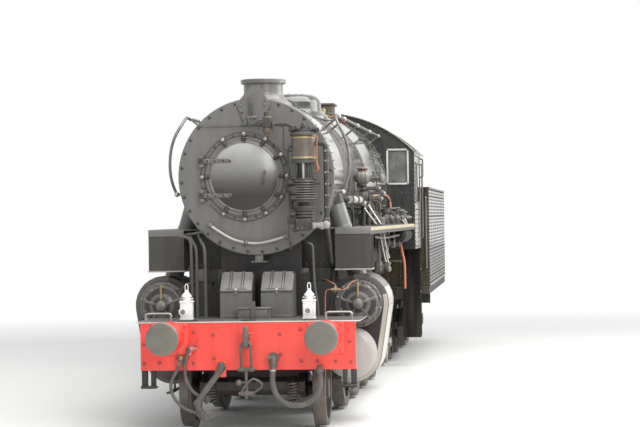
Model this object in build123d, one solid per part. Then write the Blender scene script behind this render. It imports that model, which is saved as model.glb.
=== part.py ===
from build123d import *
import os
from math import acos, atan2, cos, degrees, hypot, radians, sin, sqrt, tan

os.makedirs("parts", exist_ok=True)

# A two-cylinder 2-8-0 steam locomotive with its bogie tender, in millimetres.
# +X is the front, +Y the driver's left, +Z up. Z = 0 is the lowest point of the wheel flanges.
# Along the engine, places are given as s: how far behind the front buffer faces they lie.
# Heights in the tables are above the rail head, and rise(z) turns them into Z.

# Driving sizes of the whole
LENGTH = 18590
FLANGE_DEPTH = 28
SEAT = 0.3
PIN_PLAY = 1.0
RUN_CLEAR = 6
BRAKE_LEAD = 787.5

# Wheels, axles and side rods
BACK_TO_BACK = 1360
TYRE_WIDTH = 140
FLANGE_WIDTH = 32
TYRE_DEPTH = 70
DRIVER_TREAD = 724
DRIVER_S = (3660, 5235, 6810, 8385)
MAIN_DRIVER = 2
DRIVER_AXLE = 100
DRIVER_SPOKES = 15
SPOKE_WIDTH = 62
DRIVER_HUB = 165
CRANK_THROW = 330
CRANK_PIN = 58
CRANK_BOSS = 115
PIN_REACH = 978
SMALL_TREAD = 419
SMALL_AXLE = 75
SMALL_HUB = 120
PONY_S = 1250
PONY_PIVOT_S = 2700
LEFT_CRANK_ANGLE = -90
RIGHT_CRANK_ANGLE = 180
SIDE_ROD_Y = (905, 960)
SIDE_ROD_DEPTH = 120

# Frames
FRAME_Y = (490, 580)
FRAME_TOP = 1235
FRAME_FOOT = 470
FRONT_FRAME = (930, 1190)
FRAME_END_S = 11150

# Front end
BEAM_S = 540
BEAM_THICK = 40
BEAM_HALF = 1193
BEAM_Z = (680, 1203)
DECK_THICK = 12
DECK_HALF = 1245
BUFFER_Y = 863.5
BUFFER_Z = 1054
BUFFER_HEAD = 184
BUFFER_FACE = 150

# Boiler
BOILER_Z = 2824
SMOKEBOX_S = (1500, 3350)
SMOKEBOX_R = 900
SMOKEBOX_SKIN = 16
DOOR_Y = -130
DOOR_RIM = 450
DOOR_DISH = 373
DOOR_HINGE_Y = -619
DOOR_HINGE_S = 1452
BARREL_R = 905
BARREL_END_S = 6200
FIREBOX_S = (7250, 9850)
FIREBOX_R = 975
FIREBOX_FOOT = (1560, 930)
CHIMNEY_S = 2300
CHIMNEY_TOP = 3980
CHIMNEY_R = 232
CHIMNEY_BORE = 205
DOME_S = 5150
DOME_R = 400
DOME_TOP = 3960

# Cylinders and motion
CYL_S = (1800, 2740)
CYL_Y = 1040
CYL_Z = 783
CYL_R = 340
COVER_R = 297
VALVE_Y = 1138
VALVE_Z = 1351
VALVE_R = 330
VALVE_COVER_R = 228
MAIN_ROD_Y = (1006, 1076)
CROSSHEAD_S = 3480
GUIDE_S = (2880, 4130)
GUIDE_GAP = 150
LINK_S = 4760
LINK_Z = 1290
RETURN_Y = (1082, 1112)
GEAR_Y = (1118, 1150)
RETURN_THROW = 175

# Running boards and cab
BOARD_Z = 2226
BOARD_THICK = 12
BOARD_DROP = 70
BOARD_HALF = (1290, 1385)
TANK_R = 180
TANK_S = (4950, 7150)
TANK_Y = 860
TANK_Z = 1800
SLIM_TANK_R = 125
SLIM_TANK_S = (7500, 9150)
SLIM_TANK_Y = 1235
SLIM_TANK_Z = 2080
RAIL_R = 17
RAIL_ANGLE = 38.8
RAIL_REACH = 1135
CAB_S = (9310, 11150)
CAB_HALF = 1394
CAB_FOOT = 1845
CAB_CROWN = BOILER_Z + FIREBOX_R + 106
CAB_EAVE = CAB_CROWN - 596
CAB_SKIN = 12
ROOF_S = (9250, 11720)
ROOF_SKIN = 10
ROOF_LIP = 30
FLOOR_Z = 1845
FLOOR_THICK = 30
FRONT_PANE = ((1012, 1274), (2851, 3318))
PANE_FRAME = 36
SIDE_PANES = ((9560, 10080), (10150, 10760))
SIDE_PANE_Z = (2560, 3130)
PANE_THICK = 6

# Tender
DRAWBAR_S = 11400
REAR_BEAM_S = LENGTH - BEAM_S
TENDER_S = (11910, REAR_BEAM_S - 100)
TENDER_HALF = 1480
TENDER_FLOOR = 1200
TENDER_TOP = 2807
TENDER_SKIN = 12
TENDER_FRAME_S = (11800, REAR_BEAM_S)
SILL_Z = (970, 1200)
SILL_Y = (150, 230)
BOLSTER_REACH = 1300
BUNKER_S = (12350, TENDER_S[1] - 2050)
BUNKER_HALF = 1240
BUNKER_FLOOR = 1500
HATCH_S = TENDER_S[1] - 900
HATCH_R = 240
BOGIE_S = (13080, REAR_BEAM_S - 1880)
BOGIE_HALF_BASE = 876.5
BOGIE_SIDE_Y = (930, 1020)
BOGIE_PLATE_Z = 966

# Toolboxes on the front deck
TOOLBOX_Y = (52, 416)
TOOLBOX_S = (1350, 1750)
TOOLBOX_LID = ((1352, 1521), (1550, 1710))
TOOLBOX_SKIN = 6
LID_THICK = 8
LAMP_Y = (675, -690)
LAMP_S = 665


def fore(s):
    """Return the X of a place s behind the front buffer faces."""
    return LENGTH / 2 - s


def rise(z):
    """Return the Z of a height above the rail head."""
    return z + FLANGE_DEPTH


def slab(s, y, z):
    """Return a block between two places along, two across and two heights."""
    middle = Pos((fore(s[0]) + fore(s[1])) / 2, (y[0] + y[1]) / 2, rise((z[0] + z[1]) / 2))
    return middle * Box(abs(s[1] - s[0]), abs(y[1] - y[0]), abs(z[1] - z[0]))


def bar_along(s, y, z, r):
    """Return a round bar along the engine."""
    return Pos(fore((s[0] + s[1]) / 2), y, rise(z)) * Rot(0, 90, 0) * Cylinder(r, abs(s[1] - s[0]))


def bar_across(s, y, z, r):
    """Return a round bar across the engine."""
    return Pos(fore(s), (y[0] + y[1]) / 2, rise(z)) * Rot(90, 0, 0) * Cylinder(r, abs(y[1] - y[0]))


def bar_up(s, y, z, r):
    """Return an upright round bar."""
    return Pos(fore(s), y, rise((z[0] + z[1]) / 2)) * Cylinder(r, abs(z[1] - z[0]))


def place(point):
    """Return the vector of a place given as (s, y, z)."""
    return Vector(fore(point[0]), point[1], rise(point[2]))


def bar_between(start, end, r):
    """Return a round bar between two places given as (s, y, z)."""
    a = place(start)
    b = place(end)
    return Plane(origin=(a + b) / 2, z_dir=b - a) * Cylinder(r, (b - a).length)


def pipe(points, r, bend):
    """Return a pipe through places given as (s, y, z), with each corner bent to one radius."""
    spots = [place(point) for point in points]
    path = FilletPolyline(*spots, radius=bend) if len(spots) > 2 else Line(*spots)
    section = Plane(origin=path @ 0, z_dir=path % 0) * Circle(r)
    return sweep(section, path=path)


def side_plate(points, y):
    """Return a plate seen from the side: its outline as (s, z), between two places across."""
    face = make_face(Polyline(*[(fore(s), y[0], rise(z)) for s, z in points], close=True))
    return extrude(face, amount=y[1] - y[0], dir=(0, 1, 0))


def front_plate(points, s):
    """Return a plate seen from the front: its outline as (y, z), between two places along."""
    face = make_face(Polyline(*[(fore(s[0]), y, rise(z)) for y, z in points], close=True))
    return extrude(face, amount=s[1] - s[0], dir=(-1, 0, 0))


def flat_plate(points, z):
    """Return a level plate: its outline as (s, y), between two heights."""
    face = make_face(Polyline(*[(fore(s), y, rise(z[0])) for s, y in points], close=True))
    return extrude(face, amount=z[1] - z[0], dir=(0, 0, 1))


def turned_along(profile, y, z):
    """Return a form turned about a line along the engine, from a profile of (s, radius)."""
    face = make_face(Polyline(*[(fore(s), r) for s, r in profile], close=True))
    return Pos(0, y, rise(z)) * revolve(face, Axis.X)


def turned_across(profile, s, z):
    """Return a form turned about a line across the engine, from a profile of (y, radius)."""
    face = make_face(Polyline(*[(r, y) for y, r in profile], close=True))
    return Pos(fore(s), 0, rise(z)) * revolve(face, Axis.Y)


def turned_up(profile, s, y):
    """Return a form turned about an upright line, from a profile of (z, radius)."""
    face = make_face(Polyline(*[(r, 0, rise(z)) for z, r in profile], close=True))
    return Pos(fore(s), y, 0) * revolve(face, Axis.Z)


def other_side(shape):
    """Return the same form on the engine's right."""
    return mirror(shape, about=Plane.XZ)


def both_sides(shape):
    """Return a form and its copy on the other side."""
    return [shape, other_side(shape)]


def save(name, pieces):
    """Write one node's solids, which don't touch each other, to its STEP file."""
    solids = [solid for piece in pieces for solid in piece.solids()]
    export_step(Compound(label=name, children=solids), f"parts/{name}.step")


# Wheels


def tyre_profile(tread, inner):
    """Return the (y, radius) outline of a tyre and rim, for the wheel on the left."""
    back = BACK_TO_BACK / 2
    return [
        (back, inner),
        (back, tread + FLANGE_DEPTH - 8),
        (back + 8, tread + FLANGE_DEPTH),
        (back + FLANGE_WIDTH - 12, tread + FLANGE_DEPTH),
        (back + FLANGE_WIDTH, tread + 2),
        (back + TYRE_WIDTH, tread - 4),
        (back + TYRE_WIDTH, inner),
    ]


def spoked_wheel(axle_s, crank_angle, balance_depth):
    """Return a driving wheel on the left, with its crank pin at an angle from the rear, upwards."""
    back = BACK_TO_BACK / 2
    rim = DRIVER_TREAD - TYRE_DEPTH - 45
    wheel = turned_across(tyre_profile(DRIVER_TREAD, rim), 0, 0)
    wheel += turned_across([(back, 0), (back, DRIVER_HUB), (838, DRIVER_HUB), (838, 0)], 0, 0)
    spoke = side_plate(
        [(-DRIVER_HUB + 20, -SPOKE_WIDTH / 2), (-rim - 10, -SPOKE_WIDTH / 2 + 8),
         (-rim - 10, SPOKE_WIDTH / 2 - 8), (-DRIVER_HUB + 20, SPOKE_WIDTH / 2)],
        (back + 45, back + 105),
    )
    centre = Pos(fore(0), 0, rise(0))
    spoke = centre.inverse() * spoke
    for index in range(DRIVER_SPOKES):
        wheel += centre * Rot(0, 360 / DRIVER_SPOKES * (index + 0.5), 0) * spoke
    boss = make_hull(
        Circle(CRANK_BOSS + 55).edges() + (Pos(CRANK_THROW, 0) * Circle(CRANK_BOSS)).edges()
    )
    wheel += centre * Rot(90, 0, 0) * Pos(0, 0, -848) * extrude(boss, amount=130)
    chord = rim - balance_depth
    half = degrees(acos(chord / rim))
    weight = make_face(
        Line((rim * cos(radians(half)), rim * sin(radians(half))),
             (rim * cos(radians(half)), -rim * sin(radians(half))))
        + RadiusArc((rim * cos(radians(half)), -rim * sin(radians(half))),
                    (rim * cos(radians(half)), rim * sin(radians(half))), -rim)
    )
    wheel += centre * Rot(90, 0, 0) * Rot(0, 0, 180) * Pos(0, 0, -812) * extrude(weight, amount=100)
    wheel += centre * Pos(CRANK_THROW, (840 + PIN_REACH) / 2, 0) * Rot(90, 0, 0) * Cylinder(
        CRANK_PIN, PIN_REACH - 840)
    wheel -= centre * Rot(90, 0, 0) * Cylinder(DRIVER_AXLE, 2400)
    turn = Rot(0, 180 + crank_angle, 0)
    return Pos(fore(axle_s), 0, rise(DRIVER_TREAD)) * turn * centre.inverse() * wheel


def axle(axle_s, height, radius, reach):
    """Return an axle, a hair thinner than the wheels' bores."""
    return bar_across(axle_s, (-reach, reach), height, radius - SEAT)


def disc_wheel():
    """Return a small rolled wheel on the left, at the origin of places."""
    back = BACK_TO_BACK / 2
    rim = SMALL_TREAD - TYRE_DEPTH
    outline = tyre_profile(SMALL_TREAD, rim)
    wheel = turned_across(outline, 0, 0)
    web = [
        (back + 5, SMALL_AXLE), (back + 5, SMALL_HUB), (back + 62, SMALL_HUB + 20),
        (back + 30, rim - 20), (back + 30, rim + 5), (back + 62, rim + 5), (back + 62, rim - 15),
        (back + 90, SMALL_HUB + 15), (back + 150, SMALL_HUB - 10), (back + 150, SMALL_AXLE),
    ]
    return wheel + turned_across(web, 0, 0)


def driver_wheelset(index):
    """Return one coupled wheelset: two wheels with their crank pins, and the axle."""
    depth = 190 if index == MAIN_DRIVER else 110
    axle_s = DRIVER_S[index]
    left = spoked_wheel(axle_s, LEFT_CRANK_ANGLE, depth)
    right = other_side(spoked_wheel(axle_s, RIGHT_CRANK_ANGLE, depth))
    return [left, right, axle(axle_s, DRIVER_TREAD, DRIVER_AXLE, BACK_TO_BACK / 2 + 152)]


def small_wheelset(axle_s, reach):
    """Return one carrying wheelset, its axle reaching so far each side."""
    wheel = Pos(fore(axle_s) - fore(0), 0, SMALL_TREAD) * disc_wheel()
    return both_sides(wheel) + [axle(axle_s, SMALL_TREAD, SMALL_AXLE, reach)]


def crank_offset(angle, throw=CRANK_THROW):
    """Return how far a crank pin lies behind and above its axle."""
    return throw * cos(radians(angle)), throw * sin(radians(angle))


def side_rod(angle):
    """Return the coupling rod on the left, with its four eyes."""
    behind, above = crank_offset(angle)
    level = DRIVER_TREAD + above
    half = SIDE_ROD_DEPTH / 2
    rod = slab((DRIVER_S[0] + behind, DRIVER_S[-1] + behind), SIDE_ROD_Y, (level - half, level + half))
    rod -= slab((DRIVER_S[0] + behind, DRIVER_S[-1] + behind), (SIDE_ROD_Y[1] - 12, SIDE_ROD_Y[1] + 5),
                (level - half + 28, level + half - 28))
    for axle_s in DRIVER_S:
        rod += bar_across(axle_s + behind, SIDE_ROD_Y, level, 118)
    for axle_s in DRIVER_S[1:3]:
        knuckle = axle_s + behind + (230 if axle_s == DRIVER_S[2] else -230)
        rod += bar_across(knuckle, SIDE_ROD_Y, level, 78)
        rod += bar_across(knuckle, (SIDE_ROD_Y[0], SIDE_ROD_Y[1] + 10), level, 34)
    for axle_s in DRIVER_S:
        rod -= bar_across(axle_s + behind, (800, 1000), level, CRANK_PIN + PIN_PLAY)
    return rod


# Frames and front end


def frame_plates():
    """Return the two frame plates and the stretchers between them."""
    low, high = FRONT_FRAME
    outline = [
        (BEAM_S + BEAM_THICK + SEAT, high), (2980, high), (3060, FRAME_TOP), (FRAME_END_S, FRAME_TOP),
        (FRAME_END_S, 880), (9330, 880), (9100, FRAME_FOOT), (3060, FRAME_FOOT), (2880, low),
        (BEAM_S + BEAM_THICK + SEAT, low),
    ]
    plate = side_plate(outline, FRAME_Y)
    middle_y = (FRAME_Y[0] + FRAME_Y[1]) / 2
    for first, second in zip(DRIVER_S, DRIVER_S[1:]):
        centre = Pos(fore((first + second) / 2), middle_y, rise(845))
        opening = RectangleRounded(second - first - 640, 470, 60)
        window = Rot(90, 0, 0) * extrude(opening, amount=80, both=True)
        plate -= centre * window
    for axle_s in DRIVER_S:
        plate -= bar_across(axle_s, (400, 700), DRIVER_TREAD, DRIVER_AXLE + SEAT)
    inner = FRAME_Y[0] - SEAT
    stretchers = [
        slab((s - half, s + half), (-inner, inner), (z0, z1))
        for s, half, z0, z1 in (
            (700, 30, 940, 1180), (4447, 25, 620, 1200), (6022, 25, 620, 1200),
            (7597, 25, 500, 900), (9220, 30, 900, 1200),
        )
    ]
    pad = slab((PONY_S - 110, PONY_S + 110), (-inner, inner), (FRONT_FRAME[0] - 25, FRONT_FRAME[1] - 20))
    pivot = slab((2980, 3040), (-inner, inner), (600, 1200))
    pivot += slab((PONY_PIVOT_S - 100, 2990), (-150, 150), (600, 690))
    pivot += bar_up(PONY_PIVOT_S, 0, (400, 610), 30)
    hitch = slab((10720, 11080), (-inner, inner), (900, 1220))
    for low, high in ((900, 990), (1070, 1160)):
        hitch += slab((11070, DRAWBAR_S + 80), (-110, 110), (low, high))
    hitch += bar_up(DRAWBAR_S, 0, (905, 1155), 35)
    return both_sides(plate) + stretchers + [pad, pivot, hitch]


def buffer_beam():
    """Return the front beam, a channel with its flanges turned back."""
    back = BEAM_S + BEAM_THICK
    beam = slab((BEAM_S, back), (-BEAM_HALF, BEAM_HALF), BEAM_Z)
    beam += slab((back - 5, back + 110), (-BEAM_HALF, -590), (BEAM_Z[1] - 20, BEAM_Z[1]))
    beam += slab((back - 5, back + 110), (590, BEAM_HALF), (BEAM_Z[1] - 20, BEAM_Z[1]))
    beam += slab((back - 5, back + 90), (-BEAM_HALF, BEAM_HALF), (BEAM_Z[0], BEAM_Z[0] + 20))
    beam += slab((BEAM_S - 14, BEAM_S + 5), (-364, -242), (605, 780))
    return beam


def front_deck():
    """Return the deck behind the beam, its lamp irons, middle box, grab rails and pipes."""
    top = BEAM_Z[1] + DECK_THICK
    outline = [
        (BEAM_S - 5, -DECK_HALF), (1540, -DECK_HALF), (1540, -740), (1840, -740),
        (1840, 740), (1540, 740), (1540, DECK_HALF), (BEAM_S - 5, DECK_HALF),
    ]
    deck = flat_plate(outline, (BEAM_Z[1] + SEAT, top))
    deck += slab((1060, 1300), (-178, 178), (top - 1, 1335))
    deck += slab((1050, 1310), (-185, 185), (1325, 1340))
    for y in LAMP_Y:
        deck += slab((BEAM_S + 5, BEAM_S + 230), (y - 55, y + 95), (top - 1, top + 16))
        deck += slab((LAMP_S + 80, LAMP_S + 94), (y - 22, y + 22), (top + 10, top + 165))
    deck += slab((BEAM_S + 5, BEAM_S + 125), (-65, 85), (top - 1, top + 16))
    deck += slab((1036, 1052), (-24, 24), (top - 1, 1412))
    for y in (860, -1147):
        rail = [(640, y, top - 2), (640, y, 1300), (640, y + 287, 1300), (640, y + 287, top - 2)]
        deck += pipe(rail, 13, 40)
    return deck


def front_buffers():
    """Return two buffers: a square flange, a tapered casing, the ram and the round head."""
    out = []
    for y in (BUFFER_Y, -BUFFER_Y):
        profile = [
            (0, 0), (0, BUFFER_FACE), (10, BUFFER_HEAD - 8), (24, BUFFER_HEAD), (38, BUFFER_HEAD),
            (60, 95), (75, 78), (290, 78), (290, 122), (330, 132), (500, 168), (518, 168), (518, 0),
        ]
        buffer = turned_along(profile, y, BUFFER_Z)
        buffer += slab((514, BEAM_S - SEAT), (y - 205, y + 205), (BUFFER_Z - 200, BUFFER_Z + 145))
        out.append(buffer)
    return out


def screw_coupling():
    """Return the draw hook with its shackle, screw and bow, hanging as one."""
    hook = side_plate(
        [(BEAM_S - SEAT, 945), (470, 945), (410, 920), (362, 940), (336, 1000), (334, 1080), (348, 1150),
         (366, 1172), (384, 1160), (390, 1105), (400, 1060), (420, 1040), (445, 1050), (462, 1080),
         (500, 1085),
         (BEAM_S - SEAT, 1085)],
        (-28, 28),
    )
    hook += slab((522, BEAM_S - SEAT), (-60, 60), (905, 1095))
    top, pin, foot = 985, 693, 432
    arms = pipe([(395, -55, pin), (395, -55, top), (395, 55, top), (395, 55, pin)], 17, 40)
    hook += arms
    hook += bar_across(395, (-95, 95), pin, 27)
    hook += bar_up(395, 0, (375, pin), 20)
    hook += bar_across(395, (-78, 78), foot, 30)
    hook += bar_between((395, 60, foot), (360, 175, 535), 14)
    hook += bar_between((395, -60, foot), (360, 60, 585), 14)
    hook += bar_between((360, 60, 585), (360, 175, 535), 14)
    hook += bar_between((395, 0, 560), (395, -62, 552), 11)
    hook += Pos(place((395, -82, 550))) * Sphere(38)
    return hook


# Cylinders and smokebox


def jacket_face(extra):
    """Return the outline round a cylinder and its valve chest, on the left, at x = 0."""
    low = Pos(CYL_Y, rise(CYL_Z)) * Circle(CYL_R + extra)
    high = Pos(VALVE_Y, rise(VALVE_Z)) * Circle(VALVE_R + extra)
    return Plane.YZ * make_hull(low.edges() + high.edges())


def cylinder_half():
    """Return the left half of the cylinder casting."""
    first, last = CYL_S
    body = Pos(fore(last), 0, 0) * extrude(jacket_face(0), amount=last - first)
    body += slab((first + 50, last - 50), (FRAME_Y[1] + SEAT, 900), (640, 1600))
    body += slab((first + 50, last - 50), (-1, 760), (FRONT_FRAME[1] + SEAT, 1500))
    neck = front_plate([(-1, 1480), (640, 1480), (470, 1700), (470, 2200), (-1, 2200)],
                       (first + 70, last - 70))
    body += neck
    body += slab((first + 70, last - 70), (-1, FRAME_Y[0] - SEAT), (700, FRONT_FRAME[1] + 5))
    body += turned_along(
        [(first + 5, 0), (first + 5, COVER_R), (first - 60, COVER_R), (first - 85, 250), (first - 110, 120),
         (first - 110, 0)], CYL_Y, CYL_Z)
    body += turned_along(
        [(last - 5, 0), (last - 5, COVER_R), (last + 60, COVER_R), (last + 90, 200), (last + 90, 75),
         (last + 160, 75), (last + 160, 0)], CYL_Y, CYL_Z)
    body += turned_along(
        [(first + 5, 0), (first + 5, 270), (first - 95, 270), (first - 95, VALVE_COVER_R),
         (first - 150, VALVE_COVER_R), (first - 175, 130), (first - 215, 60), (first - 215, 0)], VALVE_Y,
         VALVE_Z)
    body += turned_along(
        [(last - 5, 0), (last - 5, 270), (last + 90, 270), (last + 90, VALVE_COVER_R),
         (last + 130, VALVE_COVER_R), (last + 150, 60), (last + 190, 60), (last + 190, 0)], VALVE_Y, VALVE_Z)
    body += bar_between((2230, 800, 2640), (2230, 1120, 1560), 105)
    return body


def cylinder_saddle():
    """Return the pair of cylinders and the saddle that carries the smokebox."""
    left = cylinder_half()
    casting = left + other_side(left)
    casting -= bar_along((1400, 3500), 0, BOILER_Z, SMOKEBOX_R + SEAT)
    return casting


def smokebox():
    """Return the smokebox shell, open at the front, with the hole for the chimney."""
    first, last = SMOKEBOX_S
    shell = bar_along((first + 20 + SEAT, last), 0, BOILER_Z, SMOKEBOX_R)
    shell -= bar_along((first, last - SMOKEBOX_SKIN), 0, BOILER_Z, SMOKEBOX_R - SMOKEBOX_SKIN)
    shell -= bar_up(CHIMNEY_S, 0, (3400, 4000), CHIMNEY_BORE)
    return shell


def smokebox_front():
    """Return the front ring with its lugs, bolts, curved rail and number-board plate."""
    first = SMOKEBOX_S[0]
    ring = turned_along(
        [(first + 20, 0), (first + 20, SMOKEBOX_R), (first + 8, SMOKEBOX_R), (first, SMOKEBOX_R - 12),
         (first, 0)],
        0, BOILER_Z)
    ring += turned_along(
        [(first + 2, 470), (first - 8, 476), (first - 8, 505), (first + 2, 511)], DOOR_Y, BOILER_Z)
    ring -= bar_along((first - 50, first + 50), DOOR_Y, BOILER_Z, DOOR_RIM - 30)
    for index in range(12):
        angle = 30 * index
        if angle in (150, 210):
            continue
        y = DOOR_Y + 485 * cos(radians(angle))
        z = BOILER_Z + 485 * sin(radians(angle))
        ring += bar_along((first - 45, first + 2), y, z, 24)
    for height in (2610, 3007):
        for side in (-1, 1):
            lug = height + side * 52
            ring += slab((DOOR_HINGE_S - 26, first + 2), (DOOR_HINGE_Y - 26, DOOR_HINGE_Y + 26),
                         (lug - 17, lug + 17))
        ring += bar_up(DOOR_HINGE_S, DOOR_HINGE_Y, (height - 60, height + 60), 13)
    plate = front_plate(
        [(-35, 3866), (48, 3866), (173, 3655), (83, 3425), (-118, 3412), (-219, 3655)],
        (first - 12, first + 2))
    ring += plate
    ring += slab((first - 30, first - 10), (-64, -16), (3500, 3742))
    ring += slab((first - 44, first - 10), (-98, 18), (3490, 3512))
    spots = []
    for angle in (226, 261, 296):
        y = 765 * cos(radians(angle))
        z = BOILER_Z + 765 * sin(radians(angle))
        spots.append((first - 60, y, z))
        ring += bar_along((first - 60, first + 2), y, z, 12)
    path = ThreePointArc(*[place(spot) for spot in spots])
    ring += sweep(Plane(origin=path @ 0, z_dir=path % 0) * Circle(14), path=path)
    return ring


def dish_spot(apex, rim, r):
    """Return the s of a spherical dish at a radius, from its apex and its rim at the door's dish radius."""
    depth = rim - apex
    sphere = (DOOR_DISH ** 2 + depth ** 2) / (2 * depth)
    return apex + sphere - sqrt(sphere ** 2 - r ** 2)


def smokebox_door():
    """Return the dished door with its two straps and handle."""
    front = SMOKEBOX_S[0]
    crown = front - 118
    rim_s = front - 48
    section = make_face(
        ThreePointArc((fore(crown), 0), (fore(dish_spot(crown, rim_s, 190)), 190), (fore(rim_s), DOOR_DISH))
        + Polyline((fore(rim_s), DOOR_DISH), (fore(rim_s + 10), DOOR_DISH + 12),
                   (fore(rim_s + 10), DOOR_RIM),
                   (fore(front - SEAT), DOOR_RIM), (fore(front - SEAT), DOOR_DISH))
        + ThreePointArc((fore(front - SEAT), DOOR_DISH),
                        (fore(dish_spot(crown + 30, front - SEAT, 190)), 190),
                        (fore(crown + 30), 0))
        + Line((fore(crown + 30), 0), (fore(crown), 0)))
    door = Pos(0, DOOR_Y, rise(BOILER_Z)) * revolve(section, Axis.X)
    for height in (2610, 3007):
        strap = slab((DOOR_HINGE_S - 14, DOOR_HINGE_S + 14), (DOOR_HINGE_Y, -400),
                     (height - 26, height + 26))
        strap += slab((crown + 28, rim_s + 5), (-480, -270), (height - 22, height + 22))
        strap += bar_up(DOOR_HINGE_S, DOOR_HINGE_Y, (height - 34, height + 34), 27)
        strap -= bar_up(DOOR_HINGE_S, DOOR_HINGE_Y, (height - 60, height + 60), 13 + PIN_PLAY)
        door += strap
    door += bar_along((crown - 55, crown + 30), 120, 2880, 12)
    door += bar_along((crown - 55, crown + 30), 120, 2730, 12)
    door += bar_up(crown - 50, 120, (2715, 2895), 12)
    return door


def chimney():
    """Return the chimney: a flared foot on the smokebox, a short stack and its cap."""
    profile = [
        (3600, CHIMNEY_BORE), (3600, CHIMNEY_R + 130), (3700, CHIMNEY_R + 95), (3740, CHIMNEY_R + 40),
        (3790, CHIMNEY_R + 6), (3820, CHIMNEY_R), (CHIMNEY_TOP - 62, CHIMNEY_R),
        (CHIMNEY_TOP - 50, CHIMNEY_R + 32),
        (CHIMNEY_TOP - 8, CHIMNEY_R + 36), (CHIMNEY_TOP, CHIMNEY_R + 28), (CHIMNEY_TOP, CHIMNEY_BORE),
    ]
    stack = turned_up(profile, CHIMNEY_S, 0)
    return stack - bar_along((1400, 3500), 0, BOILER_Z, SMOKEBOX_R + SEAT)


def finned_drum(s, y, low, high, core, fin, count):
    """Return an upright drum with cooling fins, as one turned form."""
    pitch = (high - low) / count
    profile = [(low, 0)]
    for index in range(count):
        base = low + index * pitch
        profile += [(base, core), (base + pitch * 0.35, core), (base + pitch * 0.35, fin),
                    (base + pitch * 0.8, fin),
                    (base + pitch * 0.8, core)]
    profile += [(high, core), (high, 0)]
    return turned_up(profile, s, y)


def air_pump():
    """Return the steam-driven air pump on its bracket, with its pipes."""
    s, y = 1150, 587
    pump = turned_up(
        [(2960, 0), (2960, 150), (2985, 150), (2985, 133), (3265, 133), (3265, 152), (3290, 152), (3310, 90),
         (3340, 90), (3340, 0)], s, y)
    pump += turned_up([(2760, 0), (2760, 140), (2785, 140), (2785, 60), (2962, 60), (2962, 0)], s, y)
    pump += finned_drum(s, y, 2543, 2765, 112, 147, 8)
    pump += turned_up([(2440, 0), (2440, 128), (2470, 128), (2470, 60), (2520, 60), (2520, 130), (2545, 130),
                       (2545, 0)], s, y)
    pump += finned_drum(s, y, 2204, 2445, 95, 117, 7)
    bracket = slab((s, SMOKEBOX_S[0] - SEAT), (y - 60, y + 60), (2380, 2440))
    bracket += slab((s, SMOKEBOX_S[0] - SEAT), (y - 60, y + 60), (2905, 2950))
    bracket += slab((SMOKEBOX_S[0] - 20, SMOKEBOX_S[0] - SEAT), (y - 110, y + 30), (2330, 3020))
    pump += bracket
    casting_top = 1600 + SEAT
    pump += pipe([(s, y + 100, 3180), (s, 840, 3180), (s, 840, 2235), (1600, 835, 1850), (1900, 835, 1760),
                  (1900, 835, casting_top)], 28, 60)
    pump += bar_across(s, (y + 60, 840), 2256, 22)
    pump += slab((s - 60, s + 60), (y - 210, y - 90), (2620, 2720))
    pump += slab((s - 60, s + 60), (y - 190, y - 80), (2270, 2370))
    pump += pipe([(s, y - 150, 2660), (s, y - 150, 2320)], 26, 20)
    pump += pipe([(s, y, 3300), (s, y - 180, 3400), (s, 175, 3400)], 20, 60)
    governor = bar_up(s, 175, (3330, 3545), 34) + slab((s - 50, s + 50), (130, 220), (3370, 3470))
    governor += bar_across(s, (-110, 175), 3400, 15)
    governor += slab((s, SMOKEBOX_S[0] - SEAT), (155, 195), (3400, 3440))
    return pump + governor


# Boiler


def firebox_outline(radius, foot_half, foot_z):
    """Return the face of the firebox wrapper: a round crown over sides that lean in."""
    crown = ThreePointArc((radius, rise(BOILER_Z)), (0, rise(BOILER_Z) + radius), (-radius, rise(BOILER_Z)))
    sides = Polyline((-radius, rise(BOILER_Z)), (-foot_half, rise(foot_z)), (foot_half, rise(foot_z)),
                     (radius, rise(BOILER_Z)))
    return Plane.YZ * make_face(crown + sides)


def boiler():
    """Return the lagged barrel with its bands, the taper, and the firebox with its backhead."""
    first = SMOKEBOX_S[1] + SEAT
    bands = (3480, 4300, 5900)
    profile = [(first, 0), (first, BARREL_R)]
    for band in bands:
        profile += [(band, BARREL_R), (band, BARREL_R + 7), (band + 60, BARREL_R + 7), (band + 60, BARREL_R)]
    profile += [(BARREL_END_S, BARREL_R), (FIREBOX_S[0], FIREBOX_R - 6), (FIREBOX_S[0] + 40, FIREBOX_R - 6),
                (FIREBOX_S[0] + 40, 0)]
    shell = turned_along(profile, 0, BOILER_Z)
    face = firebox_outline(FIREBOX_R, FIREBOX_FOOT[1], FIREBOX_FOOT[0])
    shell += Pos(fore(FIREBOX_S[1]), 0, 0) * extrude(face, amount=FIREBOX_S[1] - FIREBOX_S[0])
    band_face = firebox_outline(FIREBOX_R + 7, FIREBOX_FOOT[1] + 7, FIREBOX_FOOT[0] + 200)
    for band in (FIREBOX_S[0] + 20, 8250, 9190):
        shell += Pos(fore(band + 60), 0, 0) * extrude(band_face, amount=60)
    foot = FRAME_TOP + SEAT
    for s in (4300, 6060, 7120):
        shell += front_plate(
            [(-FRAME_Y[1], foot), (FRAME_Y[1], foot), (FRAME_Y[1], foot + 60), (420, 2150), (-420, 2150),
             (-FRAME_Y[1], foot + 60)], (s - 15, s + 15))
    return shell


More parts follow.
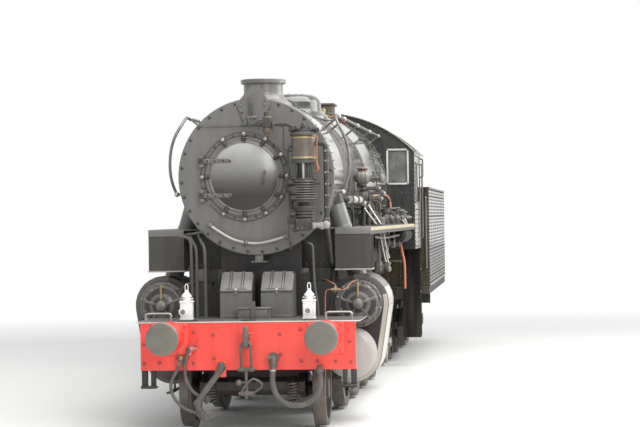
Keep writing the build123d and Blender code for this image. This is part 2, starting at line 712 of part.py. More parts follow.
def dome():
    """Return the dome with its flared skirt and round crown."""
    top = DOME_TOP
    skirt = make_face(
        Polyline((0, 3450), (DOME_R + 120, 3450), (DOME_R + 90, 3665), (DOME_R + 25, 3725), (DOME_R, 3775),
                 (DOME_R, top - 110))
        + ThreePointArc((DOME_R, top - 110), (DOME_R - 50, top - 38), (DOME_R - 150, top - 8))
        + Polyline((DOME_R - 150, top - 8), (0, top), (0, 3450))
    )
    form = revolve(Plane.XZ * skirt, Axis.Z)
    form = Pos(fore(DOME_S), 0, FLANGE_DEPTH) * form
    return form - bar_along((4000, 6400), 0, BOILER_Z, BARREL_R + SEAT)


def safety_valves():
    """Return the safety valves and the whistle on the firebox crown."""
    crown = BOILER_Z + FIREBOX_R + SEAT
    seat_foot = BOILER_Z + FIREBOX_R - 60
    cut = bar_along((7000, 9300), 0, BOILER_Z, FIREBOX_R + SEAT)
    out = []
    for y in (-110, 110):
        valve = turned_up([(seat_foot, 0), (seat_foot, 78), (crown + 35, 78), (crown + 35, 52),
                           (crown + 105, 52),
                           (crown + 115, 40), (crown + 115, 0)], 7700, y)
        out.append(valve - cut)
    turret = slab((8700, 8950), (-160, 160), (seat_foot, crown + 70))
    turret += bar_up(8820, 90, (crown, crown + 150), 24)
    out.append(turret - cut)
    return out


# Cab


def roof_height(y, crown):
    """Return the height of the roof's arc at a place across."""
    drop = CAB_CROWN - CAB_EAVE
    radius = (CAB_HALF ** 2 + drop ** 2) / (2 * drop)
    return crown - radius + sqrt(radius ** 2 - y ** 2)


def roof_arc(crown, x):
    """Return the arc of the roof at one place along, from the right eave to the left."""
    ends = roof_height(CAB_HALF, crown)
    return ThreePointArc((x, -CAB_HALF, rise(ends)), (x, 0, rise(crown)), (x, CAB_HALF, rise(ends)))


def cab_front():
    """Return the cab's front sheet, cut round the firebox and for its two windows."""
    x = fore(CAB_S[0])
    under = CAB_CROWN - ROOF_SKIN - SEAT
    edge = roof_height(CAB_HALF, under)
    outline = roof_arc(under, x) + Polyline(
        (x, CAB_HALF, rise(edge)), (x, CAB_HALF, rise(CAB_FOOT)), (x, -CAB_HALF, rise(CAB_FOOT)),
        (x, -CAB_HALF, rise(edge)))
    sheet = extrude(make_face(outline), amount=CAB_SKIN, dir=(-1, 0, 0))
    hole = firebox_outline(FIREBOX_R + 2, FIREBOX_FOOT[1] + 2, FIREBOX_FOOT[0] - 100)
    sheet -= Pos(fore(CAB_S[0] + 50), 0, 0) * extrude(hole, amount=100)
    ys, zs = FRONT_PANE
    for side in (1, -1):
        y0, y1 = sorted((side * ys[0], side * ys[1]))
        sheet -= slab((CAB_S[0] - 5, CAB_S[0] + 20), (y0, y1), zs)
        frame = slab((CAB_S[0] - 14, CAB_S[0] + 2), (y0 - PANE_FRAME, y1 + PANE_FRAME),
                     (zs[0] - PANE_FRAME, zs[1] + PANE_FRAME))
        sheet += frame - slab((CAB_S[0] - 20, CAB_S[0] + 20), (y0, y1), zs)
    return sheet


def cab_sides():
    """Return the two side sheets, with two windows each and the cut-out of the doorway."""
    first = CAB_S[0] + CAB_SKIN + SEAT
    last = CAB_S[1]
    inner = CAB_HALF - CAB_SKIN
    eave = roof_height(CAB_HALF, CAB_CROWN - ROOF_SKIN) - 3
    outline = [(first, CAB_FOOT), (last - 250, CAB_FOOT), (last - 250, 2300), (last - 200, 2420),
               (last - 60, 2600), (last, 2900), (last, eave), (first, eave)]
    side = side_plate(outline, (inner, CAB_HALF))
    for low, high in SIDE_PANES:
        side -= slab((low, high), (inner - 5, CAB_HALF + 5), SIDE_PANE_Z)
    post_foot = FLOOR_Z + FLOOR_THICK + SEAT
    side += slab((last - 250, last - 215), (inner - 30, CAB_HALF), (post_foot, 2300))
    return both_sides(side)


def cab_roof():
    """Return the roof sheet with its gutters and the ventilator."""
    x = fore(ROOF_S[0])
    skin = make_face(
        roof_arc(CAB_CROWN, x)
        + Line((x, CAB_HALF, rise(roof_height(CAB_HALF, CAB_CROWN))),
               (x, CAB_HALF, rise(roof_height(CAB_HALF, CAB_CROWN - ROOF_SKIN))))
        + roof_arc(CAB_CROWN - ROOF_SKIN, x)
        + Line((x, -CAB_HALF, rise(roof_height(CAB_HALF, CAB_CROWN - ROOF_SKIN))),
               (x, -CAB_HALF, rise(roof_height(CAB_HALF, CAB_CROWN)))))
    sheet = extrude(skin, amount=ROOF_S[1] - ROOF_S[0], dir=(-1, 0, 0))
    eave = roof_height(CAB_HALF, CAB_CROWN)
    for side in (1, -1):
        y0, y1 = sorted((side * CAB_HALF, side * (CAB_HALF + ROOF_LIP)))
        sheet += slab(ROOF_S, (y0, y1), (eave - 10, eave))
    sheet += slab((10150, 10650), (-88, 88), (CAB_CROWN - 40, CAB_CROWN + 175))
    sheet += slab((10120, 10680), (-118, 118), (CAB_CROWN + 172, CAB_CROWN + 195))
    sheet -= slab((10170, 10630), (-68, 68), (CAB_CROWN - 90, CAB_CROWN + 155))
    return sheet


def cab_floor():
    """Return the footplate with its seats, the beam under it and the steps on both sides."""
    edge = CAB_HALF - CAB_SKIN - SEAT
    outline = [
        (CAB_S[0] + CAB_SKIN + 5, -edge), (CAB_S[0] + CAB_SKIN + 5, -1010), (FIREBOX_S[1] + 6, -1010),
        (FIREBOX_S[1] + 6, 1010), (CAB_S[0] + CAB_SKIN + 5, 1010), (CAB_S[0] + CAB_SKIN + 5, edge),
        (CAB_S[1] + 60, edge), (CAB_S[1] + 60, -edge),
    ]
    floor = flat_plate(outline, (FLOOR_Z, FLOOR_Z + FLOOR_THICK))
    floor += slab((10000, 10900), (-FRAME_Y[1], FRAME_Y[1]), (FRAME_TOP + SEAT, FLOOR_Z + 5))
    for side in (1, -1):
        y0, y1 = sorted((side * 1030, side * (edge - 5)))
        floor += slab((10000, 10450), (y0, y1), (FLOOR_Z + 20, FLOOR_Z + 480))
        y0, y1 = sorted((side * 1090, side * 1380))
        for s in (10925, 11175):
            floor += slab((s, s + 12), (y0, y1), (430, FLOOR_Z + 5))
        for z in (440, 790, 1140, 1490):
            floor += slab((10930, 11180), (y0, y1), (z, z + 14))
    return floor


def cab_glass():
    """Return the panes in the front and side windows."""
    out = []
    ys, zs = FRONT_PANE
    for side in (1, -1):
        y0, y1 = sorted((side * (ys[0] + SEAT), side * (ys[1] - SEAT)))
        out.append(slab((CAB_S[0] + 1, CAB_S[0] + 1 + PANE_THICK), (y0, y1), (zs[0] + SEAT, zs[1] - SEAT)))
        low, high = SIDE_PANES[0]
        y0, y1 = sorted((side * (CAB_HALF - CAB_SKIN), side * (CAB_HALF - CAB_SKIN + PANE_THICK)))
        out.append(slab((low + SEAT, high - SEAT), (y0, y1), (SIDE_PANE_Z[0] + SEAT, SIDE_PANE_Z[1] - SEAT)))
    return out


def backhead():
    """Return the fittings on the boiler's back: fire door, regulator, gauges and stands."""
    s = FIREBOX_S[1] + SEAT
    out = [slab((s, s + 60), (-260, 260), (2020, 2420)) + slab((s + 55, s + 75), (-300, 300), (2000, 2060))]
    regulator = bar_along((s, s + 110), 0, 3330, 45)
    regulator += bar_between((s + 90, 0, 3330), (s + 130, 560, 3050), 16)
    out.append(regulator)
    for y in (-260, 260):
        glass = bar_up(s + 70, y, (2800, 3130), 18)
        for z in (2790, 3090):
            glass += slab((s, s + 90), (y - 28, y + 28), (z, z + 50))
        out.append(glass)
    for y, z in ((-110, 3560), (140, 3560), (-420, 3400)):
        out.append(bar_along((s, s + 55), y, z, 26) + bar_along((s + 50, s + 90), y, z, 85))
    stand = FLOOR_Z + 860
    brake = slab((10080, 10200), (640, 760), (FLOOR_Z + FLOOR_THICK + SEAT, stand))
    brake += bar_up(10140, 700, (stand - 10, stand + 140), 40)
    brake += bar_between((10140, 700, stand + 120), (10330, 640, stand + 130), 12)
    out.append(brake)
    lever = slab((9900, 10240), (820, 900), (FLOOR_Z + FLOOR_THICK + SEAT, FLOOR_Z + 120))
    lever += bar_between((10060, 860, FLOOR_Z + 100), (10150, 860, FLOOR_Z + 920), 18)
    out.append(lever)
    return out


# Running boards, boxes and tanks


def running_boards():
    """Return the two running boards with their edge strips and brackets."""
    first, last = SMOKEBOX_S[0] + 190, CAB_S[0] - SEAT
    outline = [
        (first, 700), (first, BOARD_HALF[0]), (2600, BOARD_HALF[0] + 20), (last, BOARD_HALF[1]),
        (last, 1002), (7100, 1002), (5800, 870), (3600, 870), (3300, 700),
    ]
    board = flat_plate(outline, (BOARD_Z - BOARD_THICK, BOARD_Z))
    board -= bar_between((2230, 800, 2640), (2230, 1120, 1560), 112)
    edge = flat_plate(
        [(first, BOARD_HALF[0] - 8), (first, BOARD_HALF[0]), (2600, BOARD_HALF[0] + 20),
         (last, BOARD_HALF[1]),
         (last, BOARD_HALF[1] - 8), (2600, BOARD_HALF[0] + 12)],
        (BOARD_Z - BOARD_DROP, BOARD_Z))
    board += edge
    for s, inner in ((3400, 600), (4300, 600), (5850, 600), (7000, 720)):
        board += front_plate(
            [(inner, BOARD_Z - 150), (inner, BOARD_Z - 5), (1270, BOARD_Z - 5), (1270, BOARD_Z - 50),
             (inner + 120, BOARD_Z - 150)], (s, s + 14))
    board -= bar_along((first - 10, SMOKEBOX_S[1] + 1), 0, BOILER_Z, SMOKEBOX_R + SEAT)
    board -= bar_along((3300, 6300), 0, BOILER_Z, BARREL_R + 8)
    board -= turned_along([(BARREL_END_S - 1, 0), (BARREL_END_S - 1, BARREL_R + 8),
                           (FIREBOX_S[0] + 1, FIREBOX_R + 3),
                           (FIREBOX_S[0] + 1, 0)], 0, BOILER_Z)
    face = firebox_outline(FIREBOX_R + 8, FIREBOX_FOOT[1] + 8, FIREBOX_FOOT[0])
    board -= Pos(fore(9400), 0, 0) * extrude(face, amount=9400 - FIREBOX_S[0])
    return both_sides(board)


def board_boxes():
    """Return the boxes that hang under the running boards' front ends."""
    box = slab((1690, 2040), (878, 1290), (1745, BOARD_Z - BOARD_DROP - 5))
    box += slab((1690, 2040), (878, 1275), (2100, BOARD_Z - BOARD_THICK - SEAT))
    box += slab((1680, 2050), (868, 1300), (1738, 1752))
    return both_sides(box)


def round_tank(s, y, z, r, straps, strap_y):
    """Return one tank with domed ends, hung by straps from the board above it."""
    first, last = s
    tank = turned_along([(first, 0), (first + 20, r * 0.65), (first + 60, r * 0.95), (first + 80, r),
                         (last - 80, r),
                         (last - 60, r * 0.95), (last - 20, r * 0.65), (last, 0)], y, z)
    for strap in straps:
        tank += slab((strap, strap + 44), strap_y, (z + r * 0.55, BOARD_Z - BOARD_THICK - SEAT))
    return tank


def air_tanks():
    """Return the main air tanks and the slim ones behind them, all hung from the running boards."""
    wide = round_tank(TANK_S, TANK_Y, TANK_Z, TANK_R, (5200, 6400), (TANK_Y + 75, TANK_Y + 140))
    slim = round_tank(SLIM_TANK_S, SLIM_TANK_Y, SLIM_TANK_Z, SLIM_TANK_R, (7800, 8800),
                      (SLIM_TANK_Y - 20, SLIM_TANK_Y + 20))
    return both_sides(wide) + both_sides(slim)


# Motion


def guides():
    """Return the slide bars on both sides and the yoke that carries them."""
    level = CYL_Z
    first, last = GUIDE_S
    yoke = front_plate(
        [(-1112, 1400), (1112, 1400), (1112, 1700), (700, 1790), (-700, 1790), (-1112, 1700)],
        (last, last + 30))
    yoke -= slab((last - 5, last + 40), (-400, 400), (1390, 1520))
    for side in (1, -1):
        y0, y1 = sorted((side * FRAME_Y[0], side * FRAME_Y[1]))
        yoke += slab((last, last + 30), (y0, y1), (FRAME_TOP + SEAT, 1410))
        y0, y1 = sorted((side * 1082, side * 1112))
        yoke += slab((last, last + 30), (y0, y1), (level - GUIDE_GAP - 40, 1410))
        y0, y1 = sorted((side * 996, side * 1090))
        for z in (level - GUIDE_GAP, level + GUIDE_GAP):
            out = z + (40 if z > level else -40)
            yoke += slab((first, last + 30), (y0, y1), sorted((z, out)))
    return yoke


def crossheads():
    """Return the crossheads between the slide bars, each with its piston rod."""
    out = []
    for side in (1, -1):
        y0, y1 = sorted((side * 996, side * 1090))
        edge = GUIDE_GAP - SEAT
        head = slab((CROSSHEAD_S - 200, CROSSHEAD_S + 200), (y0, y1), (CYL_Z + edge - 45, CYL_Z + edge))
        head += slab((CROSSHEAD_S - 200, CROSSHEAD_S + 200), (y0, y1), (CYL_Z - edge, CYL_Z - edge + 45))
        head += slab((CROSSHEAD_S - 160, CROSSHEAD_S - 95), (y0, y1), (CYL_Z - edge, CYL_Z + edge))
        y0, y1 = sorted((side * 1080, side * 1112))
        head += side_plate(
            [(CROSSHEAD_S - 120, CYL_Z - edge), (CROSSHEAD_S + 120, CYL_Z - edge),
             (CROSSHEAD_S + 90, CYL_Z + edge),
             (CROSSHEAD_S - 120, CYL_Z + edge)], (y0, y1))
        head += bar_along((CYL_S[1] + 160 + SEAT, CROSSHEAD_S - 150), side * CYL_Y, CYL_Z, 45)
        y0, y1 = sorted((side * 1000, side * 1090))
        head += bar_across(CROSSHEAD_S, (y0, y1), CYL_Z, 38)
        out.append(head)
    return out


def main_rod(side, angle):
    """Return a main rod from the crosshead pin to the main crank pin, with its strap end."""
    behind, above = crank_offset(angle)
    end_s = DRIVER_S[MAIN_DRIVER] + behind
    end_z = DRIVER_TREAD + above
    start_s = CROSSHEAD_S
    tilt = atan2(end_z - CYL_Z, end_s - start_s)
    y0, y1 = sorted((side * MAIN_ROD_Y[0], side * MAIN_ROD_Y[1]))

    def along(distance, height):
        return (start_s + distance * cos(tilt) - height * sin(tilt),
                CYL_Z + distance * sin(tilt) + height * cos(tilt))

    length = hypot(end_s - start_s, end_z - CYL_Z)
    rod = side_plate([along(0, -55), along(length, -75), along(length, 75), along(0, 55)], (y0, y1))
    rod += bar_across(start_s, (y0, y1), CYL_Z, 82)
    rod += side_plate([along(length - 190, -125), along(length + 165, -125), along(length + 165, 125),
                       along(length - 190, 125)], (y0, y1))
    rod -= bar_across(start_s, (y0, y1), CYL_Z, 38 + PIN_PLAY)
    flute_y = sorted((side * (MAIN_ROD_Y[1] - 14), side * (MAIN_ROD_Y[1] + 5)))
    rod -= side_plate([along(130, -30), along(length - 240, -48), along(length - 240, 48), along(130, 30)],
                      flute_y)
    crank_y = sorted((side * (MAIN_ROD_Y[0] - 20), side * RETURN_Y[0]))
    rod += bar_across(end_s, crank_y, end_z, 70)
    return rod


def return_pin(angle):
    """Return where the return crank's pin lies, behind and above the main axle."""
    behind, above = crank_offset(angle)
    turn = radians(angle + 118)
    return behind + 2.35 * RETURN_THROW * cos(turn), above + 2.35 * RETURN_THROW * sin(turn)


def main_rods():
    """Return both main rods with their return cranks."""
    out = []
    for side, angle in ((1, LEFT_CRANK_ANGLE), (-1, RIGHT_CRANK_ANGLE)):
        rod = main_rod(side, angle)
        behind, above = crank_offset(angle)
        end = (DRIVER_S[MAIN_DRIVER] + behind, DRIVER_TREAD + above)
        tip_behind, tip_above = return_pin(angle)
        tip = (DRIVER_S[MAIN_DRIVER] + tip_behind, DRIVER_TREAD + tip_above)
        y0, y1 = sorted((side * (RETURN_Y[0] - 2), side * RETURN_Y[1]))
        crank = bar_across(end[0], (y0, y1), end[1], 85) + bar_across(tip[0], (y0, y1), tip[1], 62)
        slope = atan2(tip[1] - end[1], tip[0] - end[0])
        wide, thin = 62, 48
        crank += side_plate(
            [(end[0] - wide * sin(slope), end[1] + wide * cos(slope)),
             (tip[0] - thin * sin(slope), tip[1] + thin * cos(slope)),
             (tip[0] + thin * sin(slope), tip[1] - thin * cos(slope)),
             (end[0] + wide * sin(slope), end[1] - wide * cos(slope))],
            (y0, y1))
        y0, y1 = sorted((side * RETURN_Y[1], side * (GEAR_Y[1] + 8)))
        crank += bar_across(tip[0], (y0, y1), tip[1], 34)
        out.append(rod + crank)
    return out


def eccentric_rods():
    """Return the rods from the return cranks to the feet of the expansion links."""
    out = []
    for side, angle in ((1, LEFT_CRANK_ANGLE), (-1, RIGHT_CRANK_ANGLE)):
        tip_behind, tip_above = return_pin(angle)
        tip = (DRIVER_S[MAIN_DRIVER] + tip_behind, DRIVER_TREAD + tip_above)
        foot = (LINK_S + 20, LINK_Z - 430)
        y0, y1 = sorted((side * GEAR_Y[0], side * GEAR_Y[1]))
        slope = atan2(tip[1] - foot[1], tip[0] - foot[0])
        half = 32
        rod = side_plate(
            [(foot[0] - half * sin(slope), foot[1] + half * cos(slope)),
             (tip[0] - half * sin(slope), tip[1] + half * cos(slope)),
             (tip[0] + half * sin(slope), tip[1] - half * cos(slope)),
             (foot[0] + half * sin(slope), foot[1] - half * cos(slope))],
            (y0, y1))
        rod += bar_across(tip[0], (y0, y1), tip[1], 66) + bar_across(foot[0], (y0, y1), foot[1], 48)
        rod -= bar_across(tip[0], (y0, y1), tip[1], 34 + PIN_PLAY)
        rod -= bar_across(foot[0], (y0, y1), foot[1], 22 + PIN_PLAY)
        out.append(rod)
    return out


def valve_gear():
    """Return the expansion links with their brackets, radius rods, combination levers and reach rod."""
    out = []
    for side in (1, -1):
        y0, y1 = sorted((side * (GEAR_Y[1] + SEAT), side * (GEAR_Y[1] + 45)))
        link = side_plate(
            [(LINK_S - 60, LINK_Z + 260), (LINK_S + 50, LINK_Z + 260), (LINK_S + 95, LINK_Z),
             (LINK_S + 60, LINK_Z - 260),
             (LINK_S + 60, LINK_Z - 480), (LINK_S - 20, LINK_Z - 480), (LINK_S - 45, LINK_Z - 260),
             (LINK_S - 5, LINK_Z)], (y0, y1))
        y0, y1 = sorted((side * (GEAR_Y[0] - 8), side * (GEAR_Y[1] + 10)))
        link += bar_across(LINK_S + 20, (y0, y1), LINK_Z - 430, 22)
        link += bar_across(LINK_S + 40, (side * 1000, side * (GEAR_Y[1] + 30)), LINK_Z, 45)
        y0, y1 = sorted((side * 560, side * 1020))
        link += slab((LINK_S - 20, LINK_S + 100), (y0, y1), (1560, 1640))
        y0, y1 = sorted((side * 985, side * 1020))
        link += slab((LINK_S - 20, LINK_S + 100), (y0, y1), (LINK_Z - 80, 1640))
        y0, y1 = sorted((side * FRAME_Y[0], side * FRAME_Y[1]))
        link += slab((LINK_S - 320, LINK_S - 280), (y0, y1), (FRAME_TOP + SEAT, 1640))
        link += slab((LINK_S - 320, LINK_S + 60), (y0, y1), (1560, 1640))
        y0, y1 = sorted((side * GEAR_Y[0], side * (GEAR_Y[1] + 5)))
        link += side_plate(
            [(3180, VALVE_Z - 26), (LINK_S + 40, LINK_Z + 100), (LINK_S + 40, LINK_Z + 152),
             (3180, VALVE_Z + 26)],
            (y0, y1))
        link += side_plate(
            [(3080, VALVE_Z + 40), (3190, VALVE_Z + 40), (3215, CYL_Z - 175), (3165, CYL_Z - 175)],
            (y0, y1))
        link += bar_along((CYL_S[1] + 190 + SEAT, 3110), side * VALVE_Y, VALVE_Z, 26)
        link += side_plate(
            [(3175, CYL_Z - 172), (CROSSHEAD_S + 30, CYL_Z - 125), (CROSSHEAD_S + 30, CYL_Z - 85),
             (3175, CYL_Z - 125)],
            sorted((side * 1112.5, side * 1130)))
        out.append(link)
    return out


# Rails, pipes, brakes and ash pan


def skin_point(s, radius):
    """Return the place above the boiler's left side, on the handrails' slant, at a radius."""
    turn = radians(RAIL_ANGLE)
    return (s, radius * cos(turn), BOILER_Z + radius * sin(turn))


def handrails():
    """Return the rails along the boiler, which bow out and down at the front into a knob and a stub."""
    last = CAB_S[0] - SEAT
    rail = pipe(
        [skin_point(last, RAIL_REACH), skin_point(2150, RAIL_REACH), (1900, 905, 3490), (1800, 975, 3360),
         (1800, 1035, 3160), (1800, 1045, 2930), (1800, 1003, 2710), (1800, 970, 2640)], RAIL_R, 60)
    rail += Pos(place((1800, 968, 2636))) * Sphere(30)
    stub = bar_across(1800, (820, 970), 2636, RAIL_R)
    rail += stub - bar_along((1500, 3000), 0, BOILER_Z, SMOKEBOX_R + SEAT)
    for s, skin in ((3100, SMOKEBOX_R), (5100, BARREL_R), (7200, FIREBOX_R), (8900, FIREBOX_R)):
        rail += bar_between(skin_point(s, skin + SEAT), skin_point(s, RAIL_REACH), RAIL_R * 0.8)
        rail += Pos(place(skin_point(s, RAIL_REACH))) * Sphere(26)
    return both_sides(rail)


def feed_pipe():
    """Return the right side's feed pipe, from the cab to the barrel."""
    feed = pipe([(9290, -1120, 2400), (5600, -1120, 2400), (4900, -1000, 2560), (4440, -853, 2700)], 28, 90)
    return feed - bar_along((4000, 6000), 0, BOILER_Z, BARREL_R + SEAT)


def left_side_fittings():
    """Return the left side's round vessel with its drum and stand, the pipes and the valves."""
    s, y = 4100, 1020
    board = BOARD_Z + SEAT
    vessel = bar_up(s, y, (board, 2800), 27)
    vessel += Pos(place((s, y, 2840))) * Sphere(86)
    vessel += turned_up([(2900, 0), (2900, 48), (2925, 62), (2940, 50), (2940, 0)], s, y)
    vessel += bar_across(s, (925, 1105), 2607, 64)
    vessel += bar_along((s, s + 420), y + 85, 2828, 30) + bar_up(s + 420, y + 85, (2790, 2866), 40)
    lagged = pipe([(2480, 800, 2551), (2480, 985, 2551), (s + 10, 985, 2553)], 40, 70)
    vessel += lagged - bar_along((1500, 3300), 0, BOILER_Z, SMOKEBOX_R + SEAT)
    copper = pipe([(s, y + 60, 2612), (6250, 1140, 2640), (6420, 1200, 2560), (6420, 1215, 2380)], 20, 60)
    copper += turned_up([(board, 0), (board, 62), (2300, 62), (2300, 42), (2390, 42), (2390, 0)], 6420, 1215)
    valves = [
        turned_up([(board, 0), (board, 55), (2290, 55), (2290, 36), (2350 + tall, 36), (2350 + tall, 60),
                   (2400 + tall, 60), (2400 + tall, 0)], place_s, place_y)
        for place_s, place_y, tall in ((5350, 1215, 40), (5800, 1265, 0), (7050, 1255, 60), (7600, 1290, 20))
    ]
    return [vessel + copper] + valves


def boiler_pipes():
    """Return the pipes and fittings beside the boiler."""
    return [feed_pipe()] + left_side_fittings()


def brakes():
    """Return the brake hangers with their shoes ahead of each driver, and the beams across."""
    out = []
    for axle_s in DRIVER_S:
        middle = axle_s - BRAKE_LEAD
        inner, outer = DRIVER_TREAD + RUN_CLEAR + 1, DRIVER_TREAD + RUN_CLEAR + 46
        first, sweep_angle = -8, 32
        last = first + sweep_angle
        ends = [(cos(radians(a)), sin(radians(a))) for a in (first, last)]
        shoe_face = make_face(
            CenterArc((0, 0), inner, first, sweep_angle)
            + Line((inner * ends[1][0], inner * ends[1][1]), (outer * ends[1][0], outer * ends[1][1]))
            + CenterArc((0, 0), outer, first, sweep_angle)
            + Line((outer * ends[0][0], outer * ends[0][1]), (inner * ends[0][0], inner * ends[0][1])))
        centre = Pos(fore(axle_s), 765, rise(DRIVER_TREAD)) * Rot(90, 0, 0)
        hanger = centre * extrude(shoe_face, amount=36, both=True)
        hanger += slab((middle - 14, middle + 14), (735, 795), (390, 1200))
        hanger += slab((middle - 14, middle + 14), (FRAME_Y[1] + SEAT, 795), (1120, 1200))
        out += both_sides(hanger)
        out.append(bar_across(middle, (-735 + SEAT, 735 - SEAT), 410, 28))
    return out


def ash_pan():
    """Return the ash pan: a tray under the firebox and a hopper between the frames."""
    tray = slab((7300, 9200), (-FIREBOX_FOOT[1], FIREBOX_FOOT[1]), (1500, FIREBOX_FOOT[0] - SEAT))
    hopper = front_plate(
        [(-440, 1505), (440, 1505), (440, 1260), (290, 960), (-290, 960), (-440, 1260)], (7400, 9050))
    pan = tray + hopper
    for s in (7420, 9020):
        pan += slab((s - 20, s + 20), (-FRAME_Y[1], FRAME_Y[1]), (FRAME_TOP + SEAT, 1505))
    return pan


# Toolboxes, lamps and hoses


def lid_hinge():
    """Return the (s, z) of the toolbox lids' hinge line, just off the top of the slope."""
    return TOOLBOX_LID[1][0] + 4, TOOLBOX_LID[1][1] + 14


def slope_spot(share, off):
    """Return the (s, z) of a place on the toolbox's slope, by its share from the foot, lifted off it."""
    (s0, z0), (s1, z1) = TOOLBOX_LID
    length = hypot(s1 - s0, z1 - z0)
    return (s0 + share * (s1 - s0) - off * (z1 - z0) / length,
            z0 + share * (z1 - z0) + off * (s1 - s0) / length)


def toolbox(y):
    """Return one toolbox body between two places across, open at its slope, with its hinge pin."""
    foot = BEAM_Z[1] + DECK_THICK + SEAT
    (s0, z0), (s1, z1) = TOOLBOX_LID
    skin = TOOLBOX_SKIN
    body = side_plate([(s0, foot), (s0, z0), (s1, z1), (TOOLBOX_S[1], z1), (TOOLBOX_S[1], foot)], y)
    body -= side_plate(
        [(s0 + skin, foot + skin), (s0 + skin, z0 + 40), (s1 - 30, z1 + 10), (s1 - 30, z1 - skin),
         (TOOLBOX_S[1] - skin, z1 - skin), (TOOLBOX_S[1] - skin, foot + skin)],
        (y[0] + skin, y[1] - skin))
    hinge_s, hinge_z = lid_hinge()
    for end in ((y[0] + 4, y[0] + 18), (y[1] - 18, y[1] - 4)):
        body += bar_across(hinge_s, end, hinge_z, 9)
        body += slab((hinge_s - 6, hinge_s + 9), end, (z1 - 1, hinge_z))
    body += bar_across(hinge_s, (y[0] + 10, y[1] - 10), hinge_z, 4)
    return body


def toolbox_lid(y):
    """Return one lid, lying on the slope, with its two straps and hinge barrel."""
    lid = side_plate([slope_spot(-0.02, SEAT), slope_spot(0.97, SEAT), slope_spot(0.97, LID_THICK),
                      slope_spot(-0.02, LID_THICK)], (y[0] + 2, y[1] - 2))
    middle = (y[0] + y[1]) / 2
    hinge_s, hinge_z = lid_hinge()
    barrel_y = (y[0] + 19, y[1] - 19)
    knuckle = side_plate([slope_spot(0.9, SEAT + 1), (hinge_s, hinge_z - 5), (hinge_s, hinge_z + 5),
                          slope_spot(0.9, LID_THICK)], barrel_y)
    lid += knuckle + bar_across(hinge_s, barrel_y, hinge_z, 8)
    for offset in (-70, 70):
        lid += side_plate([slope_spot(0.05, LID_THICK - 1), slope_spot(0.95, LID_THICK - 1),
                           slope_spot(0.95, LID_THICK + 6), slope_spot(0.05, LID_THICK + 6)],
                          (middle + offset - 10, middle + offset + 10))
    return lid - bar_across(hinge_s, (y[0], y[1]), hinge_z, 4 + SEAT)


def oil_lamp(y):
    """Return one oil lamp: square body, cowl with its chimney and tall handle, and two round bosses."""
    s, foot = LAMP_S, BEAM_Z[1] + DECK_THICK + 16 + SEAT
    lamp = slab((s - 56, s + 70), (y - 68, y + 68), (foot, 1440))
    lamp += slab((s - 60, s + 74), (y - 74, y + 74), (1420, 1446))
    lamp += turned_up([(1440, 0), (1440, 42), (1480, 40), (1490, 58), (1510, 50), (1545, 20), (1562, 20),
                       (1562, 0)],
                      s + 7, y)
    lamp += pipe([(s + 7, y - 13, 1550), (s + 7, y - 13, 1620), (s + 7, y + 13, 1620),
                  (s + 7, y + 13, 1550)], 5, 12)
    lamp += bar_along((s - 68, s - 50), y - 44, 1320, 20)
    lamp += bar_along((s - 72, s - 50), y + 46, 1320, 20)
    return lamp


VACUUM_ROUTE = [
    (462, 292, 742), (462, 280, 640), (458, 279, 530), (452, 312, 415), (446, 395, 325), (440, 510, 290),
    (440, 635, 302), (446, 742, 370), (452, 800, 475), (458, 808, 575), (460, 800, 655),
]
STEAM_ROUTE = [
    (478, -296, 690), (470, -345, 610), (460, -420, 520), (450, -487, 430), (444, -540, 345),
]
AIR_ONE_ROUTE = [
    (478, -744, 756), (470, -775, 685), (462, -822, 610), (456, -850, 525), (452, -836, 435),
    (450, -790, 352),
    (450, -722, 285), (450, -645, 243), (450, -570, 224),
]
AIR_TWO_ROUTE = [
    (480, -652, 880), (484, -680, 810), (490, -694, 725), (498, -694, 640), (506, -678, 560),
    (516, -640, 482),
    (526, -580, 418), (534, -508, 380),
]
VACUUM_R = 31
STEAM_R = 33
AIR_R = 18


def hose(route, r):
    """Return a hose as straight runs joined by tangent arcs, each as large as its runs allow."""
    spots = [place(point) for point in route]
    runs = [b - a for a, b in zip(spots, spots[1:])]
    radii = []
    for first, second in zip(runs, runs[1:]):
        turn = radians(first.get_angle(second))
        radii.append(0.45 * min(first.length, second.length) / tan(turn / 2))
    path = FilletPolyline(*spots, radius=radii)
    tube = sweep(Plane(origin=path @ 0, z_dir=path % 0) * Circle(r), path=path)
    print("hose radii", [round(value) for value in radii], "length", round(path.length), "volume share",
          round(tube.volume / (path.length * 3.14159265 * r * r), 4))
    return tube


def beyond(route, end, distance):
    """Return the place a distance past one end of a hose, in line with its last run."""
    tip, before = (route[0], route[1]) if end == 0 else (route[-1], route[-2])
    step = [a - b for a, b in zip(tip, before)]
    length = sqrt(sum(value ** 2 for value in step))
    return tuple(a + distance * value / length for a, value in zip(tip, step))


def collar(route, end, length, r):
    """Return the ferrule that holds one end of a hose, face to face with it."""
    tip = route[0] if end == 0 else route[-1]
    return bar_between(tip, beyond(route, end, length), r)


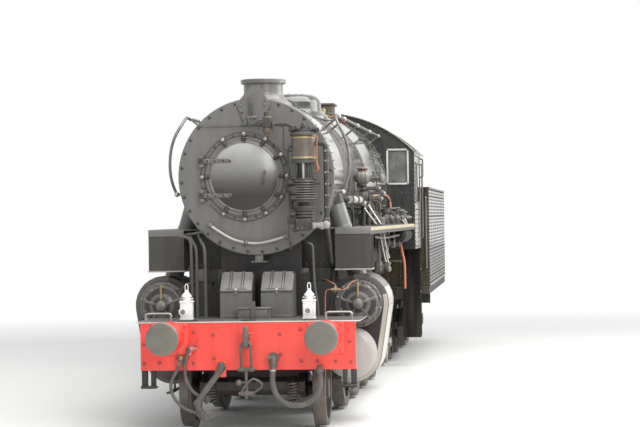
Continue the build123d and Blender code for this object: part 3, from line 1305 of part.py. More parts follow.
def hose_fittings():
    """Return the elbows, cocks and couplings on the hoses, and the plug that parks the left one."""
    face = BEAM_S - SEAT
    elbow = collar(VACUUM_ROUTE, 0, 40, 40)
    top = beyond(VACUUM_ROUTE, 0, 36)
    elbow += bar_between(top, (478, 287, 812), 36) + bar_along((470, face), 287, 810, 36)
    elbow += bar_along((face - 16, face), 285, 810, 62)
    elbow += bar_across(470, (230, 285), 815, 30)
    park = collar(VACUUM_ROUTE, 10, 24, 44)
    tip = beyond(VACUUM_ROUTE, 10, 20)
    park += bar_between(tip, (470, 797, 715), 26) + slab((462, face), (775, 820), (700, 730))
    stub = collar(STEAM_ROUTE, 0, 60, 41)
    tip = beyond(STEAM_ROUTE, 0, 45)
    stub += bar_between(tip, (486, -292, 742), 32) + bar_along((484, BEAM_S - 14 - SEAT), -292, 744, 33)
    hook = collar(STEAM_ROUTE, 4, 50, 42)
    tip = beyond(STEAM_ROUTE, 4, 40)
    hook += bar_between(tip, (444, -520, 235), 36) + bar_between((444, -520, 235), (444, -452, 160), 36)
    hook += bar_between((444, -452, 160), (444, -385, 165), 34) + bar_between((444, -385, 165),
                                                                              (444, -345, 250), 24)
    brass = collar(AIR_ONE_ROUTE, 0, 30, 24)
    tip = beyond(AIR_ONE_ROUTE, 0, 25)
    brass += bar_between(tip, (482, -735, 815), 26) + bar_along((480, face), -735, 818, 24)
    brass += bar_across(492, (-800, -735), 818, 12)
    red = collar(AIR_TWO_ROUTE, 0, 30, 24)
    tip = beyond(AIR_TWO_ROUTE, 0, 25)
    red += bar_between(tip, (490, -618, 918), 26) + bar_along((480, face), -612, 917, 26)
    red += bar_between((490, -622, 915), (482, -560, 950), 10)
    hand_one = collar(AIR_ONE_ROUTE, 8, 30, 24) + bar_along((430, 470), -520, 205, 42)
    hand_two = collar(AIR_TWO_ROUTE, 7, 30, 24) + bar_along((515, 555), -462, 362, 42)
    return [elbow, park, stub, hook, brass, red, hand_one, hand_two]


# Pony truck


def pony_truck():
    """Return the leading truck: side bars round the axle, a bolster and the radius arms."""
    truck = slab((1140, 1360), (-590, 590), (565, 640))
    truck += bar_up(PONY_S, 0, (635, FRONT_FRAME[0] - 25 - SEAT), 130)
    for side in (1, -1):
        y0, y1 = sorted((side * 510, side * 590))
        bar = side_plate([(880, 420), (880, 520), (1080, 600), (1420, 600), (1700, 520), (1700, 420),
                          (1420, 330),
                          (1080, 330)], (y0, y1))
        truck += bar
        arm = flat_plate([(1640, side * 590), (1640, side * 500), (PONY_PIVOT_S - 60, side * 15),
                          (PONY_PIVOT_S - 20, side * 75)], (440, 500))
        truck += arm
    truck += slab((1640, 1700), (-590, 590), (420, 520)) + slab((880, 930), (-590, 590), (440, 520))
    truck += bar_up(PONY_PIVOT_S, 0, (430, 510), 90)
    truck -= bar_up(PONY_PIVOT_S, 0, (400, 600), 30 + SEAT)
    truck -= bar_across(PONY_S, (-700, 700), SMALL_TREAD, SMALL_AXLE + SEAT)
    return truck


# Tender


def tender_frame():
    """Return the tender's underframe with its drawbar, the rear beam and the two outer sills."""
    first, last = TENDER_FRAME_S
    low, high = SILL_Z
    inner_end = last - BEAM_THICK - SEAT
    beam = slab((last - BEAM_THICK, last), (-BEAM_HALF, BEAM_HALF), BEAM_Z)
    frame = slab((first, first + 60), (-BOLSTER_REACH, BOLSTER_REACH), (1000, high))
    for side in (1, -1):
        y0, y1 = sorted((side * SILL_Y[0], side * SILL_Y[1]))
        frame += slab((first, inner_end), (y0, y1), SILL_Z)
    for s in BOGIE_S:
        frame += slab((s - 160, s + 160), (-BOLSTER_REACH, BOLSTER_REACH), (1060, high))
        frame += slab((s - 160, s + 160), (-400, 400), SILL_Z)
        frame += bar_up(s, 0, (BOGIE_PLATE_Z - 110, low + 5), 40)
    middle = (BOGIE_S[0] + BOGIE_S[1]) / 2
    frame += slab((middle - 50, middle + 50), (-BOLSTER_REACH, BOLSTER_REACH), (1080, high))
    outer_sill = slab((first, inner_end), (BOLSTER_REACH + SEAT, TENDER_HALF - 5), (1080, high))
    frame += slab((DRAWBAR_S - 20, first + 10), (-60, 60), (1000, 1060))
    frame += bar_up(DRAWBAR_S, 0, (1000, 1060), 95)
    frame -= bar_up(DRAWBAR_S, 0, (900, 1150), 35 + PIN_PLAY)
    return [frame, beam] + both_sides(outer_sill)


def tender_tank():
    """Return the tank with its coal bunker, front doorway and filler collar."""
    tank = slab(TENDER_S, (-TENDER_HALF, TENDER_HALF), (TENDER_FLOOR + SEAT, TENDER_TOP))
    bunker = [(BUNKER_S[0], TENDER_TOP + 50), (BUNKER_S[0], BUNKER_FLOOR), (14300, BUNKER_FLOOR),
              (BUNKER_S[1], 2350), (BUNKER_S[1], TENDER_TOP + 50)]
    tank -= side_plate(bunker, (-BUNKER_HALF, BUNKER_HALF))
    tank -= slab((TENDER_S[0] - 10, BUNKER_S[0] + 10), (-460, 460), (BUNKER_FLOOR, TENDER_TOP - 260))
    tank += bar_up(HATCH_S, 0, (TENDER_TOP - 5, TENDER_TOP + 60), HATCH_R - 15)
    tank -= bar_up(HATCH_S, 0, (TENDER_TOP - 350, TENDER_TOP + 80), HATCH_R - 40)
    for y in (-72, 72):
        tank += slab((HATCH_S + HATCH_R + 20, HATCH_S + HATCH_R + 60), (y - 12, y + 12),
                     (TENDER_TOP - 5, TENDER_TOP + 92))
    tank += bar_across(HATCH_S + HATCH_R + 40, (-72, 72), TENDER_TOP + 78, 9)
    return tank


def tender_hatch():
    """Return the filler's lid with its hinge arm."""
    low = TENDER_TOP + 60 + SEAT
    lid = bar_up(HATCH_S, 0, (low, low + 14), HATCH_R)
    lid += slab((HATCH_S - 60, HATCH_S + HATCH_R + 40), (-40, 40), (low + 10, low + 24))
    lid += bar_across(HATCH_S + HATCH_R + 40, (-40, 40), TENDER_TOP + 78, 17)
    lid += slab((HATCH_S - HATCH_R - 40, HATCH_S - HATCH_R + 20), (-15, 15), (low + 2, low + 14))
    return lid - bar_across(HATCH_S + HATCH_R + 40, (-60, 60), TENDER_TOP + 78, 9 + SEAT)


def tender_ladders():
    """Return the corner handrails at the tender's front and the ladder at its back."""
    out = []
    s = TENDER_S[0] - 45
    y = TENDER_HALF - 50
    rail = pipe([(TENDER_S[0] - SEAT, y, 1500), (s, y, 1500), (s, y, 2650), (TENDER_S[0] - SEAT, y, 2650)],
                14, 30)
    out += both_sides(rail)
    back = TENDER_S[1]
    ladder = None
    for y in (650, 950):
        side = pipe([(back + SEAT, y, 1350), (back + 60, y, 1350), (back + 60, y, 2700),
                     (back + SEAT, y, 2700)], 14, 30)
        ladder = side if ladder is None else ladder + side
    for z in (1450, 1700, 1950, 2200, 2450):
        ladder += bar_across(back + 60, (650, 950), z, 11)
    out.append(ladder)
    return out


def bogie(centre_s):
    """Return one bogie frame: two cast side frames and the bolster between them."""
    c = centre_s
    outline = [(-1040, 330), (-1040, 530), (-640, 620), (-300, 800), (300, 800), (640, 620), (1040, 530),
               (1040, 330),
               (700, 330), (380, 200), (-380, 200), (-700, 330)]
    windows = ([(-620, 400), (-300, 300), (-300, 700), (-560, 580)],
               [(-200, 300), (200, 300), (200, 540), (-200, 540)],
               [(300, 300), (620, 400), (560, 580), (300, 700)])
    frame = None
    for side in (1, -1):
        y = sorted((side * BOGIE_SIDE_Y[0], side * BOGIE_SIDE_Y[1]))
        plate = side_plate([(c + s, z) for s, z in outline], y)
        for window in windows:
            plate -= side_plate([(c + s, z) for s, z in window], (y[0] - 5, y[1] + 5))
        for base in (-BOGIE_HALF_BASE, BOGIE_HALF_BASE):
            box_y = sorted((side * (BOGIE_SIDE_Y[0] - 5), side * (BOGIE_SIDE_Y[1] + 60)))
            plate += slab((c + base - 120, c + base + 120), box_y, (310, 550))
            bore_y = sorted((side * 800, side * (BOGIE_SIDE_Y[1] + 20)))
            plate -= bar_across(c + base, bore_y, SMALL_TREAD, SMALL_AXLE + SEAT)
        frame = plate if frame is None else frame + plate
    reach = BOGIE_SIDE_Y[0] + 5
    frame += slab((c - 190, c + 190), (-reach, reach), (580, 790))
    frame += bar_up(c, 0, (780, BOGIE_PLATE_Z + 4 - SEAT), 210)
    frame -= bar_up(c, 0, (BOGIE_PLATE_Z - 130, BOGIE_PLATE_Z + 20), 40 + SEAT)
    return frame


def build_all():
    """Work out every node, in one table of name to solids."""
    front_end = front_buffers() + [screw_coupling()]
    nodes = {
        "main_frame": frame_plates(),
        "buffer_beam": [buffer_beam()],
        "front_platform": [front_deck()],
        "buffers_front": front_end[:2],
        "coupling_front": front_end[2:],
        "cylinder_saddle": [cylinder_saddle()],
        "smokebox": [smokebox()],
        "smokebox_front": [smokebox_front()],
        "smokebox_door": [smokebox_door()],
        "chimney": [chimney()],
        "air_pump": [air_pump()],
        "boiler": [boiler()],
        "dome": [dome()],
        "safety_valves": safety_valves(),
        "cab_front": [cab_front()],
        "cab_sides": cab_sides(),
        "cab_roof": [cab_roof()],
        "cab_floor": [cab_floor()],
        "cab_glass": cab_glass(),
        "backhead_controls": backhead(),
        "running_boards": running_boards(),
        "running_board_boxes": board_boxes(),
        "air_tanks": air_tanks(),
        "slide_bars": [guides()],
        "crossheads": crossheads(),
        "main_rods": main_rods(),
        "eccentric_rods": eccentric_rods(),
        "valve_gear": valve_gear(),
        "handrails": handrails(),
        "boiler_pipes": boiler_pipes(),
        "brake_gear": brakes(),
        "ash_pan": [ash_pan()],
        "toolboxes": both_sides(toolbox(TOOLBOX_Y)),
        "toolbox_lid_left": [toolbox_lid(TOOLBOX_Y)],
        "toolbox_lid_right": [other_side(toolbox_lid(TOOLBOX_Y))],
        "oil_lamps": [oil_lamp(y) for y in LAMP_Y],
        "vacuum_hose": [hose(VACUUM_ROUTE, VACUUM_R)],
        "steam_hose": [hose(STEAM_ROUTE, STEAM_R)],
        "air_hose_1": [hose(AIR_ONE_ROUTE, AIR_R)],
        "air_hose_2": [hose(AIR_TWO_ROUTE, AIR_R)],
        "hose_fittings": hose_fittings(),
        "pony_truck": [pony_truck()],
        "pony_wheelset": small_wheelset(PONY_S, BACK_TO_BACK / 2 + 146),
        "side_rod_left": [side_rod(LEFT_CRANK_ANGLE)],
        "side_rod_right": [other_side(side_rod(RIGHT_CRANK_ANGLE))],
        "tender_frame": tender_frame(),
        "tender_tank": [tender_tank()],
        "tender_hatch": [tender_hatch()],
        "tender_ladders": tender_ladders(),
        "tender_buffers": [mirror(piece, about=Plane.YZ) for piece in front_end],
    }
    for index in range(len(DRIVER_S)):
        nodes[f"driver_{index + 1}"] = driver_wheelset(index)
    for number, centre_s in enumerate(BOGIE_S):
        name = ("front", "rear")[number]
        nodes[f"bogie_{name}"] = [bogie(centre_s)]
        for offset, base in ((1, -BOGIE_HALF_BASE), (2, BOGIE_HALF_BASE)):
            nodes[f"tender_wheelset_{2 * number + offset}"] = small_wheelset(centre_s + base,
                                                                             BOGIE_SIDE_Y[1] + 15)
    return nodes


for name, pieces in build_all().items():
    save(name, pieces)
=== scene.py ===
"""Looks of a two-cylinder 2-8-0 steam locomotive with its bogie tender.

Places are written as the source writes them: s is how far behind the front
buffer faces, y is to the driver's left, and z is above the rail head, here all
in metres. ``spot`` turns such a place into the row frame.

Of the named numbers, POINT is the radius below which a turned form closes,
SIDES are the left and the right one, BARREL is the boiler's middle height,
BUFFERS is the left buffer's place (y, z), BEAM is the s of the front beam's
face, DRIVERS are the s of the driving axles, CRANK is the crank pins' throw, and
CRANK_ANGLES tells, in degrees, where the pins of each side stand.
"""

from __future__ import annotations

import logging
import math
from dataclasses import dataclass
from enum import Enum
from typing import Iterable, Sequence, Union

import bmesh
import bpy
from mathutils import Matrix, Vector

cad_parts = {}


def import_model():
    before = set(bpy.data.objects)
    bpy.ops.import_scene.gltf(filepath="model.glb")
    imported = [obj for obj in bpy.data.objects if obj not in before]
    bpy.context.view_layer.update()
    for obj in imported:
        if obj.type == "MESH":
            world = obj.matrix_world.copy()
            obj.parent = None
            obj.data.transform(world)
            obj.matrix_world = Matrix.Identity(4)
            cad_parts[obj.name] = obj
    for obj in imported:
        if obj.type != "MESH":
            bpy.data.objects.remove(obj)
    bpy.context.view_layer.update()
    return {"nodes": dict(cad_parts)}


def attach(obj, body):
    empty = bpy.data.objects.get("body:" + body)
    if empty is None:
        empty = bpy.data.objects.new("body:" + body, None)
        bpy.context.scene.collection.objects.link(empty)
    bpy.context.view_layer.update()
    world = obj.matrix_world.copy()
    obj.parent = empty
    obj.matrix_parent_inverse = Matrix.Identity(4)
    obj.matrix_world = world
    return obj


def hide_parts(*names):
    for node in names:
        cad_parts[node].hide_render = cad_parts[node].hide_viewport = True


LOG = logging.getLogger("locomotive")

LENGTH = 18.59
FLANGE = 0.028
POINT = 1e-6
SIDES = (1, -1)
BARREL = 2.824
BUFFERS = (0.8635, 1.054)
BEAM = 0.54
DRIVERS = (3.66, 5.235, 6.81, 8.385)
DRIVER_RADIUS = 0.724
CARRIER_RADIUS = 0.419
CRANK = 0.33
CRANK_ANGLES = {1: -90.0, -1: 180.0}

Place = tuple[float, float, float]
Colour = tuple[float, float, float]
Span = tuple[float, float]


def spot(place: Sequence[float]) -> Vector:
    """Turn a place (s, y, z above the rail) into the row frame."""
    return Vector((LENGTH / 2 - place[0], place[1], place[2] + FLANGE))


def tint(red: int, green: int, blue: int) -> Colour:
    """Turn a screen colour, 0 to 255, into the linear colour that shaders use."""
    parts = [value / 255 for value in (red, green, blue)]
    linear = [value / 12.92 if value <= 0.04045 else ((value + 0.055) / 1.055) ** 2.4 for value in parts]
    return (linear[0], linear[1], linear[2])


class Body(str, Enum):
    """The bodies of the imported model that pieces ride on."""

    ENGINE = "engine"
    DOOR = "smokebox_door"
    LID_LEFT = "toolbox_lid_left"
    LID_RIGHT = "toolbox_lid_right"
    PONY = "pony_truck"
    TENDER = "tender"
    HATCH = "tender_hatch"
    BOGIE_FRONT = "bogie_front"
    BOGIE_REAR = "bogie_rear"


class Axis(Enum):
    """The main directions in the row frame."""

    FORE = (1.0, 0.0, 0.0)
    AFT = (-1.0, 0.0, 0.0)
    LEFT = (0.0, 1.0, 0.0)
    RIGHT = (0.0, -1.0, 0.0)
    UP = (0.0, 0.0, 1.0)
    DOWN = (0.0, 0.0, -1.0)

    @property
    def way(self) -> Vector:
        """The direction as a vector."""
        return Vector(self.value)


FORE, AFT, LEFT, RIGHT, UP, DOWN = (axis.way for axis in Axis)


def outward(side: int) -> Vector:
    """Return the direction away from the engine's middle, on its left (1) or its right (-1)."""
    return Vector((0, side, 0))


# Shader expressions


class Flow:
    """A socket's value, used in Python expressions that add Math nodes."""

    def __init__(self, nodes: "Nodes", socket: Union[bpy.types.NodeSocket, None]) -> None:
        """Wrap an output socket.

        Args:
            nodes: The material's node maker.
            socket: The output that this value comes from.
        """
        self.nodes = nodes
        self.socket = socket

    def _math(self, operation: str, first: "Feed", second: "Feed") -> "Flow":
        """Add one Math node and return what it gives."""
        return self.nodes.node("ShaderNodeMath", {"operation": operation}, {0: first, 1: second})

    def __add__(self, other: "Feed") -> "Flow":
        """Add."""
        return self._math("ADD", self, other)

    def __radd__(self, other: float) -> "Flow":
        """Add to a number."""
        return self._math("ADD", other, self)

    def __sub__(self, other: "Feed") -> "Flow":
        """Subtract."""
        return self._math("SUBTRACT", self, other)

    def __rsub__(self, other: float) -> "Flow":
        """Subtract from a number."""
        return self._math("SUBTRACT", other, self)

    def __mul__(self, other: "Feed") -> "Flow":
        """Multiply."""
        return self._math("MULTIPLY", self, other)

    def __truediv__(self, other: "Feed") -> "Flow":
        """Divide."""
        return self._math("DIVIDE", self, other)

    def __pow__(self, other: "Feed") -> "Flow":
        """Raise to a power."""
        return self._math("POWER", self, other)

    def clamped(self) -> "Flow":
        """Keep the value from 0 to 1."""
        return self.nodes.node("ShaderNodeClamp", {}, {0: self})

    def sine(self) -> "Flow":
        """Take the sine."""
        return self._math("SINE", self, 0.0)


Feed = Union[Flow, float, Sequence[float]]


class Nodes:
    """Makes the nodes of one material or of the world, and lays them out in rows."""

    ROWS = 7
    STEP = (60, 140)

    def __init__(self, owner: Union[bpy.types.Material, bpy.types.World]) -> None:
        """Empty the owner's tree and start it anew.

        Args:
            owner: The material or the world to fill.
        """
        self.tree = owner.node_tree
        self.tree.nodes.clear()
        self.column = 0

    def node(self, kind: str, settings: dict, feeds: dict, output: Union[int, str] = 0) -> Flow:
        """Add a node of any type.

        Args:
            kind: The node's type.
            settings: Its settings, with a ramp's stops under "stops".
            feeds: Values or links for its inputs, by name or place.
            output: The output that is returned.

        Returns:
            The chosen output, ready for expressions.
        """
        made = self.tree.nodes.new(kind)
        made.location = (self.column * self.STEP[0], -(self.column % self.ROWS) * self.STEP[1])
        self.column += 1
        for name, value in settings.items():
            if name == "stops":
                self._stops(made.color_ramp, value)
            else:
                setattr(made, name, value)
        for name, value in feeds.items():
            socket = made.inputs[name]
            if isinstance(value, Flow):
                self.tree.links.new(value.socket, socket)
            elif socket.type == "RGBA" and isinstance(value, (tuple, list)) and len(value) == 3:
                socket.default_value = (*value, 1.0)
            else:
                socket.default_value = value
        return Flow(self, made.outputs[output] if made.outputs else None)

    @staticmethod
    def _stops(ramp: bpy.types.ColorRamp, stops: Sequence[tuple[float, float]]) -> None:
        """Set a ramp's stops from (place, grey) pairs."""
        while len(ramp.elements) < len(stops):
            ramp.elements.new(0.5)
        for element, (place, grey) in zip(ramp.elements, stops):
            element.position = place
            element.color = (grey, grey, grey, 1.0)

    def place(self, stretch: Sequence[float] = (1, 1, 1)) -> Flow:
        """Return the place on the object, stretched along the axes."""
        where = self.node("ShaderNodeTexCoord", {}, {}, "Object")
        return self.node("ShaderNodeVectorMath", {"operation": "MULTIPLY"}, {0: where, 1: tuple(stretch)})

    def noise(self, where: Flow, scale: float, detail: float = 3.0) -> Flow:
        """Return soft noise from 0 to 1."""
        return self.node("ShaderNodeTexNoise", {}, {"Vector": where, "Scale": scale, "Detail": detail})

    def parts(self, vector: Flow) -> tuple[Flow, Flow, Flow]:
        """Return the three parts of a vector."""
        split = self.node("ShaderNodeSeparateXYZ", {}, {0: vector})
        outputs = split.socket.node.outputs
        return Flow(self, outputs[0]), Flow(self, outputs[1]), Flow(self, outputs[2])

    def blend(self, share: Feed, first: Feed, second: Feed) -> Flow:
        """Return a colour between two, by a share of the second."""
        return self.node("ShaderNodeMix", {"data_type": "RGBA"}, {0: share, 6: first, 7: second}, 2)

    def edges(self, width: float) -> tuple[Flow, Flow]:
        """Return the normal rounded at edges, and how far each place is turned by it."""
        soft = self.node("ShaderNodeBevel", {"samples": 3}, {"Radius": width})
        sharp = self.node("ShaderNodeNewGeometry", {}, {}, "Normal")
        same = self.node("ShaderNodeVectorMath", {"operation": "DOT_PRODUCT"}, {0: soft, 1: sharp}, "Value")
        return soft, 1.0 - same

    def bump(self, height: Feed, distance: float, normal: Union[Flow, None] = None) -> Flow:
        """Return the normal of a surface with that height."""
        feeds = {"Height": height, "Distance": distance, "Strength": 1.0}
        if normal is not None:
            feeds["Normal"] = normal
        return self.node("ShaderNodeBump", {}, feeds)

    def surface(self, feeds: dict) -> None:
        """Add the main shader and join it to the material's output."""
        shader = self.node("ShaderNodeBsdfPrincipled", {}, feeds)
        self.node("ShaderNodeOutputMaterial", {}, {"Surface": shader})


# Finishes


@dataclass(frozen=True)
class Finish:
    """What every finish of the engine has.

    Args:
        name: The material's name.
        slot: The record's material slot; not used.
        colour: The clean colour.
        rough: The clean roughness.
    """

    name: str
    slot: str
    colour: Colour
    rough: float

    def material(self) -> bpy.types.Material:
        """Return the finish's material, made once."""
        found = bpy.data.materials.get(self.name)
        if found is not None:
            return found
        made = bpy.data.materials.new(self.name)
        made.use_nodes = True
        made.diffuse_color = (*self.colour, 1.0)
        self.fill(Nodes(made))
        return made

    def fill(self, nodes: Nodes) -> None:
        """Make the finish's nodes."""
        raise NotImplementedError


@dataclass(frozen=True)
class Paint(Finish):
    """Paint on metal, with soot, rain streaks, dust low down and worn edges.

    Args:
        dust: The colour of the dust.
        dusty: How much dust lies all over.
        low: How much more dust lies near the rail.
        streaks: How strong the streaks are.
        coat: The gloss of the varnish.
        wear: How much bare metal shows at the edges.
        uneven: How deep the sheet's dents are, in metres.
        top: The lighter colour that it rises to upwards, a painted sky highlight over painted shade lower down.
        rise: The heights where that painted light starts and is reached.
        gloss: How much it mirrors at a flat angle.
    """

    dust: Colour = tint(120, 112, 100)
    dusty: float = 0.25
    low: float = 0.0
    streaks: float = 0.25
    coat: float = 0.0
    wear: float = 0.5
    uneven: float = 0.0016
    top: Union[Colour, None] = None
    rise: Span = (0.0, 1.0)
    gloss: float = 0.5

    def fill(self, nodes: Nodes) -> None:
        """Make the paint's nodes."""
        where = nodes.place()
        broad = nodes.noise(where, 1.3, 4.0)
        fine = nodes.noise(where, 38.0, 3.0)
        runs = nodes.noise(nodes.place((11, 11, 0.9)), 1.0, 3.0)
        height = nodes.parts(where)[2]
        near_rail = ((1.5 - height) / 1.5).clamped()
        dirt = ((broad - 0.42) * 2.2 * self.dusty + (runs - 0.5) * 1.6 * self.streaks
                + near_rail * self.low + (fine - 0.5) * 0.25 * self.dusty).clamped()
        dark = tuple(value * 0.78 for value in self.colour)
        base = nodes.blend((runs * 1.4 - 0.3).clamped(), dark, self.colour)
        # Painted light: with height the colour rises to the lighter top colour, a painted sky highlight above and
        # painted shade below.
        if self.top:
            painted_sky_share = ((height - self.rise[0]) / (self.rise[1] - self.rise[0])).clamped() ** 1.3
            base = nodes.blend(painted_sky_share, base, self.top)
        base = nodes.blend(dirt, base, self.dust)
        rough = self.rough + dirt * 0.35 + (fine - 0.5) * 0.12
        soft, turned = nodes.edges(0.006)
        bare = ((turned * 7.0 + (fine - 0.62) * 1.4) * 1.3).clamped() * self.wear
        base = nodes.blend(bare, base, tint(168, 162, 152))
        relief = nodes.noise(where, 3.1, 2.0) * self.uneven + fine * 0.00025
        nodes.surface({"Base Color": base, "Roughness": (rough - bare * 0.2).clamped(), "Metallic": bare * 0.7,
                       "Normal": nodes.bump(relief, 1.0, soft), "Coat Weight": self.coat, "Coat Roughness": 0.12,
                       "Specular IOR Level": self.gloss,})


@dataclass(frozen=True)
class Metal(Finish):
    """Bare metal: machined, cast or polished, oiled and grimy in places.

    Args:
        grime: The colour of old oil and soot.
        grimy: How much of it there is.
        shine: How metallic the clean places are.
        scratch: How strong the fine scratches are.
        cast: How deep the cast skin is, in metres.
    """

    grime: Colour = tint(62, 56, 50)
    grimy: float = 0.4
    shine: float = 0.9
    scratch: float = 0.2
    cast: float = 0.0004

    def fill(self, nodes: Nodes) -> None:
        """Make the metal's nodes."""
        where = nodes.place()
        broad = nodes.noise(where, 4.5, 4.0)
        fine = nodes.noise(where, 90.0, 2.0)
        lines = nodes.noise(nodes.place((14, 260, 260)), 1.0, 2.0)
        dirt = ((broad - 0.45) * 3.0 * self.grimy + (fine - 0.5) * 0.5 * self.grimy + 0.3 * self.grimy).clamped()
        base = nodes.blend(dirt, self.colour, self.grime)
        base = nodes.blend((lines - 0.5).clamped() * self.scratch * 2, base, tint(225, 222, 214))
        soft, turned = nodes.edges(0.003)
        bright = ((turned * 6.0) * (fine + 0.4)).clamped() * 0.5
        base = nodes.blend(bright, base, tint(206, 202, 194))
        nodes.surface({
            "Base Color": base, "Roughness": (self.rough + dirt * 0.3 + (lines - 0.5) * self.scratch).clamped(),
            "Metallic": (self.shine - dirt * 0.5 * self.shine),
            "Normal": nodes.bump(fine * self.cast + lines * self.scratch * 0.0002, 1.0, soft),
        })


@dataclass(frozen=True)
class Rubber(Finish):
    """Dull rubber with cloth marks and chalky dust.

    Args:
        ribs: How many ribs there are in a metre.
    """

    ribs: float = 110.0

    def fill(self, nodes: Nodes) -> None:
        """Make the rubber's nodes."""
        where = nodes.place()
        broad = nodes.noise(where, 9.0, 4.0)
        fine = nodes.noise(where, 160.0, 2.0)
        along, across, height = nodes.parts(where)
        weave = ((height + across * 0.7 + along * 0.3) * self.ribs * 6.283).sine() * 0.5 + 0.5
        chalk = ((broad - 0.45) * 2.2 + (fine - 0.5) * 0.4).clamped()
        base = nodes.blend(chalk * 0.5, self.colour, tint(142, 136, 126))
        nodes.surface({"Base Color": base, "Roughness": (self.rough + chalk * 0.15).clamped(),
                       "Normal": nodes.bump(weave * 0.0006 + fine * 0.0003, 1.0),})


@dataclass(frozen=True)
class Glass(Finish):
    """Clear or tinted glass with a film of dust.

    Args:
        clear: How much light passes.
    """

    clear: float = 0.75

    def fill(self, nodes: Nodes) -> None:
        """Make the glass's nodes."""
        where = nodes.place()
        film = nodes.noise(where, 3.0, 4.0)
        nodes.surface({"Base Color": nodes.blend((film - 0.4).clamped(), self.colour, tint(190, 190, 180)),
                       "Roughness": (self.rough + (film - 0.4).clamped() * 0.4).clamped(),
                       "Alpha": ((1.0 - self.clear) + (film - 0.45).clamped() * 0.4).clamped(), "IOR": 1.5,})


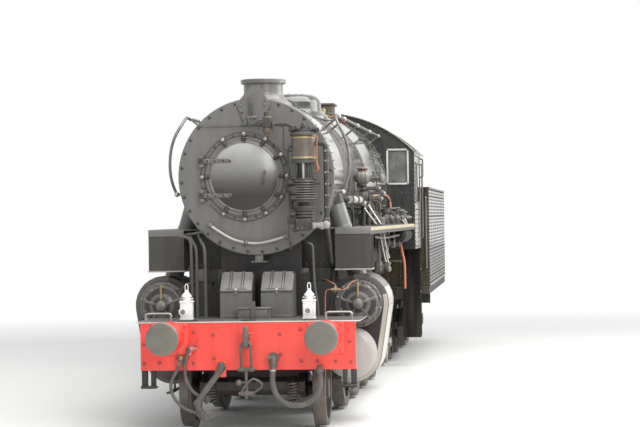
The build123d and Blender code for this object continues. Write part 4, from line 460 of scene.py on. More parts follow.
class Look(Enum):
    """Every finish of the engine."""

    SMOKEBOX = Paint("smokebox_grey_paint", "smokebox_grey", tint(114, 112, 109), 0.36, dusty=0.2, coat=0.35,
                     wear=0.35)
    SHELL = Paint("smokebox_shell_paint", "smokebox_grey", tint(110, 108, 104), 0.16, dusty=0.2, coat=1.0, wear=0.3)
    # A dark copy of the smokebox grey: painted shade on the door's dogs, bolts and rings and on the toolbox lids' slot,
    # straps and lower edge; on the plate's seams it is a dark joint.
    LUG = Paint("lug_painted_shade", "smokebox_grey", tint(60, 58, 56), 0.4, dusty=0.2, wear=1.0)
    STRAP = Paint("door_strap_paint", "smokebox_grey", tint(110, 108, 105), 0.4, dusty=0.2, wear=1.0)
    # The dish runs from dark brown low down to pale grey at the top: painted shade below, a painted sky highlight
    # above.
    DISH = Paint("door_dish_painted_light", "smokebox_grey", tint(38, 31, 26), 0.3, dust=tint(84, 72, 60), dusty=0.2,
                 streaks=0.2, coat=0.3, wear=0.5, uneven=0.0006, top=tint(204, 203, 201), rise=(2.62, 3.36))
    FRAME = Paint("frame_black_paint", "frame_black", tint(38, 36, 34), 0.5, dusty=0.25, low=0.16)
    DECK = Paint("deck_grey_paint", "frame_black", tint(104, 102, 99), 0.45, dusty=0.3)
    BOX = Paint("box_grey_paint", "frame_black", tint(78, 76, 74), 0.4, dusty=0.25, gloss=0.2)
    BOARDEND = Paint("board_end_paint", "frame_black", tint(122, 120, 116), 0.4, dusty=0.3, wear=0.9)
    DECKEDGE = Paint("deck_pale_edge", "frame_black", tint(236, 228, 220), 0.4, dusty=0.2, wear=0.9)
    TOOLBOX = Paint("toolbox_grey_paint", "frame_black", tint(116, 114, 111), 0.42, dusty=0.25, wear=0.9)
    RED = Paint("beam_red_paint", "beam_red", tint(255, 78, 66), 0.34, dust=tint(205, 120, 105), dusty=0.12, low=0.05,
                streaks=0.12, coat=0.3, wear=0.25)
    BOILER = Paint("boiler_black_paint", "boiler_paint", tint(46, 48, 40), 0.12, dust=tint(122, 120, 98), dusty=0.3,
                   streaks=0.3, coat=1.0, wear=0.3)
    TANK = Paint("air_tank_paint", "cylinder_black", tint(36, 38, 34), 0.6, dusty=0.2, gloss=0.15)
    CYLINDER = Paint("cylinder_black_paint", "cylinder_black", tint(66, 63, 60), 0.36, dusty=0.3, low=0.2, coat=0.2)
    # A lighter copy of the toolbox grey: painted light on the lids' sloping tops.
    LID = Paint("lid_painted_light_grey", "frame_black", tint(152, 149, 145), 0.42, dusty=0.25, wear=0.9)
    EDGE = Paint("deck_edge_worn_paint", "frame_black", tint(176, 168, 160), 0.45, dusty=0.2, wear=0.9)
    # A darker copy of the cylinder paint: painted shade for the saddle's recess between the cylinders, also used on the
    # hanging steps, the boards' lower edge strip and the wing plates.
    SADDLE = Paint("saddle_painted_shade_black", "cylinder_black", tint(44, 41, 39), 0.4, dusty=0.25)
    CHEST = Paint("chest_cover_paint", "cylinder_black", tint(98, 93, 90), 0.36, dusty=0.35, coat=0.2, wear=1.0)
    COVER = Paint("silver_cover_paint", "cylinder_black", tint(190, 185, 179), 0.35, dust=tint(140, 132, 122),
                  dusty=0.3, coat=0.3, wear=0.1)
    STEAM = Paint("steam_pipe_grey_paint", "cylinder_black", tint(120, 120, 115), 0.4, dusty=0.3, streaks=0.5,
                  coat=0.3)
    CAB = Paint("cab_black_paint", "cab_paint", tint(29, 32, 31), 0.3, dusty=0.14, coat=0.3)
    # The cab sides' yellowish brown is a painted reflection on the black cab paint; its yellow dust is partly real dust
    # and partly that painted reflection.
    CABSIDE = Paint("cab_side_painted_reflection", "cab_paint", tint(66, 58, 44), 0.2, dust=tint(150, 128, 84), dusty=0.5, coat=0.7)
    ROOF = Paint("roof_soot_paint", "roof_black", tint(88, 92, 76), 0.3, dusty=0.3, streaks=0.5, coat=0.8)
    TENDER = Paint("tender_black_paint", "tender_paint", tint(44, 40, 30), 0.2, dust=tint(140, 124, 88), dusty=0.35,
                   low=0.1, coat=0.55)
    # A darker copy of the tender paint: painted shade on the side rivets' heads.
    RIVET = Paint("tender_rivet_painted_shade", "tender_paint", tint(24, 22, 18), 0.5, dusty=0.2, coat=0.1)
    RAIL = Paint("handrail_paint", "rail_steel", tint(88, 86, 82), 0.4, wear=0.9, low=0.35)
    HANDRAIL = Metal("worn_handrail_steel", "rail_steel", tint(128, 126, 121), 0.34, grimy=0.45, shine=0.6)
    LAGGING = Paint("lagged_pipe_paint", "copper_pipe", tint(52, 49, 46), 0.6, dusty=0.4, uneven=0.004)
    JACKETED = Metal("pump_jacket_steel", "pump_iron", tint(112, 102, 94), 0.34, grimy=0.5, shine=0.5)
    GOVERNOR = Metal("governor_brown_brass", "brass_fitting", tint(98, 84, 68), 0.45, grimy=0.8, shine=0.25)
    RUSTY = Metal("rusty_pipe_iron", "copper_pipe", tint(84, 66, 56), 0.6, grimy=0.5, shine=0.2)
    TORN = Paint("torn_silver_lagging", "lamp_white", tint(176, 172, 165), 0.5, dust=tint(96, 92, 86), dusty=1.2,
                 uneven=0.012)
    VESSEL = Paint("feed_vessel_paint", "copper_pipe", tint(122, 117, 112), 0.34, dusty=0.5, coat=0.4, wear=1.0)
    PALEPIPE = Paint("pale_lagged_pipe", "copper_pipe", tint(178, 175, 169), 0.5, dusty=0.3, uneven=0.004)
    OCHRE = Paint("ochre_pipe_paint", "copper_pipe", tint(168, 142, 98), 0.45, dust=tint(128, 88, 58), dusty=0.5)
    ORANGE = Paint("orange_pipe_paint", "copper_pipe", tint(196, 112, 78), 0.45, dust=tint(130, 78, 56), dusty=0.4)
    RUSTROSE = Paint("rusty_collar_paint", "copper_pipe", tint(156, 112, 98), 0.5, dust=tint(110, 84, 74), dusty=0.8)
    VENT = Paint("vent_rust_paint", "roof_black", tint(84, 76, 62), 0.5, dust=tint(58, 46, 36), dusty=0.8)
    WORNEDGE = Paint("worn_cream_edge", "frame_black", tint(178, 170, 124), 0.36, dust=tint(196, 118, 72), dusty=0.9,
                     coat=0.2, wear=0.6)
    ROSE = Paint("faded_red_cock", "brass_fitting", tint(224, 120, 118), 0.4, dust=tint(150, 110, 100), dusty=0.5,
                 wear=0.5)
    WHITE = Paint("lamp_white_paint", "lamp_white", tint(246, 246, 243), 0.3, dust=tint(190, 186, 176), dusty=0.1,
                  streaks=0.1, coat=0.3, wear=0.05)
    PALE = Paint("pale_window_paint", "cab_paint", tint(196, 196, 190), 0.45, dust=tint(150, 146, 138), wear=0.1,
                 low=0.35)
    WHEEL = Paint("wheel_black_paint", "wheel_steel", tint(56, 51, 47), 0.5, dusty=0.35, low=0.18, wear=0.7)
    WORN = Metal("buffer_worn_steel", "worn_steel", tint(124, 121, 113), 0.42, grimy=0.35, shine=0.45)
    PUMP = Metal("pump_oily_iron", "pump_iron", tint(76, 74, 71), 0.44, grime=tint(30, 28, 26), grimy=0.8, shine=0.4,
                 cast=0.0008)
    HOOK = Metal("hook_worn_iron", "worn_steel", tint(104, 99, 94), 0.42, grimy=0.5, shine=0.5)
    FITTING = Metal("hose_fitting_iron", "worn_steel", tint(100, 96, 92), 0.5, grimy=0.5, shine=0.4, cast=0.0007)
    BRIGHTRAIL = Metal("grab_rail_steel", "rail_steel", tint(188, 180, 172), 0.36, grimy=0.3, shine=0.5)
    REDBOLT = Paint("shaded_red_bolts", "beam_red", tint(196, 62, 54), 0.45, dust=tint(120, 60, 50), dusty=0.4)
    UNDER = Paint("underside_black_paint", "frame_black", tint(30, 28, 27), 0.7, dusty=0.1, low=0.12, gloss=0.08)
    PIPE = Paint("deck_pipe_paint", "rail_steel", tint(80, 78, 76), 0.42, dusty=0.3)
    SOFTSTEEL = Metal("soft_worn_steel", "rail_steel", tint(132, 128, 122), 0.38, grimy=0.5, shine=0.5)
    STEEL = Metal("bright_steel", "rod_steel", tint(196, 194, 188), 0.28, grimy=0.3)
    ROD = Metal("oiled_rod_steel", "rod_steel", tint(150, 146, 138), 0.32, grimy=0.5, shine=0.8)
    # Pale paint in place of the polished steel jacket: its light colour is a painted sky reflection.
    JACKET = Paint("jacket_painted_reflection", "rod_steel", tint(196, 188, 176), 0.34, dusty=0.3, coat=0.3, wear=0.2)
    DULL = Paint("dull_cleading_paint", "boiler_paint", tint(82, 78, 73), 0.5, dusty=0.35, streaks=0.35, gloss=0.25)
    BRASS = Metal("dulled_brass", "brass_fitting", tint(180, 160, 116), 0.4, grimy=0.5, shine=0.7)
    COPPER = Metal("copper_pipe_metal", "copper_pipe", tint(178, 112, 82), 0.42, grimy=0.5, shine=0.6)
    TREAD = Metal("rolled_tread_steel", "wheel_steel", tint(112, 104, 98), 0.34, grimy=0.5, shine=0.6)
    RUBBER = Rubber("hose_rubber_skin", "hose_rubber", tint(88, 86, 82), 0.62)
    PANE = Glass("window_pane_glass", "window_glass", tint(66, 70, 66), 0.1, clear=0.15)
    LENS = Glass("lamp_lens_glass", "window_glass", tint(120, 122, 120), 0.08, clear=0.15)

    @property
    def material(self) -> bpy.types.Material:
        """The finish's material."""
        return self.value.material()


# Meshes


class Form:
    """One piece's mesh, gathered from turned, flat and drawn shapes."""

    def __init__(self, name: str) -> None:
        """Start an empty piece.

        Args:
            name: The piece's name.
        """
        self.name = name
        self.mesh = bmesh.new()
        self.looks: list[Look] = []

    def _dress(self, faces: Iterable[bmesh.types.BMFace], look: Look) -> None:
        """Give new faces their finish."""
        if look not in self.looks:
            self.looks.append(look)
        index = self.looks.index(look)
        for face in faces:
            face.material_index = index
            face.smooth = True

    def turned(self, centre: Place, axis: Vector, profile: Sequence[Span], look: Look, steps: int = 32,
               closed: bool = False) -> "Form":
        """Add a form turned about an axis.

        Args:
            centre: The place that the profile starts from.
            axis: The direction of the axis.
            profile: Pairs of a distance along the axis and a radius.
            look: The finish.
            steps: The number of sides.
            closed: Whether the profile joins up with itself, as a ring's does.

        Returns:
            The form itself.
        """
        origin = spot(centre)
        way = axis.normalized()
        side = way.orthogonal().normalized()
        up = way.cross(side)
        rings = []
        for along, radius in profile:
            if radius < POINT:
                rings.append([self.mesh.verts.new(origin + way * along)])
                continue
            rings.append([
                self.mesh.verts.new(origin + way * along + (side * math.cos(turn) + up * math.sin(turn)) * radius)
                for turn in (2 * math.pi * index / steps for index in range(steps))])
        faces = []
        pairs = list(zip(rings, rings[1:]))
        if closed:
            pairs.append((rings[-1], rings[0]))
        for first, second in pairs:
            for index in range(steps):
                after = (index + 1) % steps
                if len(first) == 1 and len(second) == 1:
                    continue
                if len(first) == 1:
                    corners = (first[0], second[index], second[after])
                elif len(second) == 1:
                    corners = (first[index], first[after], second[0])
                else:
                    corners = (first[index], first[after], second[after], second[index])
                faces.append(self.mesh.faces.new(corners))
        if not closed:
            for ring in (rings[0], rings[-1]):
                if len(ring) > 1:
                    faces.append(self.mesh.faces.new(ring))
        self._dress(faces, look)
        return self

    def bar(self, start: Place, end: Place, radius: float, look: Look, steps: int = 14) -> "Form":
        """Add a round bar between two places, its ends slightly rounded."""
        way = spot(end) - spot(start)
        round_off = min(radius * 0.25, way.length * 0.2)
        profile = [(0, radius - round_off), (round_off, radius), (way.length - round_off, radius),
                   (way.length, radius - round_off)]
        return self.turned(start, way, profile, look, steps)

    def ball(self, centre: Place, radius: float, look: Look, steps: int = 14) -> "Form":
        """Add a ball."""
        rows = 8
        profile = [(-radius * math.cos(math.pi * row / rows), radius * math.sin(math.pi * row / rows))
                   for row in range(rows + 1)]
        return self.turned(centre, UP, profile, look, steps)

    def ring(self, centre: Place, axis: Vector, radius: float, thick: float, look: Look, steps: int = 40) -> "Form":
        """Add a round ring of round section."""
        profile = [(thick * math.sin(turn), radius + thick * math.cos(turn)) for turn in (2 * math.pi * index / 8
                for index in range(8))]
        return self.turned(centre, axis, profile, look, steps, closed=True)

    def plate(self, corners: Sequence[Vector], depth: Vector, look: Look, edge: float = 0.0) -> "Form":
        """Add a flat plate.

        Args:
            corners: Its outline, in the row frame.
            depth: Its thickness, as a vector.
            look: The finish.
            edge: The width of its bevelled edges.

        Returns:
            The form itself.
        """
        near = [self.mesh.verts.new(corner) for corner in corners]
        far = [self.mesh.verts.new(corner + depth) for corner in corners]
        count = len(corners)
        faces = [self.mesh.faces.new(near), self.mesh.faces.new(list(reversed(far)))]
        for index in range(count):
            after = (index + 1) % count
            faces.append(self.mesh.faces.new((near[index], far[index], far[after], near[after])))
        self._dress(faces, look)
        if edge > 0:
            rim = list({line for face in faces for line in face.edges})
            made = bmesh.ops.bevel(self.mesh, geom=rim, offset=edge, segments=2, affect="EDGES", profile=0.5)
            self._dress(made["faces"], look)
        return self

    def slab(self, s: Span, y: Span, z: Span, look: Look, edge: float = 0.002) -> "Form":
        """Add a block between two places along, two across and two heights."""
        corners = [spot((s[0], y[0], z[0])), spot((s[1], y[0], z[0])), spot((s[1], y[1], z[0])),
                   spot((s[0], y[1], z[0]))]
        return self.plate(corners, Vector((0, 0, z[1] - z[0])), look, edge)

    def side(self, outline: Sequence[Span], y: Span, look: Look, edge: float = 0.002) -> "Form":
        """Add a plate seen from the side, its outline as (s, z)."""
        return self.plate([spot((s, y[0], z)) for s, z in outline], Vector((0, y[1] - y[0], 0)), look, edge)

    def front(self, outline: Sequence[Span], s: Span, look: Look, edge: float = 0.002) -> "Form":
        """Add a plate seen from the front, its outline as (y, z)."""
        return self.plate([spot((s[0], y, z)) for y, z in outline], Vector((s[0] - s[1], 0, 0)), look, edge)

    def bolts(self, places: Iterable[Place], axis: Vector, radius: float, look: Look, tall: float = 0.7) -> "Form":
        """Add hexagon bolt heads with washers, standing on the surface at each place."""
        high = radius * tall
        profile = [(-0.003, radius * 1.25), (0.002, radius * 1.25), (0.002, radius), (high * 0.8, radius),
                   (high, radius * 0.72), (high, 0)]
        for place in places:
            self.turned(place, axis, profile, look, 6)
        return self

    def rivets(self, places: Iterable[Place], axis: Vector, radius: float, look: Look, steps: int = 8) -> "Form":
        """Add round rivet heads, standing on the surface at each place."""
        profile = [(-0.002, radius), (radius * 0.35, radius * 0.86), (radius * 0.62, radius * 0.45),
                   (radius * 0.7, 0)]
        for place in places:
            self.turned(place, axis, profile, look, steps)
        return self

    def studs(self, pairs: Iterable[tuple[Place, Vector]], radius: float, look: Look) -> "Form":
        """Add round rivet heads, each with its own way out."""
        for place, out in pairs:
            self.rivets([place], out, radius, look)
        return self

    def band(self, places: Sequence[Place], widths: Sequence[float], across: Vector, thick: float,
             look: Look) -> "Form":
        """Add a flat bar that follows a line.

        Args:
            places: The line's places.
            widths: The bar's width at each place.
            across: The direction of its width.
            thick: Its thickness.
            look: The finish.

        Returns:
            The form itself.
        """
        spots = [spot(place) for place in places]
        side = across.normalized()
        rings = []
        for index, (here, width) in enumerate(zip(spots, widths)):
            ahead = spots[min(index + 1, len(spots) - 1)] - spots[max(index - 1, 0)]
            out = ahead.cross(side).normalized() * thick / 2
            half = side * width / 2
            rings.append([self.mesh.verts.new(here + corner) for corner in (
                half * 0.86 + out, half + out * 0.6, half - out, -half - out, -half + out * 0.6, -half * 0.86 + out)])
        faces = [self.mesh.faces.new((a[k], a[(k + 1) % 6], b[(k + 1) % 6], b[k])) for a, b in zip(rings, rings[1:])
                 for k in range(6)]
        faces += [self.mesh.faces.new(rings[0]), self.mesh.faces.new(rings[-1])]
        self._dress(faces, look)
        return self

    def skin(self, outline: Sequence[Span], s: Span, thick: float, look: Look) -> "Form":
        """Add a bent sheet that runs along the engine.

        Args:
            outline: The line of its outer face, as (y, z).
            s: The places along where it starts and ends.
            thick: Its thickness, negative to turn it to the line's other side.
            look: The finish.

        Returns:
            The form itself.
        """
        inner = []
        for index, (y, z) in enumerate(outline):
            before, after = outline[max(index - 1, 0)], outline[min(index + 1, len(outline) - 1)]
            ahead = Vector((after[0] - before[0], after[1] - before[1])).normalized()
            inner.append((y - ahead.y * thick, z + ahead.x * thick))
        rows = [[self.mesh.verts.new(spot((place, y, z))) for y, z in line]
                for place, line in ((s[0], outline), (s[1], outline), (s[1], inner), (s[0], inner))]
        faces = [self.mesh.faces.new((a[k], a[k + 1], b[k + 1], b[k])) for a, b in zip(rows, rows[1:] + rows[:1])
                 for k in range(len(outline) - 1)]
        faces += [self.mesh.faces.new([line[end] for line in rows]) for end in (0, -1)]
        self._dress(faces, look)
        return self

    def coil(self, start: Place, end: Place, radius: float, wire: float, turns: float, look: Look,
             steps: int = 14) -> "Form":
        """Add a coil spring or a screw thread between two places, with some steps in each turn."""
        first, last = spot(start), spot(end)
        way = (last - first).normalized()
        side = way.orthogonal().normalized()
        up = way.cross(side)
        count = int(turns * steps)
        rings = []
        for index in range(count + 1):
            share = index / count
            turn = 2 * math.pi * turns * share
            out = side * math.cos(turn) + up * math.sin(turn)
            centre = first.lerp(last, share) + out * radius
            rings.append([self.mesh.verts.new(centre + (out * math.cos(a) + way * math.sin(a)) * wire)
                          for a in (2 * math.pi * k / 6 for k in range(6))])
        faces = [self.mesh.faces.new((a[k], a[(k + 1) % 6], b[(k + 1) % 6], b[k])) for a, b in zip(rings, rings[1:])
                 for k in range(6)]
        faces += [self.mesh.faces.new(rings[0]), self.mesh.faces.new(rings[-1])]
        self._dress(faces, look)
        return self

    def place(self, body: Union[Body, str] = Body.ENGINE, replaces: Sequence[str] = (),
              angle: float = 35.0) -> bpy.types.Object:
        """Turn the form into a piece that rides on a body.

        Args:
            body: The body's name.
            replaces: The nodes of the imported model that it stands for.
            angle: The sharpest bend, in degrees, that is still shaded smooth.

        Returns:
            The new object.
        """
        bmesh.ops.recalc_face_normals(self.mesh, faces=self.mesh.faces)
        data = bpy.data.meshes.new(self.name)
        self.mesh.to_mesh(data)
        self.mesh.free()
        data.set_sharp_from_angle(angle=math.radians(angle))
        for look in self.looks:
            data.materials.append(look.material)
        piece = bpy.data.objects.new(self.name, data)
        return settle(piece, body, replaces)


def tube(name: str, radius: float, roundness: int, fineness: int) -> bpy.types.Curve:
    """Return curve data whose lines become capped round tubes."""
    data = bpy.data.curves.new(name, "CURVE")
    data.dimensions = "3D"
    data.bevel_depth = radius
    data.bevel_resolution = roundness
    data.resolution_u = fineness
    data.use_fill_caps = True
    return data


def draw(data: bpy.types.Curve, places: Sequence[Place]) -> bpy.types.Spline:
    """Add a smooth line, or a straight one between two places, and return it."""
    spline = data.splines.new("NURBS")
    spline.points.add(len(places) - 1)
    for point, place in zip(spline.points, places):
        point.co = (*spot(place), 1.0)
    spline.order_u = 3 if len(places) > 2 else 2
    spline.use_endpoint_u = True
    return spline


class Piping:
    """Round pipes, rods and rails of one piece, each drawn as a smooth spline."""

    def __init__(self, name: str) -> None:
        """Start an empty run of pipes.

        Args:
            name: The piece's name.
        """
        self.name = name
        self.data = tube(name, radius=0.01, roundness=3, fineness=6)
        self.looks: list[Look] = []

    def run(self, places: Sequence[Place], radius: float, look: Look) -> "Piping":
        """Add one pipe.

        Args:
            places: The places that its line is drawn by.
            radius: Its radius.
            look: Its finish.

        Returns:
            The piping itself.
        """
        if look not in self.looks:
            self.looks.append(look)
            self.data.materials.append(look.material)
        spline = draw(self.data, places)
        for point in spline.points:
            point.radius = radius / self.data.bevel_depth
        spline.material_index = self.looks.index(look)
        return self

    def place(self, body: Union[Body, str] = Body.ENGINE, replaces: Sequence[str] = ()) -> bpy.types.Object:
        """Turn the pipes into a piece that rides on a body."""
        piece = bpy.data.objects.new(self.name, self.data)
        return settle(piece, body, replaces)


def settle(piece: bpy.types.Object, body: Union[Body, str],
           replaces: Sequence[str] = ()) -> bpy.types.Object:
    """Link a new piece, tell what it rides on and what it stands for, and report it.

    Args:
        piece: The new object.
        body: The body that it rides on.
        replaces: The nodes that it stands for.

    Returns:
        The same object.
    """
    bpy.context.scene.collection.objects.link(piece)
    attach(piece, body.value if isinstance(body, Body) else body)
    if replaces:
        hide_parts(*replaces)
    LOG.info("made %s", piece.name)
    return piece


def span(first: float, last: float) -> Span:
    """Return two numbers in rising order."""
    return (min(first, last), max(first, last))


def compass(degrees: float) -> Span:
    """Return the cosine and the sine of an angle in degrees."""
    turn = math.radians(degrees)
    return (math.cos(turn), math.sin(turn))


def mm(*values: float) -> list[Span]:
    """Return (along, radius) pairs in metres, from a row of millimetres."""
    return [(along / 1000, radius / 1000) for along, radius in zip(values[::2], values[1::2])]


def circle_places(s: float, centre: Span, radius: float, count: int, first: float = 0.0) -> list[Place]:
    """Return places round a circle that faces forward.

    Args:
        s: The place along.
        centre: The centre as (y, z).
        radius: The circle's radius.
        count: How many places there are round it.
        first: The angle of the first one, in degrees.

    Returns:
        The places.
    """
    turns = [math.radians(first + 360 / count * index) for index in range(count)]
    return [(s, centre[0] + radius * math.cos(turn), centre[1] + radius * math.sin(turn)) for turn in turns]


def rim(s: float, centre: Span, radius: float, turns: Iterable[float]) -> list[tuple[Place, Vector]]:
    """Return places round a line along the engine, each with the way out from it.

    Args:
        s: The place along.
        centre: The line's place, as (y, z).
        radius: How far out the places are.
        turns: Their angles from the left side upwards, in degrees.

    Returns:
        Pairs of a place and a direction.
    """
    pairs = []
    for turn in turns:
        out = Vector((0.0, *compass(turn)))
        pairs.append(((s, centre[0] + radius * out.y, centre[1] + radius * out.z), out))
    return pairs


def spread(first: float, last: float, count: int) -> list[float]:
    """Return evenly spaced numbers from first to last."""
    return [first + (last - first) * index / (count - 1) for index in range(count)]


def arc(centre: Span, radius: float, turns: Iterable[float], side: int = 1) -> list[Span]:
    """Return (y, z) places round a line along the engine, mirrored for the right side."""
    return [(side * (centre[0] + radius * across), centre[1] + radius * above)
            for across, above in map(compass, turns)]


def level_circle(centre: Place, radius: float, turns: Iterable[float]) -> list[Place]:
    """Return places round a level circle, at angles in degrees from the front."""
    return [(centre[0] - radius * along, centre[1] + radius * across, centre[2])
            for along, across in map(compass, turns)]


# Camera, light and floor


@dataclass
class CameraRig:
    """The camera, where the photograph was taken from.

    Args:
        place: Its place, as (s, y, z above the rail).
        yaw: How far it is turned from looking straight back, in degrees.
        pitch: How far it looks up, in degrees.
        roll: How far it is tilted, in degrees.
        lens: Its focal length in millimetres.
        sensor: Its sensor's width in millimetres.
        reach: How far it sees, in metres.
    """

    place: Place = (-22.871, 3.116, 2.355)
    yaw: float = -5.5966
    pitch: float = 0.0796
    roll: float = 0.8731
    lens: float = 120.778
    sensor: float = 36.0
    reach: float = 400.0

    def build(self) -> None:
        """Make the camera and use it."""
        yaw, pitch, roll = (math.radians(value) for value in (self.yaw, self.pitch, self.roll))
        ahead = Vector((-math.cos(yaw) * math.cos(pitch), math.sin(yaw) * math.cos(pitch), math.sin(pitch)))
        right = Vector((math.sin(yaw), math.cos(yaw), 0.0))
        up = right.cross(ahead)
        across = right * math.cos(roll) - up * math.sin(roll)
        upright = right * math.sin(roll) + up * math.cos(roll)
        turn = Matrix((across, upright, -ahead)).transposed().to_4x4()
        data = bpy.data.cameras.new("photo_camera")
        data.sensor_width = self.sensor
        data.lens = self.lens
        data.clip_end = self.reach
        camera = bpy.data.objects.new("photo_camera", data)
        bpy.context.scene.collection.objects.link(camera)
        camera.matrix_world = Matrix.Translation(spot(self.place)) @ turn
        bpy.context.scene.camera = camera


@dataclass
class Studio:
    """The pale floor and the soft daylight.

    Args:
        reach: The floor's radius in metres.
        sky: The strength of the light from all round.
        daylight: Its colour.
        clear: How far out the floor starts to fade, in metres.
        fade: How many metres it fades over.
        panels: The lamps, each as its name, place, target, side and power.
        floor: The floor's colour.
    """

    reach: float = 150.0
    sky: float = 0.75
    daylight: Colour = (0.93, 0.96, 1.0)
    clear: float = 11.0
    fade: float = 9.0
    panels: Sequence[tuple] = (
        ("sky_panel", (6.0, 5.0, 13.0), (0.5, 0.0, 2.0), 14.0, 2700.0),
        ("side_panel", (-1.0, 14.0, 7.5), (0.0, 0.0, 2.0), 12.0, 1500.0),
        ("front_panel", (24.0, 9.0, 9.0), (9.0, 0.0, 1.8), 7.0, 1200.0))
    floor: Colour = tint(226, 225, 221)

    def build(self) -> None:
        """Make the world, the lamps and the floor."""
        self._world()
        for panel in self.panels:
            self._lamp(*panel)
        self._floor()
        bpy.context.scene.view_settings.view_transform = "Standard"

    def _world(self) -> None:
        """Light the object from all round, and show white behind it."""
        world = bpy.data.worlds.new("daylight")
        bpy.context.scene.world = world
        world.use_nodes = True
        nodes = Nodes(world)
        path = nodes.node("ShaderNodeLightPath", {}, {})
        glossy, passed, seen = (Flow(nodes, path.socket.node.outputs[f"Is {kind} Ray"])
                                for kind in ("Glossy", "Transmission", "Camera"))
        most = {"operation": "MAXIMUM"}
        sharp = nodes.node("ShaderNodeMath", most, {0: glossy, 1: passed})
        shown = nodes.node("ShaderNodeMath", most, {0: seen, 1: sharp})
        soft = nodes.node("ShaderNodeBackground", {}, {"Color": self.daylight, "Strength": self.sky})
        plain = nodes.node("ShaderNodeBackground", {}, {"Color": (1.0, 1.0, 1.0)})
        mixed = nodes.node("ShaderNodeMixShader", {}, {0: shown, 1: soft, 2: plain})
        nodes.node("ShaderNodeOutputWorld", {}, {"Surface": mixed})

    @staticmethod
    def _lamp(name: str, place: Sequence[float], target: Sequence[float], size: float, power: float) -> None:
        """Add one soft panel that faces a place.

        Args:
            name: The lamp's name.
            place: Where it stands, in the row frame.
            target: Where it points.
            size: The panel's side in metres.
            power: Its power in watts.
        """
        data = bpy.data.lights.new(name, "AREA")
        data.size = size
        data.energy = power
        lamp = bpy.data.objects.new(name, data)
        bpy.context.scene.collection.objects.link(lamp)
        lamp.location = place
        lamp.rotation_euler = (Vector(target) - Vector(place)).to_track_quat("-Z", "Y").to_euler()

    def _floor(self) -> None:
        """Lay a round floor that fades into the white behind it."""
        mesh = bmesh.new()
        bmesh.ops.create_circle(mesh, cap_ends=True, segments=96, radius=self.reach)
        data = bpy.data.meshes.new("studio_floor")
        mesh.to_mesh(data)
        mesh.free()
        material = bpy.data.materials.new("studio_floor_grey")
        material.use_nodes = True
        nodes = Nodes(material)
        where = nodes.place()
        away = nodes.node("ShaderNodeVectorMath", {"operation": "LENGTH"}, {0: where}, "Value")
        fade = ((away - self.clear) / self.fade).clamped()
        grain = nodes.noise(where, 2.0, 3.0)
        colour = nodes.blend((grain - 0.4) * 0.3, self.floor, tint(206, 204, 198))
        matt = nodes.node("ShaderNodeBsdfDiffuse", {}, {"Color": colour})
        white = nodes.node("ShaderNodeEmission", {}, {"Color": (1.0, 1.0, 1.0), "Strength": 1.0})
        camera = nodes.node("ShaderNodeLightPath", {}, {}, "Is Camera Ray")
        mixed = nodes.node("ShaderNodeMixShader", {}, {0: fade * camera, 1: matt, 2: white})
        nodes.node("ShaderNodeOutputMaterial", {}, {"Surface": mixed})
        data.materials.append(material)
        floor = bpy.data.objects.new("studio_floor", data)
        bpy.context.scene.collection.objects.link(floor)


# Hoses


@dataclass
class Hose:
    """One flexible hose on the front beam.

    Args:
        name: The piece's name.
        node: The node that it stands for.
        route: The places that its line is drawn by.
        radius: Its radius.
        length: Its real length; not used.
        end: What is on its far end; not used.
    """

    name: str
    node: str
    route: Sequence[Place]
    radius: float
    length: float
    end: str = "connector"

    def build(self, fittings: Sequence[bpy.types.Object]) -> bpy.types.Object:
        """Args:
            fittings: The metal pieces on it; not used.

        Returns:
            The hose.
        """
        data = tube(self.name, self.radius, roundness=6, fineness=10)
        data.materials.append(Look.RUBBER.material)
        draw(data, self.route)
        piece = settle(bpy.data.objects.new(self.name, data), Body.ENGINE, [self.node])
        tuple(spot(self.route[0]))
        return piece


@dataclass
class HoseSet:
    """The vacuum, steam and air hoses that hang from the front beam.

    Args:
        vacuum: The places that the vacuum hose's line is drawn by.
        steam: The steam hose's.
        air_one: The longer air hose's.
        air_two: The shorter air hose's.
    """

    vacuum: Sequence[Place] = (
        (0.462, 0.292, 0.742), (0.462, 0.28, 0.64), (0.458, 0.279, 0.53), (0.452, 0.312, 0.415),
        (0.446, 0.395, 0.325), (0.44, 0.51, 0.29), (0.44, 0.635, 0.302), (0.446, 0.742, 0.37),
        (0.452, 0.8, 0.475), (0.458, 0.808, 0.575), (0.46, 0.8, 0.655))
    steam: Sequence[Place] = (
        (0.478, -0.296, 0.69), (0.47, -0.345, 0.61), (0.46, -0.42, 0.52), (0.45, -0.487, 0.43),
        (0.444, -0.54, 0.345))
    air_one: Sequence[Place] = (
        (0.478, -0.744, 0.756), (0.47, -0.775, 0.685), (0.462, -0.822, 0.61), (0.456, -0.85, 0.525),
        (0.452, -0.836, 0.435), (0.45, -0.79, 0.352), (0.45, -0.722, 0.285), (0.45, -0.645, 0.243),
        (0.45, -0.57, 0.224))
    air_two: Sequence[Place] = (
        (0.48, -0.652, 0.88), (0.484, -0.68, 0.81), (0.49, -0.694, 0.725), (0.498, -0.694, 0.64),
        (0.506, -0.678, 0.56), (0.516, -0.64, 0.482), (0.526, -0.58, 0.418), (0.534, -0.508, 0.38))

    def build(self, fittings: Sequence[bpy.types.Object]) -> None:
        """Make the four hoses.

        Args:
            fittings: The metal pieces on their ends.
        """
        Hose("vacuum_hose_rubber", "vacuum_hose", self.vacuum, 0.031, 1.116, "object").build(fittings)
        Hose("steam_hose_rubber", "steam_hose", self.steam, 0.033, 0.424, "connector").build(fittings)
        Hose("air_hose_one_rubber", "air_hose_1", self.air_one, 0.018, 0.699, "connector").build(fittings)
        Hose("air_hose_two_rubber", "air_hose_2", self.air_two, 0.018, 0.584, "connector").build(fittings)


# Smokebox


